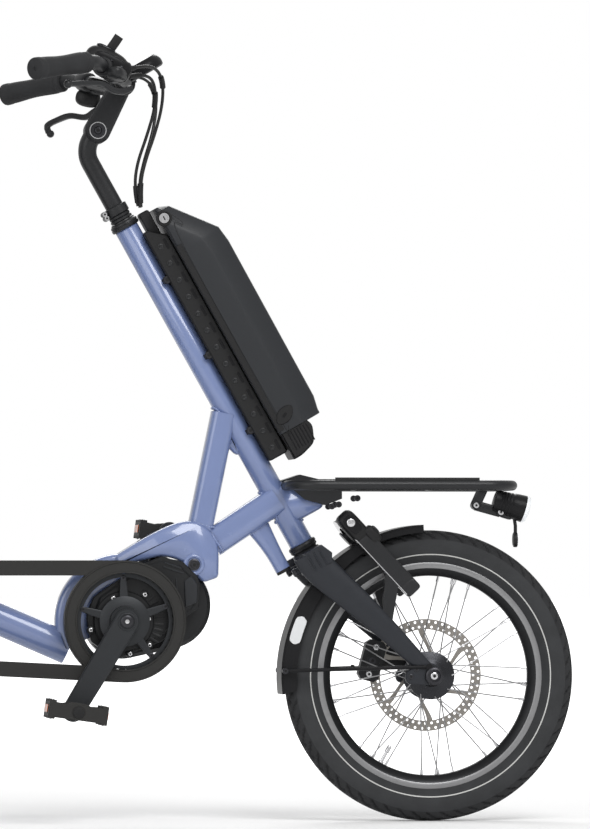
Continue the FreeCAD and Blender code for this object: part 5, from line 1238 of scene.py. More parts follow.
    def lug(self, shell: Shell) -> None:
        """The front carrier's lug ahead of the head tube."""
        points = np.array([(0.034, 0.0), (0.098, 0.0), (0.098, 0.0465), (0.066, 0.062), (0.034, 0.062)])
        place = Plane(HEAD_FOOT, AHEAD, UP)
        outline = rounded_outline(points[:, ::-1], [0.001, 0.001, 0.012, 0.02, 0.012], 6)
        shell.plate(outline, place, -0.017, 0.017, PAINT, 0.004)
        joint = Plane(on_steering(0.066, self.head_r), LEFT, UP)
        ringed(joint, 0.0175, 0.034, self.bead, shell, PAINT, 4.0, 34, on_round(HEAD_FOOT, UP, self.head_r + 0.0006))


@dataclass
class RearFrameBeads:
    """Weld beads and the tube joint on the rear frame, over its lacquered CAD node."""

    main_r: float = 0.0255
    stay_y: float = 0.074
    slope: float = math.radians(23.4)

    def build(self) -> bpy.types.Object:
        """Makes the beads at the cross tubes."""
        shell = Shell()
        cross_foot = at(-1.024, 0.2763 + 0.444 * math.tan(self.slope))
        for cross in (cross_foot, at(-1.335, 0.486)):
            for side in (1, -1):
                place = Plane(cross + LEFT * side * (self.stay_y - 0.0045), WORLD_X, WORLD_Z)
                ringed(place, 0.0145, 0.0145, 0.0015, shell, PAINT, 2.0, 26)
                place = Plane(cross + LEFT * side * self.main_r * 0.99, WORLD_X, WORLD_Z)
                ringed(place, 0.0145, 0.0145, 0.0018, shell, PAINT, 2.0, 26)
        return shell.object("rear_frame_beads", Body.FRAME, "frame_paint")


@dataclass
class BearingCups:
    """Headset cups with their split rings, and the seal under the collar."""

    cup_r: float = 0.0235

    def build(self) -> list[bpy.types.Object]:
        """Makes the lower and upper cups."""
        made = []
        for name, node, seat, away in (("lower_cup", "headset_lower", 0.0, -UP),
                                       ("upper_cup", "headset_upper", 0.576, UP)):
            shell, r = Shell(), self.cup_r
            profile = [(0.0144, 0.0), (r - 0.0018, 0.0), (r - 0.0006, 0.0010), (r, 0.0028), (r, 0.0052),
                       (r - 0.0009, 0.0058), (r - 0.0010, 0.0066), (r - 0.0003, 0.0072), (r - 0.0008, 0.0098),
                       (r - 0.0030, 0.0118), (r - 0.0034, 0.0136), (0.0144, 0.0136)]
            shell.lathe(profile, on_steering(seat, 0.0), away, SATIN_BLACK, 72, ring=True)
            made.append(shell.object(name, Body.FRAME, "black_metal", [node], sharp=32.0))
        return made


# Battery
@dataclass
class Battery:
    """The battery case: flat sides, broad front bevels, a parting line, lock, port cover and handle."""

    foot: float = 0.124
    length: float = 0.457
    base: float = 0.0495
    depth: float = 0.082
    half: float = 0.045
    bevel_y: float = 0.020
    bevel_share: float = 0.42
    shares: tuple[tuple[float, float], ...] = ((0.113, 0.93), (0.16, 0.985), (0.779, 1.0), (0.838, 0.957),
                                               (0.985, 0.31), (1.0, 0.12))
    handle_shares: tuple[tuple[float, float], ...] = ((0.0, 0.02), (0.0, 0.2), (0.018, 0.53), (0.077, 0.67),
                                                      (0.105, 0.60), (0.105, 0.02))
    seam: tuple[tuple[float, float], ...] = (
        (0.985, 0.010), (0.945, 0.022), (0.905, 0.028), (0.86, 0.0125), (0.15, 0.0125), (0.115, 0.02))
    ribs: int = 7

    def front(self, along: Array) -> Array:
        """The front edge's distance ahead of the base at a share of the length, by straight runs between shares."""
        table = np.array(self.shares)
        return np.interp(along, table[:, 0], table[:, 1] * self.depth)

    def case(self, shell: Shell) -> None:
        """The case: for each share of the length, a section with a flat side, an eased crease and a front face."""
        stops = np.array([0.098, 0.1, 0.113, 0.13, 0.16, 0.3, 0.45, 0.6, 0.75, 0.779, 0.8, 0.82, 0.838, 0.87, 0.9,
                          0.93, 0.96, 0.985, 0.994, 1.0])
        ahead = self.front(stops)
        ahead[0] = ahead[1] * 0.985
        fade = np.ones(len(stops))
        fade[0], fade[-1] = 0.96, 0.93
        bevel = np.minimum(self.bevel_share * self.depth, ahead * 0.75)
        ease = 0.0035
        half, inner = self.half, self.half - self.bevel_y
        crease, edge = ahead - bevel, inner * fade
        corners = [(0 * ahead + 0.0005, half * fade - 0.004), (0 * ahead + 0.004, half * fade),
                   (crease - ease, half * fade), (crease + ease * 0.8, half * fade - 0.0016),
                   (ahead - ease * 1.5, edge + 0.0045), (ahead - ease * 0.5, edge + 0.0016), (ahead, edge - 0.003)]
        side = np.stack([np.stack(corner, -1) for corner in corners], axis=1)
        section = np.concatenate([side, side[:, ::-1] * [1.0, -1.0]], axis=1)
        height = self.foot + stops * self.length
        points = (HEAD_FOOT + UP * height[:, None, None] + AHEAD * (self.base + section[..., 0:1])
                  + LEFT * section[..., 1:2])
        shell.grid(points, CASE_BLACK)

    def trim(self, shell: Shell) -> None:
        """The parting line along both sides, the cap's seam and the base rail."""
        for side in (1, -1):
            path = curve([on_steering(self.foot + u * self.length, self.base + a, side * (self.half + 0.0001))
                          for u, a in self.seam], 90)
            shell.tube(path, 0.00045, DOCK_BLACK, LEFT + 0.1 * UP, 6)
            band = rounded_outline([(0.11, 0.001), (0.85, 0.001), (0.85, 0.0105), (0.11, 0.0105)], 0.001, 3)
            scaled = band * [self.length, 1.0] + [self.foot, self.base]
            place = Plane(HEAD_FOOT, UP, AHEAD)
            low, high = sorted((side * (self.half - 0.001), side * (self.half + 0.0008)))
            shell.plate(scaled, place, low, high, DOCK_BLACK, 0.0004)

    def handle(self, shell: Shell) -> None:
        """The ribbed carrying handle below the case."""
        points = np.array(self.handle_shares) * [self.length, self.depth] + [self.foot, self.base]
        place = Plane(HEAD_FOOT, UP, AHEAD)
        outline = rounded_outline(points, [0.002, 0.008, 0.008, 0.008, 0.003, 0.002], 5)
        half = self.half - 0.003
        shell.plate(outline, place, -half, half, DOCK_BLACK, 0.003)
        for side in (1, -1):
            for index in range(self.ribs):
                ahead = self.base + self.depth * (0.16 + 0.4 * index / (self.ribs - 1))
                start = on_steering(self.foot + 0.012, ahead, side * half)
                shell.tube(np.array([start, start + UP * 0.030]), 0.0010, SHINY_PLASTIC, LEFT + 0.1 * AHEAD, 8)

    def fittings(self, shell: Shell) -> None:
        """The port cover, a leaf shape on the right, with its tab."""
        run = unit(UP * 0.45 + AHEAD * 0.9)
        place = flipped(Plane(on_steering(0.194, 0.0715, -self.half), run, np.cross(run, LEFT)))
        angle = whole_turn(48)
        leaf = np.column_stack([0.0185 * np.cos(angle), 0.0115 * np.sin(angle) * (1 - 0.25 * np.cos(angle) ** 2)])
        shell.plate(leaf, place, -0.0005, 0.0022, DOCK_BLACK, 0.0012)
        tab = rounded_outline([(-0.004, -0.002), (0.004, -0.002), (0.004, 0.002), (-0.004, 0.002)], 0.0015, 4)
        shell.plate(tab, place, 0.002, 0.0032, SHINY_PLASTIC, 0.0006)

    def lock(self) -> bpy.types.Object:
        """The lock barrel with its shroud, and its keyhole as a flat near-black slot of painted shade."""
        shell = Shell()
        seat = on_steering(0.561, 0.0555, -self.half)
        out = -LEFT
        shell.lathe([(0.0128, -0.001), (0.0128, 0.0012), (0.0118, 0.0024), (0.0098, 0.0024), (0.0096, 0.0008)],
                    seat, out, DOCK_BLACK, 44)
        shell.lathe([(0.0086, 0.0), (0.0086, 0.0030), (0.0080, 0.0038), (0.0058, 0.0038), (0.0055, 0.0034)], seat, out,
                    STEEL, 44)
        slot = rounded_outline([(-0.0035, -0.0010), (0.0035, -0.0010), (0.0035, 0.0010), (-0.0035, 0.0010)], 0.0008, 4)
        # The keyhole: a near-black slot laid on the barrel, painted shade where the hole is.
        shell.plate(slot, Plane(seat + out * 0.0034, UP, np.cross(out, UP)), -0.0003, 0.00045, RECESS_SHADE, 0.0001)
        return shell.object("battery_lock_barrel", Body.FRAME, "steel", ["battery_lock"])

    def build(self) -> list[bpy.types.Object]:
        """Makes the battery and its lock."""
        shell = Shell()
        self.case(shell)
        self.trim(shell)
        self.handle(shell)
        self.fittings(shell)
        case = shell.object("battery_case", Body.FRAME, "battery_case", ["battery", "charge_port_cover"], sharp=24.0)
        return [case, self.lock()]


def flipped(place: Plane) -> Plane:
    """The same plane with out turned to the right side of the trike."""
    if place.out[1] > 0:
        return Plane(place.origin, place.across, -place.up)
    return place


@dataclass
class Dock:
    """The battery's dock rail with its cooling bumps, clips and cable port."""

    foot: float = 0.140
    length: float = 0.416
    half: float = 0.031
    base: float = 0.0195
    front: float = 0.0495
    bumps: int = 13
    slope: float = 0.0208
    clip_r: float = 0.0208

    def build(self) -> bpy.types.Object:
        """Makes the rail."""
        shell = Shell()
        place = Plane(HEAD_FOOT, UP, AHEAD)
        low, high, slope = self.foot, self.foot + self.length, self.slope
        rail = [(low, self.base - 0.003), (high, self.base - 0.003), (high, self.base + 0.006),
                (high - slope, self.front), (low, self.front)]
        shell.plate(rounded_outline(rail, 0.004, 4), place, -self.half, self.half, DOCK_BLACK, 0.002)
        for side in (1, -1):
            for index in range(self.bumps):
                spot = on_steering(low + 0.018 + (self.length - 0.05) * index / (self.bumps - 1),
                                   self.base + 0.011, side * (self.half - 0.001))
                shell.lathe([(0.0052, 0.0), (0.0046, 0.0018), (0.0030, 0.0022), (0.0016, 0.0014)], spot, LEFT * side,
                            SATIN_BLACK, 18)
                groove = Plane(spot + AHEAD * 0.010, UP, np.cross(LEFT * side, UP))
                shell.box(groove, 0.009, 0.0022, 0.0, 0.0016, SHINY_PLASTIC, 0.0012, 0.0004)
        for index in range(3):
            middle = on_steering(low + self.length * (0.14 + 0.33 * index), self.base - 0.006)
            shell.tube(arc_round_head(middle, self.clip_r, math.radians(70.0)), 0.0042, DOCK_BLACK, UP, 10)
            for side in (1, -1):
                knob = middle + LEFT * side * 0.0235 + AHEAD * 0.001
                shell.bolt(knob, LEFT * side, 0.0068, 0.005, DARK_STEEL)
        port_low, port_high = high - slope * 2, high + 0.030
        port = [(port_low, 0.0255), (port_high, 0.0255), (port_high, 0.0435), (port_low, 0.0435)]
        shell.plate(rounded_outline(port, 0.005, 5), place, -0.017, 0.017, DOCK_BLACK, 0.002)
        return shell.object("battery_dock_rail", Body.FRAME, "black_plastic", ["battery_dock"], sharp=30.0)


def arc_round_head(middle: Array, radius: float, half: float) -> Array:
    """An arc in front of the steering axis, square to it, at a point's height on it."""
    up = float((middle - HEAD_FOOT) @ UP)
    angle = np.linspace(-half, half, 24)[:, None]
    return on_steering(up, 0.0) + radius * (np.cos(angle) * AHEAD + np.sin(angle) * LEFT)


# Cockpit
def pod(centre: Array, across: Array, along: Array, out: Array, power: float = 2.6, rows: int = 18,
        columns: int = 32) -> Array:
    """A rounded block, the superellipsoid p = c + s(cos v) (s(cos u) a + s(sin u) b) + s(sin v) o.

    Args:
        centre: Its middle c.
        across: The half axis a.
        along: The half axis b.
        out: The half axis o.
        power: n, with s(x) = sign(x) |x|^(2/n): 2 is an ellipsoid and more is squarer.
        rows: Steps in v.
        columns: Steps in u.

    Returns:
        The grid of points.
    """
    v = np.linspace(-math.pi / 2 + 0.06, math.pi / 2 - 0.06, rows)[:, None, None]
    u = whole_turn(columns)[None, :, None]
    share = 2.0 / power

    def signed(x: Array) -> Array:
        """The power that squares a sphere up, with the sign kept."""
        return np.sign(x) * np.abs(x) ** share

    level = signed(np.cos(u)) * across + signed(np.sin(u)) * along
    return centre + signed(np.cos(v)) * level + signed(np.sin(v)) * out


def flat_blade(path: Array, halves: Sequence[float], thickness: float, guide: Array, power: float = 3.0) -> Array:
    """A flattened bar along a path, its half widths given at even steps along it."""
    share = np.linspace(0.0, 1.0, len(path))
    width = np.interp(share, np.linspace(0.0, 1.0, len(halves)), halves)
    section = oval(1.0, 1.0, 20, power)[None] * np.stack([np.full(len(path), thickness), width], -1)[:, None]
    return swept(path, section, guide)


@dataclass
class SteeringPost:
    """The riser on the steerer and the angle-set stem with its pivot bolt."""

    base: float = 0.590
    riser_y: float = 0.0146
    pivot: tuple[float, float] = (0.734, 0.034)
    bar: tuple[float, float] = (0.780, 0.105)
    cheek: float = 0.021
    stem_ends: tuple[float, float] = (0.0205, 0.0165)
    clamp_y: float = 0.019
    rows: int = 44
    stops: tuple[tuple[float, float], ...] = (
        (0.590, 0.0), (0.640, 0.0), (0.680, 0.0), (0.703, 0.001), (0.719, 0.009), (0.729, 0.021), (0.735, 0.031))
    halves: tuple[tuple[float, float], ...] = (
        (0.0, 0.0140), (0.5, 0.0148), (0.75, 0.0176), (0.9, 0.0180), (1.0, 0.0150))

    def riser(self) -> bpy.types.Object:
        """The riser: a tube that widens and bends forward into the pivot's knuckle."""
        shell = Shell()
        path = curve([on_steering(up, ahead) for up, ahead in self.stops], self.rows)
        table = np.array(self.halves)
        halves = np.interp(np.linspace(0, 1, self.rows), table[:, 0], table[:, 1])
        shell.bar(path, self.riser_y, halves, SATIN_BLACK, 48, 2.3)
        shell.lathe(mirrored([(0.0205, 0.009), (0.0195, 0.0102)]), on_steering(*self.pivot), LEFT, SATIN_BLACK, 48)
        self.collar(shell)
        return shell.object("riser_tube", Body.STEERING, "black_metal", ["riser_post"], sharp=35.0)

    def collar(self, shell: Shell) -> None:
        """Spacers and the clamp collar with its two bolts and slot."""
        rings = []
        for low, high, r in ((0.0, 0.0050, 0.0185), (0.0056, 0.0106, 0.0178), (0.0112, 0.0255, 0.0192)):
            rings += [(r - 0.0012, low), (r, low + 0.0009), (r, high - 0.0009), (r - 0.0012, high)]
        shell.lathe(rings + [(0.0150, 0.0258)], on_steering(self.base, 0.0), UP, SATIN_BLACK, 60)
        for up in (0.0145, 0.0215):
            spot = on_steering(self.base + up, -0.021, 0.0)
            shell.rod(spot - LEFT * 0.013, spot + LEFT * 0.013, 0.0046, SATIN_BLACK, 0.001)
            shell.bolt(spot - LEFT * 0.013, -LEFT, 0.0040, 0.0022, STEEL)

    def stem(self) -> bpy.types.Object:
        """The stem's two cheeks, silver pivot ring and split bar clamp."""
        shell = Shell()
        pivot, bar = on_steering(*self.pivot), on_steering(*self.bar)
        run = unit(bar - pivot)
        length = float(np.linalg.norm(bar - pivot))
        place = Plane(pivot, run, np.cross(run, LEFT))
        first, last = self.stem_ends
        angle = np.linspace(math.pi / 2, 1.5 * math.pi, 18)
        back = np.column_stack([first * np.cos(angle), first * np.sin(angle)])
        angle = np.linspace(-math.pi / 2, math.pi / 2, 18)
        front = np.column_stack([length + last * np.cos(angle), last * np.sin(angle)])
        outline = np.concatenate([back, front])
        for low, high in ((-self.cheek, -0.0112), (0.0112, self.cheek)):
            shell.plate(outline, place, low, high, SATIN_BLACK, 0.0035)
        bridge = outline * [0.62, 0.9] + [length * 0.42, 0.0]
        shell.plate(bridge, place, -0.0125, 0.0125, SATIN_BLACK, 0.001)
        for side in (1, -1):
            face, out = pivot + LEFT * side * (self.cheek - 0.0004), LEFT * side
            shell.lathe([(0.0138, 0.0), (0.0136, 0.0010), (0.0122, 0.0011), (0.0121, 0.0002)], face, out, STEEL, 44)
            shell.lathe([(0.0119, 0.0), (0.0115, 0.0016), (0.0062, 0.0016), (0.0058, 0.0004)], face, out, DARK_STEEL,
                        44)
            shell.bolt(face + out * 0.0004, out, 0.0052, 0.0016, DARK_STEEL)
        for y in (-self.clamp_y, self.clamp_y):
            shell.lathe(mirrored([(0.0200, 0.005), (0.0196, 0.006), (0.0166, 0.007)]), bar + LEFT * y, LEFT,
                        SATIN_BLACK, 48)
            for turn in (0.6, -0.9):
                spot = bar + LEFT * y + (run * math.cos(turn) + place.up * math.sin(turn)) * 0.0185
                shell.bolt(spot, run, 0.0038, 0.003, DARK_STEEL)
        return shell.object("stem_body", Body.STEERING, "black_metal", ["stem"], sharp=35.0)

    def build(self) -> list[bpy.types.Object]:
        """Makes riser and stem."""
        return [self.riser(), self.stem()]


@dataclass
class Grips:
    """The ergonomic rubber grips with end caps, an inner band and fine ribs."""

    inner: tuple[float, float, float] = (-0.556, 1.198, 0.200)
    end: tuple[float, float, float] = (-0.655, 1.179, 0.290)
    start_in: float = 0.0183
    ribs: int = 42
    rib_depth: float = 0.00028

    def build(self, side: int) -> bpy.types.Object:
        """Makes one side's grip."""
        shell = Shell()
        inner, end = (at(x, z, side * y) for x, z, y in (self.inner, self.end))
        run = unit(end - inner)
        start = inner + run * self.start_in
        length = float(np.linalg.norm(end - start)) + 0.0035
        band = [(0.0115, 0.0), (0.0162, 0.0005), (0.0166, 0.0015), (0.0166, 0.0100), (0.0160, 0.0108)]
        along = np.linspace(0.0125, length - 0.014, self.ribs)
        swell = 0.0160 + 0.0009 * np.cos((along - along[0]) / (along[-1] - along[0]) * TAU)
        rib = self.rib_depth * np.where(np.arange(self.ribs) % 2, 1.0, -1.0)
        body = list(zip(swell + rib, along))
        cap = [(0.0174, length - 0.012), (0.0178, length - 0.010), (0.0178, length - 0.0025), (0.0172, length - 0.0006),
               (0.0160, length), (0.0036, length + 0.0002), (0.0030, length - 0.0012)]
        shell.lathe(band + body + cap, start, run, GRIP_RUBBER, 48)
        name = side_name(side)
        return shell.object(f"grip_rubber_{name}", Body.STEERING, "rubber_black", [f"grip_{name}"], sharp=40.0)


@dataclass
class Controls:
    """Brake levers with their perches, the shifter pods and the thumb lever."""

    bar: tuple[float, float] = (0.780, 0.105)
    straight_y: float = 0.062
    inner: tuple[float, float, float] = (-0.556, 1.198, 0.200)
    right_blade: tuple[tuple[float, float, float], ...] = (
        (-0.494, 1.160, -0.146), (-0.509, 1.154, -0.160), (-0.526, 1.155, -0.176), (-0.545, 1.163, -0.196),
        (-0.572, 1.1615, -0.224), (-0.603, 1.158, -0.256))
    left_blade: tuple[tuple[float, float, float], ...] = (
        (-0.500, 1.158, 0.156), (-0.520, 1.145, 0.180), (-0.534, 1.137, 0.200), (-0.556, 1.1405, 0.222),
        (-0.573, 1.136, 0.244), (-0.590, 1.127, 0.264), (-0.588, 1.116, 0.272))
    paddle: tuple[tuple[float, float, float], ...] = (
        (-0.536, 1.208, -0.140), (-0.528, 1.219, -0.140), (-0.520, 1.230, -0.141), (-0.512, 1.242, -0.142))

    def on_bar(self, share: float, side: int) -> Array:
        """A point on the bar's swept stretch, from its bend to the grip."""
        bar = on_steering(*self.bar)
        start = bar + LEFT * side * self.straight_y
        return start + (at(self.inner[0], self.inner[1], side * self.inner[2]) - start) * share

    def bar_run(self, side: int) -> Array:
        """The direction of the bar's swept stretch, outwards."""
        return unit(self.on_bar(1.0, side) - self.on_bar(0.0, side))

    def perch(self, shell: Shell, side: int) -> None:
        """The clamp ring round the bar with the lever's body under it."""
        along = self.bar_run(side)
        spot = self.on_bar(0.70, side)
        clamp = mirrored([(0.0158, 0.010), (0.0150, 0.012), (0.0116, 0.0125)])
        shell.lathe(clamp, spot, along, SATIN_BLACK, 44, ring=True)
        ahead = unit(np.cross(along, WORLD_Z)) * side
        body = spot + ahead * 0.019 - WORLD_Z * 0.010 - along * 0.004
        shell.grid(pod(body, along * 0.020, ahead * 0.015, WORLD_Z * 0.0105, 3.0), SATIN_BLACK)
        shell.bolt(body + WORLD_Z * 0.0102 - along * 0.008, WORLD_Z, 0.0042, 0.0022, STEEL)
        shell.bolt(spot + ahead * 0.012 + WORLD_Z * 0.010, WORLD_Z + ahead, 0.0034, 0.0024, DARK_STEEL)

    def right_lever(self, shell: Shell) -> None:
        """The near lever's blade, swept under the grip to a rolled end."""
        points = [at(*spot) for spot in self.right_blade]
        halves = [0.0050, 0.0056, 0.0048, 0.0043, 0.0046, 0.0036]
        shell.grid(flat_blade(curve(points, 60), halves, 0.0052, WORLD_Z), SATIN_BLACK)
        shell.ball(points[-1], 0.0068, SATIN_BLACK)
        self.adjuster(shell, at(-0.515, 1.186, -0.152), at(-0.484, 1.195, -0.136))

    def left_lever(self, shell: Shell) -> None:
        """The far lever's blade, which hangs lower and ends in a hooked ball."""
        points = [at(*spot) for spot in self.left_blade]
        halves = [0.0058, 0.0056, 0.0050, 0.0050, 0.0046, 0.0040]
        shell.grid(flat_blade(curve(points, 60), halves, 0.0050, WORLD_Z), SATIN_BLACK)
        shell.ball(points[-1] + np.array([0.003, 0.0, -0.002]), 0.0064, SATIN_BLACK)
        self.adjuster(shell, at(-0.515, 1.186, 0.152), at(-0.484, 1.195, 0.136))

    def adjuster(self, shell: Shell, mouth: Array, onward: Array) -> None:
        """The barrel adjuster that a cable leaves the lever through, with its knurled ring."""
        run = unit(onward - mouth)
        teeth = [(0.0046 + 0.0003 * (k % 2), 0.001 + 0.0009 * k) for k in range(9)]
        shell.lathe([(0.0036, -0.024), (0.0040, -0.0235), (0.0040, 0.0)] + teeth + [(0.0036, 0.0098), (0.0030, 0.0102)],
                    mouth - run * 0.004, run, SATIN_BLACK, 24)

    def pods(self, shell: Shell) -> None:
        """The right shifter: a domed pod over the bar with a side cap, window rim and clamp."""
        along = unit(at(-0.493, 1.178) - at(-0.563, 1.212))
        high = np.cross(along, LEFT)
        centre = at(-0.532, 1.201, -0.138)
        shell.grid(pod(centre, along * 0.036, LEFT * 0.021, high * 0.021, 2.7, 26, 48), DOCK_BLACK)
        cap = centre - LEFT * 0.0195 + along * 0.004
        shell.grid(pod(cap, along * 0.027, high * 0.013, LEFT * 0.0045, 3.2, 12, 44), SHINY_PLASTIC)
        shell.bolt(cap - LEFT * 0.0043 + along * 0.019, -LEFT, 0.0030, 0.0014, DARK_STEEL)
        nose = centre + along * 0.034 - high * 0.002
        shell.lathe([(0.017, -0.016), (0.0185, -0.010), (0.0180, 0.0), (0.0140, 0.006), (0.006, 0.009)], nose, along,
                    SHINY_PLASTIC, 40)
        top = centre + high * 0.0198 - along * 0.010
        shell.grid(pod(top, along * 0.016, LEFT * 0.011, high * 0.0042, 3.0, 10, 36), SCREEN)
        ring = mirrored([(0.0160, 0.006), (0.0156, 0.0075), (0.0116, 0.008)])
        shell.lathe(ring, self.on_bar(0.42, -1), self.bar_run(-1), SATIN_BLACK, 40, ring=True)

    def thumb(self) -> bpy.types.Object:
        """The gear lever: a tapered paddle standing up from the pod."""
        shell = Shell()
        points = [at(*spot) for spot in self.paddle]
        shell.grid(flat_blade(curve(points, 24), [0.0042, 0.0046, 0.0052, 0.0050], 0.0075, LEFT), DOCK_BLACK)
        shell.lathe([(0.0090, -0.006), (0.0096, -0.004), (0.0096, 0.004), (0.0090, 0.006)], at(-0.535, 1.207, -0.140),
                    LEFT, DARK_STEEL, 30)
        foot = pod(at(-0.545, 1.168, -0.142), np.array([0.017, 0, -0.005]), LEFT * 0.010, np.array([0.002, 0, 0.006]),
                   3.0)
        shell.grid(foot, DOCK_BLACK)
        return shell.object("thumb_lever", Body.STEERING, "black_plastic", ["gear_lever"], sharp=35.0)

    def head_unit(self) -> bpy.types.Object:
        """The round display over the bar, tipped to the rider, with its bracket."""
        shell = Shell()
        bar = on_steering(*self.bar) - LEFT * 0.0448
        face = rays(math.radians(120.0))
        base = bar + WORLD_X * 0.034 + WORLD_Z * 0.0133
        shell.lathe([(0.0300, 0.0), (0.0330, 0.002), (0.0338, 0.006), (0.0335, 0.012), (0.0305, 0.0185),
                     (0.0285, 0.0205)], base, face, SHINY_PLASTIC, 60)
        glass = [(0.0284, 0.0196), (0.0280, 0.0212), (0.0255, 0.0219), (0.012, 0.0222), (0.001, 0.0222)]
        shell.lathe(glass, base, face, SCREEN, 60)
        arm = [bar, bar + WORLD_X * 0.015 + WORLD_Z * 0.009, base + face * 0.008]
        shell.tube(curve(arm, 14), 0.0066, DOCK_BLACK, LEFT, 16)
        shell.lathe([(0.0116, -0.0055), (0.0152, -0.005), (0.0155, 0.0), (0.0152, 0.005), (0.0116, 0.0055)], bar, LEFT,
                    DOCK_BLACK, 40, ring=True)
        return shell.object("head_unit", Body.STEERING, "black_plastic", ["display"], sharp=35.0)

    def build(self) -> list[bpy.types.Object]:
        """Makes both levers, the pods, the gear lever and the display."""
        made = []
        for side, lever in ((1, self.left_lever), (-1, self.right_lever)):
            shell, name = Shell(), side_name(side)
            self.perch(shell, side)
            lever(shell)
            if side < 0:
                self.pods(shell)
            else:
                body = pod(at(-0.532, 1.166, 0.178), np.array([0.020, 0, -0.004]), LEFT * 0.014,
                           np.array([0.003, 0, 0.014]), 2.6)
                shell.grid(body, DOCK_BLACK)
            made.append(shell.object(f"lever_{name}", Body.STEERING, "black_metal", [f"brake_lever_{name}"],
                                     sharp=35.0))
        return made + [self.thumb(), self.head_unit()]


@dataclass
class Cables:
    """The brake cables, held from their levers to the dock's port, with ferrules, and a shift cable beside them."""

    radius: float = 0.0026
    route: tuple[tuple[float, float, float], ...] = (
        (-0.515, 1.186, 0.152), (-0.484, 1.195, 0.136), (-0.453, 1.198, 0.108), (-0.436, 1.180, 0.076),
        (-0.433, 1.143, 0.046), (-0.443, 1.097, 0.025), (-0.457, 1.056, 0.013), (-0.466, 1.016, 0.010),
        (-0.464, 0.980, 0.009))
    shift_route: tuple[tuple[float, float, float], ...] = (
        (-0.494, 1.180, -0.118), (-0.472, 1.186, -0.104), (-0.450, 1.178, -0.080), (-0.444, 1.140, -0.044),
        (-0.456, 1.092, -0.018), (-0.470, 1.050, -0.004), (-0.474, 1.012, 0.0), (-0.468, 0.982, 0.0))

    def spline(self, points: Sequence[Sequence[float]], side: int) -> Array:
        """Points along a clamped quadratic NURBS curve through the route's hull.

        Args:
            points: The route as forward, up and left places.
            side: 1 for the left side and -1 for its mirror.

        Returns:
            Points along the curve.
        """
        data = bpy.data.curves.new("route", "CURVE")
        data.dimensions, data.resolution_u = "3D", 10
        line = data.splines.new("NURBS")
        line.points.add(len(points) - 1)
        for point, (x, z, y) in zip(line.points, points):
            point.co = (*at(x, z, side * y), 1.0)
        line.order_u, line.use_endpoint_u = 3, True
        route = bpy.data.objects.new("route", data)
        bpy.context.scene.collection.objects.link(route)
        mesh = bpy.data.meshes.new_from_object(route)
        found = points_in(mesh)
        bpy.data.objects.remove(route)
        bpy.data.curves.remove(data)
        bpy.data.meshes.remove(mesh)
        return found

    def one(self, name: str, points: Sequence[Sequence[float]], side: int, node: str | None) -> bpy.types.Object:
        """One cable, its path curving from the steering to the frame, riding on neither body."""
        shell = Shell()
        path = self.spline(points, side)
        guide = unit(np.array([0.2, 1.0, 0.3]))
        shell.tube(path, self.radius, CABLE_SHEATH, guide, 12)
        for index, grow in ((0, 1.55), (len(path) // 3, 1.75), (len(path) - 8, 1.5)):
            stretch = path[index:index + 7]
            shell.tube(stretch, self.radius * grow, DOCK_BLACK, guide, 16)
        made = shell.object(name, None, "cable_black", [node] if node else [])
        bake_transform(made)
        return made

    def build(self) -> list[bpy.types.Object]:
        """Makes the three cables."""
        return [self.one("brake_cable_left", self.route, 1, "cable_left"),
                self.one("brake_cable_right", self.route, -1, "cable_right"),
                self.one("shift_cable", self.shift_route, 1, None)]


# Fork, lock, mudguard, carrier and lamp
@dataclass
class ForkDetails:
    """Crown flutes and bolts, and the fork ends with their axle caps, over the coated fork."""

    end_y: float = 0.062
    lobe: tuple[tuple[float, float], ...] = (
        (0.013, -0.012), (0.013, 0.013), (-0.004, 0.022), (-0.030, 0.016), (-0.046, 0.006), (-0.045, -0.012),
        (-0.018, -0.015))

    def build(self) -> list[bpy.types.Object]:
        """Makes the crown's fittings and the fork ends."""
        crown, ends = Shell(), Shell()
        for ahead, out in ((-0.030, -AHEAD), (0.020, AHEAD)):
            for side in (1, -1):
                spot = on_steering(-0.034, ahead, side * 0.040)
                crown.rod(spot - out * 0.012, spot + out * 0.004, 0.0058, FORK_BLACK, 0.001)
                crown.bolt(spot + out * 0.004, out, 0.0066, 0.0055, DARK_STEEL)
        for side in (1, -1):
            for ahead in (-0.007, 0.003, 0.013):
                start, end = (on_steering(up, ahead, side * 0.0672) for up in (-0.018, -0.045))
                flute = curve([start, (start + end) / 2 + LEFT * side * 0.0008, end], 12)
                crown.tube(flute, 0.0014, FORK_BLACK, AHEAD, 8)
        place = side_plane(FRONT_HUB)
        lobe = rounded_outline(self.lobe, 0.009, 7)
        for side in (1, -1):
            low, high = sorted((-side * (self.end_y - 0.011), -side * (self.end_y + 0.0006)))
            ends.plate(lobe, place, low, high, FORK_BLACK, 0.0015)
            face = FRONT_HUB + LEFT * side * (self.end_y + 0.0004)
            ends.lathe([(0.0145, 0.0), (0.0148, 0.002), (0.0140, 0.0062), (0.0120, 0.0078), (0.0096, 0.0080),
                        (0.0092, 0.0030), (0.002, 0.0028)], face, LEFT * side, DARK_STEEL, 44)
            ends.bolt(face + LEFT * side * 0.0028, LEFT * side, 0.0060, 0.0030, STEEL)
            for x, z in ((-0.037, -0.001), (-0.028, 0.011)):
                spot = face + WORLD_X * x + WORLD_Z * z
                ends.bolt(spot, LEFT * side, 0.0042, 0.0016, DARK_STEEL)
        return [crown.object("crown_fittings", Body.STEERING, "black_metal"),
                ends.object("fork_ends", Body.STEERING, "black_metal", ["front_axle"])]


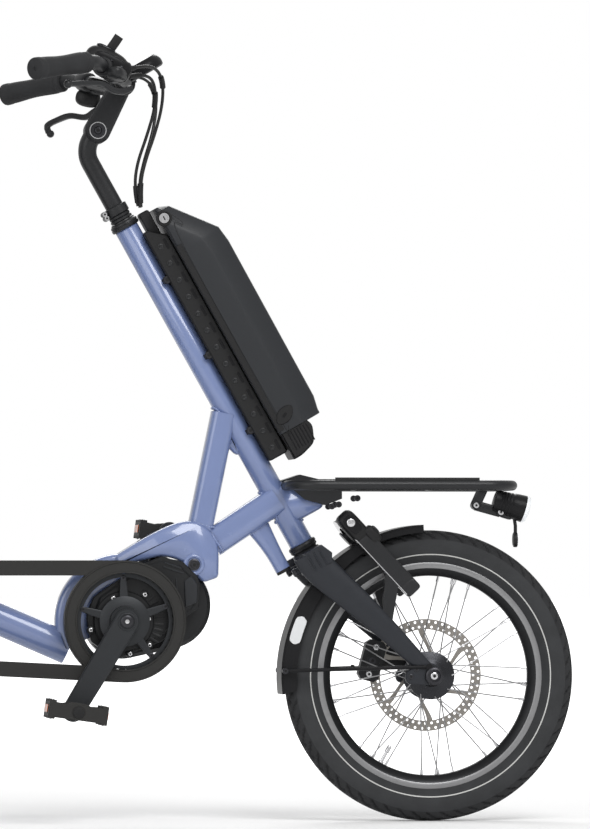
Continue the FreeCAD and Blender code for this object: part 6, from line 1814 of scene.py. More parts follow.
@dataclass
class RingLock:
    """The horseshoe lock's bright edge plate, key block and slide, over its coated band."""

    top: tuple[float, float] = (-0.143, 0.487)
    foot: tuple[float, float] = (-0.034, 0.371)
    half: float = 0.060
    band: float = 0.013
    thick: float = 0.024

    def build(self) -> bpy.types.Object:
        """Makes the details."""
        shell = Shell()
        top, foot = at(*self.top), at(*self.foot)
        length, down = float(np.linalg.norm(foot - top)), unit(foot - top)
        face = np.cross(down, LEFT)
        angle = np.linspace(0.0, math.pi, 48)[:, None]
        inner = self.half - self.band / 2
        arch = top + down * (self.half - np.sin(angle) * inner) + LEFT * np.cos(angle) * inner
        path = np.concatenate([[foot + LEFT * inner], arch, [foot - LEFT * inner]])
        for offset, finish, grow in ((-self.thick / 2 - 0.0006, STEEL, 1.0),
                                     (self.thick / 2 + 0.0004, SATIN_BLACK, 0.8)):
            shell.bar(path + face * offset, self.band / 2 * grow + 0.001, 0.0011, finish, 12, 5.0, face)
        self.key_block(shell, top, down, face)
        for side in (1, -1):
            foot = at(*self.foot) + LEFT * side * (self.half - self.band / 2)
            shell.grid(pod(foot - down * 0.004, down * 0.011, LEFT * 0.0072, face * 0.0135, 5.0), SATIN_BLACK)
            lug = foot - down * (length * 0.30)
            shell.bolt(lug - face * (self.thick / 2 + 0.001), -face, 0.0052, 0.0036, DARK_STEEL)
        return shell.object("ring_lock_fittings", Body.STEERING, "black_metal", sharp=35.0)

    def key_block(self, shell: Shell, top: Array, down: Array, face: Array) -> None:
        """The key's housing on the right shoulder, its window, slide and cover."""
        spot = top + down * 0.022 - LEFT * 0.040
        shell.grid(pod(spot, down * 0.027, LEFT * 0.0215, face * 0.0150, 4.5, 20, 44), DOCK_BLACK)
        window = spot - LEFT * 0.0205 - down * 0.004
        shell.grid(pod(window, down * 0.0165, face * 0.0095, LEFT * 0.0022, 4.0), SHINY_PLASTIC)
        shell.lathe([(0.0066, 0.0), (0.0066, 0.0014), (0.0056, 0.0020), (0.0030, 0.0020), (0.0026, 0.0008)],
                    spot - LEFT * 0.0222 - down * 0.008, -LEFT, STEEL, 28)
        slide = top + down * 0.052 - LEFT * 0.052 + face * 0.013
        shell.grid(pod(slide, down * 0.016, LEFT * 0.010, face * 0.009, 3.6), DOCK_BLACK)
        button = slide + face * 0.007 - down * 0.002
        shell.grid(pod(button, down * 0.009, LEFT * 0.0065, face * 0.005, 3.0), SATIN_BLACK)


@dataclass
class MudguardDetails:
    """The front mudguard's skirts, silver reflector patches, stay eyes' screws and rolled edge."""

    start: float = math.radians(93.0)
    end: float = math.radians(187.0)
    edge_r: float = 0.2395
    edge_y: float = 0.0338
    skirt_start: float = math.radians(112.0)
    skirt_top: float = 0.2318
    skirt_y: float = 0.0330
    skirt_least: float = 0.0012
    skirt_more: float = 0.0068
    patch_start: float = math.radians(155.5)
    patch_end: float = math.radians(167.0)
    patch_r: float = 0.2272
    patch_y: float = 0.0346
    patch_half: float = 0.0092
    eye_turn: float = math.radians(178.0)
    eye_r: float = 0.2365
    eye_y: float = 0.0455

    def build(self) -> bpy.types.Object:
        """Makes the details."""
        shell = Shell()
        skirt = np.linspace(self.skirt_start, self.end - 0.01, 60)
        deep = self.skirt_least + self.skirt_more * np.sin(np.linspace(0.0, math.pi * 0.72, 60)) ** 0.7
        patch = np.linspace(self.patch_start, self.patch_end, 14)
        width = self.patch_half * np.clip(1 - np.linspace(-1, 1, 14) ** 8, 0.05, 1) ** 0.5
        edge = np.linspace(self.start + 0.004, self.end - 0.004, 90)
        for side in (1, -1):
            shell.bar(round_hub(FRONT_HUB, self.skirt_top - deep, skirt, side * self.skirt_y), deep, 0.0009,
                      SHINY_PLASTIC, 16)
            shell.bar(round_hub(FRONT_HUB, self.patch_r, patch, side * self.patch_y), width, 0.0010, SILVER)
            eye = round_hub(FRONT_HUB, self.eye_r, self.eye_turn, side * self.eye_y)
            shell.bolt(eye, LEFT * side, 0.0050, 0.0034, DARK_STEEL)
            shell.tube(round_hub(FRONT_HUB, self.edge_r, edge, side * self.edge_y), 0.0014, SHINY_PLASTIC, LEFT, 8)
        return shell.object("mudguard_trim", Body.STEERING, "mudguard_plastic")


@dataclass
class CarrierFittings:
    """Bolts of the front carrier's bracket, and rubber strips on its bars."""

    z: float = 0.536
    strip_rise: float = 0.0074
    strip_y: float = 0.112

    def build(self) -> bpy.types.Object:
        """Makes the fittings."""
        shell = Shell()
        for x, z in ((-0.159, 0.503), (-0.148, 0.506), (-0.118, 0.516)):
            for side in (1, -1):
                shell.bolt(at(x, z, side * 0.0228), LEFT * side, 0.0050, 0.0030, DARK_STEEL)
        for x in (-0.1103, 0.0113):
            for y in (-0.030, 0.030):
                place = Plane(at(x, self.z + 0.0088, y), WORLD_X, LEFT)
                shell.box(place, 0.010, 0.008, -0.0002, 0.0022, SOFT_BLACK, 0.004)
        for side in (1, -1):
            start, end = (at(x, self.z + self.strip_rise, side * self.strip_y) for x in (-0.165, 0.066))
            shell.bar(straight(start, end, 24), 0.0048, 0.0014, SOFT_BLACK, 14)
        return shell.object("carrier_fittings", Body.FRAME, "black_metal")


@dataclass
class Headlamp:
    """The headlamp's tapered body with cooling rings and a clear lens, on two hinged links."""

    centre: tuple[float, float] = (0.134, 0.505)
    tilt: float = math.radians(-16.0)
    ribs: int = 4
    rib_r: float = 0.0180
    rib_grow: float = 0.0004
    rib_start: float = -0.022
    rib_pitch: float = 0.0055

    def build(self) -> list[bpy.types.Object]:
        """Makes the lamp and its links."""
        axis = rays(self.tilt)
        centre = at(*self.centre)
        body = Shell()
        rings = [(0.0150, -0.029), (0.0172, -0.028), (0.0178, -0.024)]
        for k in range(self.ribs):
            r, h = self.rib_r + self.rib_grow * k, self.rib_start + self.rib_pitch * k
            rings += [(r, h), (r + 0.0006, h + 0.0015), (r + 0.0006, h + 0.0040), (r + 0.0001, h + 0.0050)]
        rings += [(0.0208, 0.004), (0.0216, 0.018), (0.0218, 0.0215), (0.0205, 0.0222)]
        body.lathe(rings, centre, axis, SHINY_PLASTIC, 60)
        lens = [(0.0205, 0.0205), (0.0219, 0.0215), (0.0219, 0.0245), (0.0200, 0.0275), (0.0130, 0.0290),
                (0.002, 0.0296)]
        body.lathe(lens, centre, axis, CLEAR_LENS, 60)
        lamp = body.object("headlamp_body", Body.FRAME, "black_plastic", ["headlamp"], sharp=32.0)
        links = Shell()
        top, elbow, low = at(0.088, 0.531), at(0.076, 0.505), at(0.116, 0.494)
        for start, end, half in ((top, elbow, 0.0066), (elbow, low, 0.0058)):
            links.bar(straight(start, end, 8), 0.0082, half, SATIN_BLACK, 24, 4.5)
        for spot in (elbow, low):
            for side in (1, -1):
                links.rod(spot, spot + LEFT * side * 0.0100, 0.0072, SATIN_BLACK, 0.001, 28)
                links.bolt(spot + LEFT * side * 0.0100, LEFT * side, 0.0044, 0.0022, STEEL)
        links.grid(pod(at(0.100, 0.5325), WORLD_X * 0.020, LEFT * 0.014, WORLD_Z * 0.0048, 5.0), SATIN_BLACK)
        links.grid(pod(at(0.124, 0.4905), axis * 0.011, LEFT * 0.0075, WORLD_Z * 0.0068, 4.0), SATIN_BLACK)
        made = links.object("lamp_links", Body.FRAME, "black_metal", ["lamp_bracket"], sharp=35.0)
        return [lamp, made, self.reflector()]

    def reflector(self) -> bpy.types.Object:
        """The round reflector in its cup below the lamp."""
        shell = Shell()
        centre = at(0.138, 0.450)
        shell.lathe([(0.0100, -0.0008), (0.0118, 0.0), (0.0122, 0.0012), (0.0122, 0.0048), (0.0116, 0.0054)], centre,
                    WORLD_X, DOCK_BLACK, 44)
        shell.lathe([(0.0114, 0.0046), (0.0112, 0.0060), (0.0080, 0.0066), (0.001, 0.0068)], centre, WORLD_X,
                    CLEAR_LENS, 44)
        stalk = np.array([centre + WORLD_X * x + WORLD_Z * z
                          for x, z in ((0.003, 0.010), (0.003, 0.022), (0.001, 0.036))])
        shell.tube(stalk, 0.0028, DOCK_BLACK, LEFT, 14)
        return shell.object("front_reflector_cup", Body.FRAME, "black_plastic", ["front_reflector"])


# Motor, chain guard, cranks and pedals
def link_outline(length: float, start_r: float, end_r: float, steps: int = 22) -> Array:
    """A link's outline: two arcs about (0, 0) and (length, 0) joined by their tangents."""
    tilt = math.acos((start_r - end_r) / length)
    first = np.linspace(tilt, TAU - tilt, steps)
    last = np.linspace(-tilt, tilt, steps)
    return np.concatenate([start_r * np.column_stack([np.cos(first), np.sin(first)]),
                           end_r * np.column_stack([np.cos(last), np.sin(last)]) + [length, 0.0]])


@dataclass
class MotorHousing:
    """The cast motor housing: round on the left, with a faceted gearbox half and raised panels on the right.

    Outlines are in millimetres ahead of and above the crank axle.
    """

    split_y: float = -0.010
    half: float = 0.036
    boss_y: float = 0.0645
    rear_r: float = 0.060
    front_r: float = 0.069
    middle: tuple[float, float] = (0.073, 0.025)
    gearbox: tuple[tuple[float, float], ...] = (
        (-59, 8), (-52, -32), (-13, -61), (62, -32), (99, 6), (120, 20), (123, 57), (118.6, 71.3), (94.4, 95.3),
        (74.9, 99.1), (62.6, 103.7), (34, 92), (-20, 58), (-48, 38))
    panel: tuple[tuple[float, float], ...] = ((98, 22), (117, 30), (118, 58), (108, 72), (96, 64))
    ridges: tuple[tuple[float, float, float, float], ...] = (
        (66, 93, 92, 84), (63, 87, 96, 76), (84, 68, 86, 14), (77, 66, 78, 2))

    def build(self) -> bpy.types.Object:
        """Makes the housing."""
        shell = Shell()
        ahead, rise = self.middle
        place = side_plane(CRANK_AXLE, math.atan2(rise, ahead))
        outline = link_outline(math.hypot(ahead, rise), self.rear_r, self.front_r, 40)
        shell.plate(outline, place, -self.half, -self.split_y, CAST_BLACK, 0.006)
        shell.plate(outline * 0.90 + [0.004, 0.0], place, -self.half - 0.0016, -self.half + 0.004, CAST_BLACK, 0.002)
        flat = side_plane(CRANK_AXLE)
        facets = np.array(self.gearbox) / 1000
        shell.plate(rounded_outline(facets, 0.0035, 3), flat, -self.split_y - 0.004, self.half - 0.004, CAST_BLACK,
                    0.0012)
        middle = facets.mean(axis=0)
        raised = rounded_outline(middle + (facets - middle) * 0.90, 0.004, 3)
        shell.plate(raised, flat, self.half - 0.006, self.half, CAST_BLACK, 0.0030)
        panel = rounded_outline(np.array(self.panel) / 1000, 0.002, 3)
        shell.plate(panel, flat, self.half - 0.001, self.half + 0.0022, CASE_BLACK, 0.0012)
        for ends in np.array(self.ridges) / 1000:
            start, end = (CRANK_AXLE + WORLD_X * x + WORLD_Z * z - LEFT * self.half for x, z in ends.reshape(2, 2))
            shell.bar(np.array([start, (start + end) / 2, end]), 0.0012, 0.0016, CASE_BLACK, 10)
        shell.rod(CRANK_AXLE + LEFT * (self.half - 0.004), CRANK_AXLE + LEFT * self.boss_y, 0.024, CAST_BLACK, 0.002,
                  48)
        return shell.object("motor_housing", Body.FRAME, "motor_casing", ["motor_unit"], sharp=28.0)


@dataclass
class MotorDetails:
    """Cover bolts, seam rings, the hanger's bolts and the plug of the motor.

    Lugs are given as the turn from straight ahead and the distance from the crank axle, and the crank's
    bosses as radius and height.
    """

    centre: tuple[float, float] = (-0.421, 0.345)
    plate_y: float = 0.0358
    hanger_y: float = 0.028
    bolt_ring: float = 0.0555
    steps: tuple[tuple[float, float], ...] = ((0.0480, 0.0040), (0.0330, 0.0075), (0.0235, 0.0118))
    lugs: tuple[tuple[float, float], ...] = (
        (0.9, 0.0540), (-0.75, 0.0560), (2.0, 0.0400), (3.4, 0.0545), (4.9, 0.0530), (0.1, 0.0400))
    fins: tuple[int, ...] = tuple(range(-32, 41, 9))

    def build(self) -> bpy.types.Object:
        """Makes both sides' fittings."""
        shell = Shell()
        centre = at(*self.centre)
        shell.lathe([(0.0500, -0.0010), (0.0498, 0.0012), (0.0455, 0.0030), (0.0300, 0.0030), (0.0297, 0.0018),
                     (0.0060, 0.0018), (0.002, 0.0018)], centre + LEFT * self.plate_y, LEFT, CAST_BLACK, 72)
        for index in range(8):
            spot = round_hub(centre, self.bolt_ring, TAU * (index + 0.5) / 8, self.plate_y + 0.0010)
            shell.bolt(spot, LEFT, 0.0034, 0.0020, DARK_STEEL)
        right = CRANK_AXLE - LEFT * (self.plate_y + 0.0002)
        for radius, tall in self.steps:
            shell.lathe([(radius, -0.001), (radius, tall - 0.0012), (radius - 0.0014, tall), (0.0150, tall)], right,
                        -LEFT, CAST_BLACK, 72)
        for turn, radius in self.lugs:
            spot = round_hub(right, radius, turn)
            shell.lathe([(0.0062, -0.001), (0.0060, 0.0030), (0.0048, 0.0036)], spot, -LEFT, CAST_BLACK, 24)
            shell.bolt(spot - LEFT * 0.0036, -LEFT, 0.0036, 0.0020, STEEL)
        for turn in np.radians(self.fins):
            shell.bar(round_hub(right, np.array([0.0500, 0.0570, 0.0640]), turn), 0.0022, 0.0010, CAST_BLACK, 10)
        for side in (1, -1):
            foot = at(-0.381, 0.4095, side * self.hanger_y)
            shell.lathe([(0.0092, -0.001), (0.0090, 0.0012), (0.0055, 0.0014)], foot, LEFT * side, DARK_STEEL, 28)
            shell.bolt(foot + LEFT * side * 0.0012, LEFT * side, 0.0062, 0.0042, DARK_STEEL)
        self.plug(shell, centre)
        return shell.object("motor_fittings", Body.FRAME, "motor_casing")

    def plug(self, shell: Shell, centre: Array) -> None:
        """The connector at the casing's top, where the loom ends."""
        spot = centre + np.array([-0.020, 0.030, 0.066])
        shell.rod(spot - WORLD_Z * 0.006, spot + WORLD_Z * 0.010, 0.0070, DOCK_BLACK, 0.001, 24)
        shell.rod(spot + WORLD_Z * 0.0095, spot + WORLD_Z * 0.015, 0.0052, SOFT_BLACK, 0.001, 20)


@dataclass
class GuardDetails:
    """The chain guard's rolled lips and seam."""

    y: float = -0.052
    half: float = 0.0125
    ring_r: float = 0.0968
    inner_r: float = 0.0767
    rear_r: float = 0.080
    boss_r: float = 0.0515

    def build(self) -> bpy.types.Object:
        """Makes the details along the guard's ring and runs."""
        shell = Shell()
        for side in (1, -1):
            y = self.y + side * self.half
            for centre, radius, thick in ((CRANK_AXLE, self.inner_r + 0.0012, 0.0016),
                                          (CRANK_AXLE, self.ring_r - 0.0022, 0.0014),
                                          (JACKSHAFT, self.rear_r - 0.0030, 0.0014), (JACKSHAFT, self.boss_r, 0.0016)):
                shell.tube(round_hub(centre, radius, whole_turn(120), y), thick, GUARD_BLACK, LEFT, 10, closed=True)
        return shell.object("chain_guard_trim", Body.FRAME, "black_plastic")


@dataclass
class Cranks:
    """Flat crank arms with eased edges, bright axle bolts and the chainring's bolts."""

    length: float = 0.165
    turn: float = math.radians(90.0 - 211.1)
    inner: float = 0.078
    thick: float = 0.013
    pin_end: float = 0.174
    ring_y: float = -0.052
    ring_half: float = 0.0020
    ring_in: float = 0.0700
    tip_r: float = 0.081
    root_r: float = 0.076
    teeth: int = 38
    spider_turn: float = math.radians(20.0)

    def arm(self, side: int) -> bpy.types.Object:
        """One arm, with the axle in one with the right arm, and its pedal's pin."""
        shell = Shell()
        turn = self.turn + (math.pi if side > 0 else 0.0)
        place = side_plane(CRANK_AXLE, turn)
        low, high = sorted((-side * self.inner, -side * (self.inner + self.thick)))
        shell.plate(link_outline(self.length, 0.0198, 0.0172), place, low, high, CRANK_BLACK, 0.0022)
        out, end = LEFT * side, place.origin + place.across * self.length
        face = CRANK_AXLE + out * (self.inner + self.thick - 0.0003)
        shell.lathe([(0.0142, 0.0), (0.0140, 0.0018), (0.0122, 0.0022), (0.0116, 0.0008), (0.0105, 0.0006)], face, out,
                    CRANK_BLACK, 48)
        shell.bolt(face, out, 0.0098, 0.0036, DARK_STEEL)
        shell.lathe([(0.0036, 0.0), (0.0034, 0.0010), (0.0010, 0.0012)], face + out * 0.0030, out, STEEL, 20)
        tip = end + out * (self.inner + self.thick - 0.0003)
        shell.lathe([(0.0100, 0.0), (0.0098, 0.0008), (0.0070, 0.0010)], tip, out, DARK_STEEL, 32)
        back = end + out * (self.inner + 0.0003)
        shell.lathe([(0.0100, 0.0), (0.0096, 0.0010), (0.0040, 0.0012), (0.001, 0.0004)], back, -out, DARK_STEEL, 32)
        shell.rod(end + out * (self.inner + self.thick - 0.001), end + out * self.pin_end, 0.0062, STEEL, 0.0012, 24)
        if side < 0:
            half = LEFT * (self.inner + 0.002)
            shell.rod(CRANK_AXLE - half, CRANK_AXLE + half, 0.0118, DARK_STEEL, 0.001, 36)
        name = side_name(side)
        return shell.object(f"crank_arm_{name}", Body.CRANKSET, "crank_black", [f"crank_{name}"])

    def chainring(self) -> bpy.types.Object:
        """The toothed ring hidden in the guard, on a slim five-armed spider with its sleeve and bolts."""
        shell = Shell()
        y, half = self.ring_y, self.ring_half
        tooth = np.where((np.arange(self.teeth * 4) % 4) < 2, self.tip_r, self.root_r)
        section = np.array([(self.ring_in, -half), (0.0, -half), (0.0, half), (self.ring_in, half)])
        radius = np.where(section[:, 0] > 0, section[:, 0], tooth[:, None])
        ring = round_hub(CRANK_AXLE, radius, whole_turn(self.teeth * 4)[:, None], y)
        shell.grid(ring + section[:, 1:] * LEFT, CRANK_BLACK, closed_rows=True)
        for index in range(5):
            angle = TAU * index / 5 + self.spider_turn
            path = round_hub(CRANK_AXLE, np.linspace(0.030, self.ring_in + 0.003, 10), angle, y)
            shell.bar(path, np.linspace(0.0075, 0.0042, 10), half, CRANK_BLACK)
            spot = round_hub(CRANK_AXLE, self.ring_in - 0.001, angle, y - half)
            shell.bolt(spot, -LEFT, 0.0042, 0.0014, DARK_STEEL)
        shell.lathe([(0.0150, half), (0.0400, half), (0.0400, -half), (0.0380, -half - 0.001), (0.0250, -half - 0.0030),
                     (0.0240, -0.0180), (0.0150, -0.0180)], CRANK_AXLE + LEFT * y, LEFT, CRANK_BLACK, 72, ring=True)
        return shell.object("chainring_spider", Body.CRANKSET, "crank_black", ["chainring"], sharp=32.0)

    def build(self) -> list[bpy.types.Object]:
        """Makes both arms and the chainring's fittings."""
        return [self.arm(1), self.arm(-1), self.chainring()]


@dataclass
class Pedal:
    """A platform pedal: serrated treads, end plates, a barrel on its pin and amber reflector strips."""

    side: int
    half_x: float = 0.048
    half_y: float = 0.044
    thick: float = 0.030
    bar: float = 0.013
    tilt: float = math.radians(-8.0)
    middle_y: float = 0.143
    teeth: int = 7
    end_plate: tuple[tuple[float, float], ...] = (
        (-0.0440, -0.0125), (0.0440, -0.0125), (0.0440, 0.0125), (0.0200, 0.0105), (0.0110, 0.0145),
        (-0.0110, 0.0145), (-0.0200, 0.0105), (-0.0440, 0.0125))

    def centre(self) -> Array:
        """The middle of the pedal."""
        turn = Cranks.turn + (math.pi if self.side > 0 else 0.0)
        return round_hub(CRANK_AXLE, Cranks.length, turn, self.side * self.middle_y)

    def tread(self, shell: Shell, place: Plane, ahead: int) -> None:
        """One tread across the pedal, its upper and lower edges notched."""
        half, low, high = self.half_y - 0.001, self.thick / 2 - 0.0034, self.thick / 2
        count = self.teeth * 4
        share = np.linspace(-1.0, 1.0, count + 1)
        edge = np.where((np.arange(count + 1) % 4) < 2, high, low)
        top = np.column_stack([share * half, edge])
        outline = np.concatenate([top, top[::-1] * [1.0, -1.0]])
        side = Plane(place.origin + place.across * ahead * (self.half_x - self.bar / 2), LEFT, place.up)
        shell.plate(outline, side, -self.bar / 2 + 0.0012, self.bar / 2 - 0.0012, GUARD_BLACK, 0.0012)
        face = Plane(place.origin + place.across * ahead * (self.half_x - 0.0014), LEFT * ahead, place.up)
        shell.box(face, 0.0290, 0.0078, -0.0008, 0.0012, DOCK_BLACK, 0.003, 0.0004)
        for share_y in (-0.0146, 0.0146):
            strip = Plane(face.origin + LEFT * share_y, LEFT * ahead, place.up)
            shell.box(strip, 0.0128, 0.0060, 0.0008, 0.0020, AMBER, 0.002, 0.0004)

    def build(self) -> bpy.types.Object:
        """Makes the pedal."""
        shell = Shell()
        place = side_plane(self.centre(), self.tilt)
        for ahead in (1, -1):
            self.tread(shell, place, ahead)
        for out in (1, -1):
            end = Plane(place.origin + LEFT * out * (self.half_y - self.bar / 2), place.across, place.up)
            outline = rounded_outline(self.end_plate, 0.006, 6)
            shell.plate(outline, end, -self.bar / 2 + 0.0008, self.bar / 2 - 0.0008, GUARD_BLACK, 0.0016)
            for ahead in (1, -1):
                for rise in (1, -1):
                    spot = place.origin + place.across * ahead * (self.half_x - self.bar / 2) + LEFT * out * 0.026
                    shell.bolt(spot + place.up * rise * (self.thick / 2 - 0.0012), place.up * rise, 0.0022, 0.0022,
                               STEEL)
        outer = LEFT * self.side
        half = [(0.0112, 0.020), (0.0128, 0.030), (0.0122, 0.0415), (0.0105, 0.0435)]
        shell.lathe(mirrored(half), place.origin, outer, GUARD_BLACK, 36)
        for rise in (1, -1):
            web = Plane(place.origin + place.up * rise * 0.0085, place.across, LEFT)
            shell.box(web, 0.0120, 0.0340, -0.0016, 0.0016, GUARD_BLACK, 0.003)
        shell.lathe([(0.0092, 0.0), (0.0088, 0.0022), (0.0050, 0.0030), (0.001, 0.0030)],
                    place.origin + outer * 0.0436, outer, DOCK_BLACK, 32)
        body, name = (Body.PEDAL_LEFT if self.side > 0 else Body.PEDAL_RIGHT), side_name(self.side)
        return shell.object(f"pedal_platform_{name}", body, "pedal_black", [f"pedal_{name}"])


# Seat
def points_in(mesh: bpy.types.Mesh) -> Array:
    """A mesh's points as an array."""
    flat = np.empty(len(mesh.vertices) * 3)
    mesh.vertices.foreach_get("co", flat)
    return flat.reshape(-1, 3)


def evaluated(piece: bpy.types.Object) -> bpy.types.Mesh:
    """The mesh that a piece's modifiers give now."""
    return bpy.data.meshes.new_from_object(piece.evaluated_get(bpy.context.evaluated_depsgraph_get()))


def evenly(outline: Array, count: int) -> Array:
    """A closed outline's points spread evenly along it."""
    loop = np.concatenate([outline, outline[:1]])
    passed = np.concatenate([[0.0], np.cumsum(np.linalg.norm(np.diff(loop, axis=0), axis=1))])
    stops = np.linspace(0.0, passed[-1], count, endpoint=False)
    return np.stack([np.interp(stops, passed, loop[:, axis]) for axis in range(loop.shape[1])], -1)


@dataclass
class Cushion:
    """A stuffed cushion: simulated cloth, with its sewn channels and piping made after it.

    A point of it is centre + u LEFT + v along + w out, in metres.
    """

    name: str
    node: str
    centre: Array
    along: Array
    out: Array
    half_width: float
    half_length: float
    half_thick: float
    channels: tuple[float, ...]
    inset: float = 0.012
    corner: float = 0.090
    round_share: float = 0.85
    voxel: float = 0.006
    pressure: float = 4.0
    frames: int = 20
    cap: float = 0.022
    crown: float = 0.003
    channel_depth: float = 0.0075
    channel_width: float = 0.007
    piping_r: float = 0.0027
    piping_share: float = 0.30
    seam_pull: float = 0.010
    bins: int = 160
    layers: int = 15
    fewest: int = 8
    stitch_r: float = 0.0005
    stitch_margin: float = 0.02
    stitch_pitch: float = 0.0075
    stitch_share: float = 0.6

    def to_place(self, u: Array, v: Array, w: Array) -> Array:
        """Points from the cushion's own lengths."""
        return self.centre + u[..., None] * LEFT + v[..., None] * self.along + w[..., None] * self.out

    def blank(self) -> Array:
        """The sewn cover before it is stuffed: a slab with round edges, inset from its space."""
        rise = np.sin(np.linspace(-math.pi / 2, math.pi / 2, self.layers))
        half_u, half_v = self.half_width - self.inset, self.half_length - self.inset
        half_w = self.half_thick - self.inset * 0.6
        corners = [(-half_u, -half_v), (half_u, -half_v), (half_u, half_v), (-half_u, half_v)]
        flat = evenly(rounded_outline(corners, self.corner, 12), self.bins)
        ease = half_w * self.round_share * (1 - np.sqrt(1 - np.abs(rise) ** 2.5 + 1e-9))
        u = flat[None, :, 0] * (1 - ease / half_u)[:, None]
        v = flat[None, :, 1] * (1 - ease / half_v)[:, None]
        return self.to_place(u, v, np.broadcast_to(half_w * rise[:, None], u.shape))

    def refine(self, piece: bpy.types.Object) -> None:
        """Gives the cover an even fine mesh."""
        remesh = piece.modifiers.new("remesh", "REMESH")
        remesh.mode, remesh.voxel_size = "VOXEL", self.voxel
        mesh = evaluated(piece)
        piece.modifiers.clear()
        piece.data = mesh

    def stuff(self, piece: bpy.types.Object) -> None:
        """Swells the cover under pressure with Blender's cloth, capping how far each point moves."""
        rest = points_in(piece.data)
        cloth = piece.modifiers.new("cloth", "CLOTH")
        cloth.settings.use_pressure = True
        cloth.settings.uniform_pressure_force = self.pressure
        cloth.settings.effector_weights.gravity = 0.0
        scene = bpy.context.scene
        for frame in range(1, self.frames + 1):
            scene.frame_set(frame)
        swollen = evaluated(piece)
        piece.modifiers.clear()
        move = points_in(swollen) - rest
        bpy.data.meshes.remove(swollen)
        scene.frame_set(1)
        far = np.linalg.norm(move, axis=1, keepdims=True)
        self.write(piece, rest + move * np.minimum(1.0, self.cap / np.maximum(far, 1e-9)))
        LOG.info("%s: cloth moved its points by up to %.1f mm", self.name, 1000 * float(far.max()))

    def write(self, piece: bpy.types.Object, points: Array) -> None:
        """Gives the mesh its points."""
        piece.data.vertices.foreach_set("co", points.ravel())
        piece.data.update()

    def sew(self, piece: bpy.types.Object) -> Array:
        """Fits the cover to its space, flat where it rests, and pulls in the channels and the seam.

        Returns:
            The points as (u, v, w).
        """
        rel = points_in(piece.data) - self.centre
        own = np.stack([rel @ LEFT, rel @ self.along, rel @ self.out], -1)
        own[:, 0] *= self.half_width / np.abs(own[:, 0]).max()
        own[:, 1] *= self.half_length / np.abs(own[:, 1]).max()
        own[:, 2] *= (self.half_thick + self.crown) / own[:, 2].max()
        own[:, 2] = np.maximum(own[:, 2], -self.half_thick)
        top = np.clip(own[:, 2] / self.half_thick, 0.0, 1.0)
        for channel in self.channels:
            own[:, 2] -= self.channel_depth * top * np.exp(-((own[:, 0] - channel) / self.channel_width) ** 2)
        seam = np.exp(-((own[:, 2] - self.piping_share * self.half_thick) / (2 * self.piping_r)) ** 2)
        reach = np.hypot(own[:, 0] / self.half_width, own[:, 1] / self.half_length)[:, None]
        own[:, :2] *= 1 - self.seam_pull * seam[:, None] * np.clip(reach * 2 - 1, 0.0, 1.0)
        self.write(piece, self.to_place(own[:, 0], own[:, 1], own[:, 2]))
        return own

    def piping(self, own: Array) -> Array:
        """The seam's path: the cover's outermost points near the seam's height, evened out."""
        seam = self.piping_share * self.half_thick
        near = own[np.abs(own[:, 2] - seam) < self.voxel]
        u, v = near[:, 0] / self.half_width, near[:, 1] / self.half_length
        place = np.clip(((np.arctan2(v, u) + math.pi) / TAU * self.bins).astype(int), 0, self.bins - 1)
        reach = np.zeros(self.bins)
        np.maximum.at(reach, place, np.hypot(u, v))
        known = np.flatnonzero(reach)
        reach = np.interp(np.arange(self.bins), known, reach[known], period=self.bins)
        reach = (np.roll(reach, 1) + reach + np.roll(reach, -1)) / 3
        angle = (np.arange(self.bins) + 0.5) * TAU / self.bins - math.pi
        return self.to_place(reach * self.half_width * np.cos(angle), reach * self.half_length * np.sin(angle),
                             np.full(self.bins, seam))

    def build(self) -> list[bpy.types.Object]:
        """Makes the cushion and its piping."""
        shell = Shell()
        shell.grid(self.blank(), SEAT_CLOTH)
        piece = shell.object(self.name, Body.SEAT, "seat_fabric", [self.node], sharp=80.0)
        self.refine(piece)
        self.stuff(piece)
        own = self.sew(piece)
        piece.data.shade_smooth()
        smooth = piece.modifiers.new("smooth", "SUBSURF")
        smooth.levels = smooth.render_levels = 1
        trim = Shell()
        trim.tube(self.piping(own), self.piping_r, SEAT_EDGE, self.out, 8, closed=True)
        for channel in self.channels:
            line = own[(np.abs(own[:, 0] - channel) < self.voxel) & (own[:, 2] > self.piping_share * self.half_thick)]
            self.stitch(trim, channel, line)
        return [piece, trim.object(f"{self.name}_piping", Body.SEAT, "seat_fabric")]

    def stitch(self, trim: Shell, channel: float, line: Array) -> None:
        """A row of stitches along the bottom of a channel, following the cover."""
        if len(line) < self.fewest:
            return
        order = line[np.argsort(line[:, 1])]
        stops = np.arange(order[0, 1] + self.stitch_margin, order[-1, 1] - self.stitch_margin, self.stitch_pitch)
        for stop in stops:
            pair = np.array([stop, stop + self.stitch_share * self.stitch_pitch])
            level = np.interp(pair, order[:, 1], order[:, 2]) + 0.6 * self.stitch_r
            trim.tube(self.to_place(np.full(2, channel), pair, level), self.stitch_r, STITCH, LEFT, 5)


def cushions() -> list[Cushion]:
    """The seat's cushion and the backrest's pad, in the spaces of their CAD nodes."""
    lean = math.radians(18.0)
    up, forward = rays(math.pi / 2 + lean), rays(lean)
    middle = at(-1.360, 0.536) + forward * 0.036 + up * 0.333
    return [Cushion("seat_cushion_cover", "seat_cushion", at(-1.149, 0.575), WORLD_X, WORLD_Z, 0.200, 0.169, 0.029,
                    (-0.078, 0.078)),
            Cushion("backrest_cover", "backrest_pad", middle, up, forward, 0.210, 0.235, 0.026, (-0.085, 0.0, 0.085))]


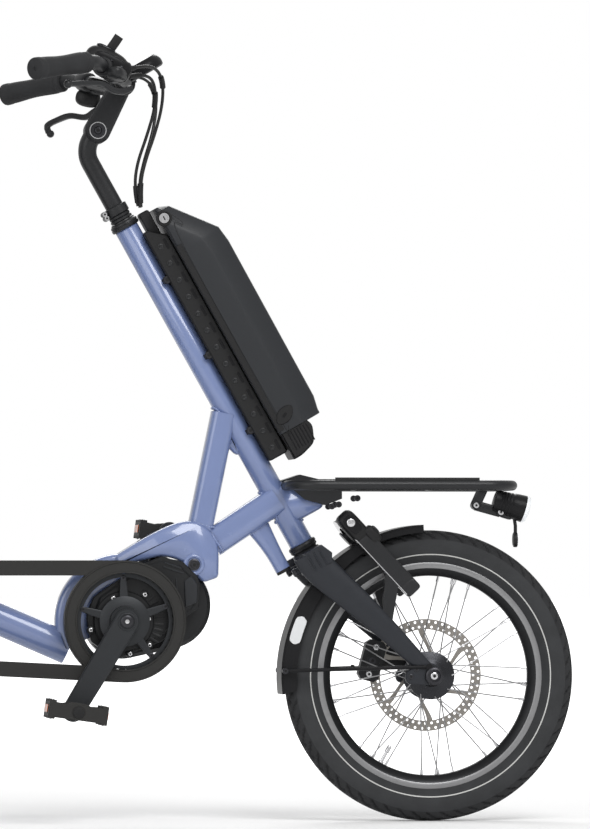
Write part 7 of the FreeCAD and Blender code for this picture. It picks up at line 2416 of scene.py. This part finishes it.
@dataclass
class SeatFittings:
    """Clamp bolts, the clamp's lever and weld beads of the seat's frame and slider."""

    loop_z: float = 0.536
    half: float = 0.190
    clamp_y: float = 0.033

    def build(self) -> bpy.types.Object:
        """Makes the fittings."""
        shell = Shell()
        for x in (-1.228, -1.162):
            for side in (1, -1):
                spot = at(x, 0.470, side * self.clamp_y)
                shell.lathe([(0.0092, -0.0002), (0.0090, 0.0012), (0.0050, 0.0014)], spot, LEFT * side, DARK_STEEL, 28)
                shell.bolt(spot + LEFT * side * 0.0012, LEFT * side, 0.0058, 0.0045, STEEL)
        knob = at(-1.195, 0.462, -self.clamp_y)
        shell.rod(knob, knob - LEFT * 0.012, 0.0052, STEEL, 0.0006, 20)
        lever = [knob - LEFT * 0.012, knob - LEFT * 0.016 + WORLD_X * 0.020,
                 knob - LEFT * 0.017 + WORLD_X * 0.062 - WORLD_Z * 0.006]
        shell.tube(curve(lever, 20), np.linspace(0.0062, 0.0046, 20), SATIN_BLACK, WORLD_Z, 14)
        shell.ball(lever[-1], 0.0058, SATIN_BLACK)
        for side in (1, -1):
            place = Plane(at(-1.360, self.loop_z, side * (self.half - 0.012)), WORLD_X, WORLD_Z)
            ringed(place, 0.0106, 0.0106, 0.0013, shell, SATIN_BLACK, 2.0, 22)
        return shell.object("seat_fittings", Body.SEAT, "black_metal")


# Rear end and brake
@dataclass
class RearDrive:
    """Screws, seams and through bolts of the gear hub, the differential and the axle housings."""

    hub_half: float = 0.036
    hub_ring: float = 0.0475
    drum_r: float = 0.050
    housing_end: float = 0.300
    housing_r: float = 0.020

    def build(self) -> bpy.types.Object:
        """Makes the fittings."""
        shell = Shell()
        for index in range(6):
            turn = TAU * index / 6
            for side in (1, -1):
                shell.bolt(round_hub(JACKSHAFT, self.hub_ring, turn, side * (self.hub_half - 0.0003)), LEFT * side,
                           0.0026, 0.0016, DARK_STEEL)
            ends = [round_hub(REAR_HUB, self.drum_r - 0.001, turn, y) for y in (-0.021, 0.026)]
            shell.rod(ends[0], ends[1], 0.0048, CAST_BLACK, 0.001, 18)
            shell.bolt(ends[1], LEFT, 0.0036, 0.0024, STEEL)
        ring = round_hub(REAR_HUB, self.drum_r + 0.0002, whole_turn(96), 0.002)
        shell.bar(ring, 0.0011, 0.0026, CAST_BLACK, 12, closed=True)
        ring = round_hub(JACKSHAFT, 0.0442, whole_turn(96))
        shell.bar(ring, 0.0008, 0.0060, HUB_BLACK, 12, closed=True)
        for side in (1, -1):
            for index in range(4):
                spot = round_hub(REAR_HUB, 0.0232, TAU * (index + 0.5) / 4, side * (self.housing_end - 0.0068))
                shell.bolt(spot, -LEFT * side, 0.0030, 0.0022, STEEL)
            ring = round_hub(REAR_HUB, self.housing_r + 0.0004, whole_turn(60), side * 0.0865)
            shell.tube(ring, 0.0016, PAINT, LEFT, 10, closed=True)
        return shell.object("rear_drive_fittings", Body.FRAME, "black_metal")


@dataclass
class RearMudguardTrim:
    """Rolled edges, rod eyes' screws, clamp bolts and a reflector strip of one rear mudguard."""

    side: int
    y: float = 0.345
    half: float = 0.034
    inner_r: float = 0.2548
    outer_r: float = 0.267
    start: float = math.radians(20.5)
    end: float = math.radians(164.5)
    clamp_y: float = 0.279

    def build(self) -> bpy.types.Object:
        """Makes the trim."""
        shell = Shell()
        turn = np.linspace(self.start, self.end, 110)
        for across in (1, -1):
            shell.tube(round_hub(REAR_HUB, self.inner_r, turn, self.side * self.y + across * (self.half - 0.0008)),
                       0.0017, SHINY_PLASTIC, LEFT, 8)
        for share in (self.start, self.end):
            across = np.linspace(-self.half + 0.004, self.half - 0.004, 12)[:, None]
            path = round_hub(REAR_HUB, self.outer_r - 0.0014, share) + LEFT * (self.side * self.y + across)
            shell.tube(path, 0.0016, SHINY_PLASTIC, WORLD_Z + WORLD_X, 8)
        ridge = round_hub(REAR_HUB, self.outer_r + 0.0001, turn, self.side * self.y)
        shell.bar(ridge, 0.0009, 0.0060, SHINY_PLASTIC, 12, 3.0)
        for rod_turn in (math.radians(55.0), math.radians(125.0)):
            foot = round_hub(REAR_HUB, 0.0285, rod_turn, self.side * self.clamp_y)
            shell.bolt(foot + LEFT * self.side * 0.0045, LEFT * self.side, 0.0040, 0.0026, STEEL)
            eye = round_hub(REAR_HUB, self.inner_r + 0.004, rod_turn, self.side * (self.y - self.half - 0.0022))
            shell.bolt(eye, -LEFT * self.side, 0.0042, 0.0024, STEEL)
        arc = np.linspace(math.radians(150.0), math.radians(157.0), 10)
        path = round_hub(REAR_HUB, self.outer_r + 0.0006, arc, self.side * self.y)
        shell.bar(path, 0.0010, 0.0130, RED_LENS)
        name = f"rear_mudguard_trim_{side_name(self.side)}"
        return shell.object(name, Body.FRAME, "mudguard_plastic")


@dataclass
class TailLamp:
    """The tail lamp: a black housing with a ribbed red lens and a reflector panel."""

    back: float = -1.645
    front: float = -1.629
    half: float = 0.040
    low: float = 0.493
    high: float = 0.519
    ribs: int = 9

    def build(self) -> bpy.types.Object:
        """Makes the lamp."""
        shell = Shell()
        middle = (self.low + self.high) / 2
        place = Plane(at(self.front, middle), LEFT, WORLD_Z)
        deep, tall = self.front - self.back, (self.high - self.low) / 2
        sign = -1.0 if place.out[0] > 0 else 1.0
        body_low, body_high = sorted((0.0, sign * deep * 0.55))
        shell.box(place, self.half, tall, body_low, body_high, DOCK_BLACK, 0.008, 0.0012)
        lens_low, lens_high = sorted((sign * deep * 0.5, sign * deep * 0.93))
        shell.box(place, self.half - 0.0016, tall - 0.0016, lens_low, lens_high, RED_LENS, 0.007, 0.0018)
        for index in range(self.ribs):
            y = (index / (self.ribs - 1) - 0.5) * 2 * (self.half - 0.010)
            rib = Plane(at(self.back + deep * 0.07, middle, y), LEFT, WORLD_Z)
            low, high = sorted((-sign * 0.001, sign * deep * 0.05))
            shell.box(rib, 0.0028, tall - 0.0055, low, high, RED_LENS, 0.0010, 0.0004)
        for side in (1, -1):
            shell.bolt(at(self.front - 0.0002, middle, side * 0.024), WORLD_X, 0.0030, 0.0020, DARK_STEEL)
        return shell.object("tail_lamp_lens", Body.FRAME, "lamp_red", ["tail_lamp"])


@dataclass
class CaliperFittings:
    """The brake caliper's piston covers, bolts, bleed screw and cooling ribs, over its cast node."""

    turn: float = math.radians(165.0)
    radius: float = 0.090
    inner_y: float = 0.027
    outer_y: float = 0.0505

    def build(self) -> bpy.types.Object:
        """Makes both faces' fittings."""
        shell = Shell()
        centre = round_hub(FRONT_HUB, self.radius, self.turn)
        out = rays(self.turn)
        along = np.cross(out, LEFT)
        for side, y in ((-1, self.inner_y), (1, self.outer_y)):
            face = centre + LEFT * y
            shell.lathe([(0.0118, -0.0004), (0.0115, 0.0014), (0.0098, 0.0019), (0.0030, 0.0017)], face, LEFT * side,
                        CAST_BLACK, 36)
            shell.bolt(face + LEFT * side * 0.0016, LEFT * side, 0.0058, 0.0008, DARK_STEEL)
            for end in (1, -1):
                shell.bolt(face + along * end * 0.0225, LEFT * side, 0.0052, 0.0030, STEEL)
                rib = Plane(face + along * end * 0.0145, out, along)
                away = side * math.copysign(1.0, rib.out[1])
                shell.box(rib, 0.0095, 0.0011, *sorted((-away * 0.0003, away * 0.0013)), CAST_BLACK, 0.0008, 0.0003)
        nipple = centre + out * 0.0150 + along * 0.018 + LEFT * 0.0440
        shell.rod(nipple, nipple + out * 0.0095, 0.0030, STEEL, 0.0005, 16)
        shell.rod(nipple + out * 0.0085, nipple + out * 0.0145, 0.0040, SOFT_BLACK, 0.0008, 16)
        return shell.object("caliper_fittings", Body.STEERING, "black_metal")


# Camera, light and floor
@dataclass
class Studio:
    """The camera at the photograph's viewing angle, plain soft light and a pale floor."""

    camera_place: tuple[float, float, float] = (-0.81169, -10.58245, 0.41663)
    yaw: float = math.radians(7.0163)
    pitch: float = math.radians(1.2542)
    lens: float = 289.48
    sensor: float = 36.0
    floor_half: float = 60.0
    world_level: float = 0.62
    key_power: float = 420.0

    def camera(self) -> None:
        """Places the camera; rotations are pitch up from the horizon and yaw towards forward."""
        data = bpy.data.cameras.new("camera")
        data.lens, data.sensor_width, data.clip_end = self.lens, self.sensor, 200.0
        camera = bpy.data.objects.new("camera", data)
        camera.location = self.camera_place
        camera.rotation_euler = (math.pi / 2 + self.pitch, 0.0, -self.yaw)
        bpy.context.scene.collection.objects.link(camera)
        bpy.context.scene.camera = camera

    def lamp(self, name: str, place: Sequence[float], target: Sequence[float], power: float, size: float) -> None:
        """A square area lamp at a place, facing a target."""
        data = bpy.data.lights.new(name, "AREA")
        data.energy, data.size = power, size
        lamp = bpy.data.objects.new(name, data)
        lamp.location = place
        away = np.asarray(place, float) - np.asarray(target, float)
        flat = math.hypot(away[0], away[1])
        lamp.rotation_euler = (math.atan2(flat, away[2]), 0.0, math.atan2(away[1], away[0]) + math.pi / 2)
        bpy.context.scene.collection.objects.link(lamp)

    def world(self) -> None:
        """A white room: white for the camera and through transmission, softer as light and in reflections."""
        world = bpy.data.worlds.new("room")
        bpy.context.scene.world = world
        world.use_nodes = True
        nodes, links = world.node_tree.nodes, world.node_tree.links
        back = nodes["Background"]
        back.inputs[0].default_value = (1.0, 1.0, 1.0, 1.0)
        rays = nodes.new("ShaderNodeLightPath")
        seen = nodes.new("ShaderNodeMath")
        seen.operation = "MAXIMUM"
        links.new(rays.outputs["Is Camera Ray"], seen.inputs[0])
        links.new(rays.outputs["Is Transmission Ray"], seen.inputs[1])
        level = nodes.new("ShaderNodeMapRange")
        level.inputs["To Min"].default_value = self.world_level
        links.new(seen.outputs[0], level.inputs["Value"])
        links.new(level.outputs[0], back.inputs["Strength"])

    def floor(self) -> None:
        """A wide pale floor that keeps the trike's shadow."""
        half = self.floor_half
        mesh = bpy.data.meshes.new("floor")
        mesh.from_pydata([(-half, -half, 0), (half, -half, 0), (half, half, 0), (-half, half, 0)], [], [(0, 1, 2, 3)])
        material = bpy.data.materials.new("pale_floor")
        graph = Graph(material)
        cloud = graph.noise(3.0)
        x, y, _ = graph.axes()
        seen = Signal(graph, graph.node("ShaderNodeLightPath").outputs["Is Camera Ray"])
        glow = seen * (x * x + y * y).above(9.0, 7.0)
        graph.set(Base_Color=graph.blend(cloud, (0.90, 0.90, 0.90, 1.0), (0.93, 0.93, 0.93, 1.0)), Roughness=0.9,
                  Emission_Color=(1.0, 1.0, 1.0, 1.0), Emission_Strength=glow)
        mesh.materials.append(material)
        floor = bpy.data.objects.new("floor", mesh)
        bpy.context.scene.collection.objects.link(floor)

    def build(self) -> None:
        """Sets up the camera, lamps, room and floor."""
        self.camera()
        self.world()
        self.lamp("key", (1.6, -4.2, 4.6), (0.2, 0.0, 0.5), self.key_power * 0.42, 3.0)
        self.lamp("fill", (-4.0, -4.5, 2.6), (-0.2, 0.0, 0.5), self.key_power * 0.2, 4.0)
        self.lamp("rim", (0.5, 4.5, 4.0), (0.0, 0.0, 0.5), self.key_power * 0.25, 3.0)
        self.floor()
        bpy.context.scene.view_settings.view_transform = "Standard"


def build_pieces() -> None:
    """Builds every sub-assembly."""
    for place in [FRONT_WHEEL] + REAR_WHEELS:
        Tyre(place).build()
        LacedWheel(place).build()
    BrakeDisc().build()
    FrontFrame().build()
    RearFrameBeads().build()
    BearingCups().build()
    Battery().build()
    Dock().build()
    SteeringPost().build()
    for side in (1, -1):
        Grips().build(side)
    Controls().build()
    Cables().build()
    ForkDetails().build()
    RingLock().build()
    MudguardDetails().build()
    CarrierFittings().build()
    Headlamp().build()
    MotorHousing().build()
    MotorDetails().build()
    GuardDetails().build()
    Cranks().build()
    for side in (1, -1):
        Pedal(side).build()
    for cushion in cushions():
        cushion.build()
    SeatFittings().build()
    RearDrive().build()
    for side in (1, -1):
        RearMudguardTrim(side).build()
    TailLamp().build()
    CaliperFittings().build()


def dress_cad(nodes: dict[str, bpy.types.Object]) -> None:
    """Gives every CAD node its finish."""
    for name, node in nodes.items():
        node.data.materials.clear()
        node.data.materials.append(CAD_FINISHES[name].material())
    LOG.info("%d CAD nodes dressed", len(nodes))


def main() -> None:
    """Builds the studio and the trike's looks."""
    logging.basicConfig(level=logging.INFO, format="%(message)s")
    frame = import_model()
    studio = Studio()
    studio.build()
    dress_cad(frame["nodes"])
    build_pieces()


if __name__ == "__main__":
    main()
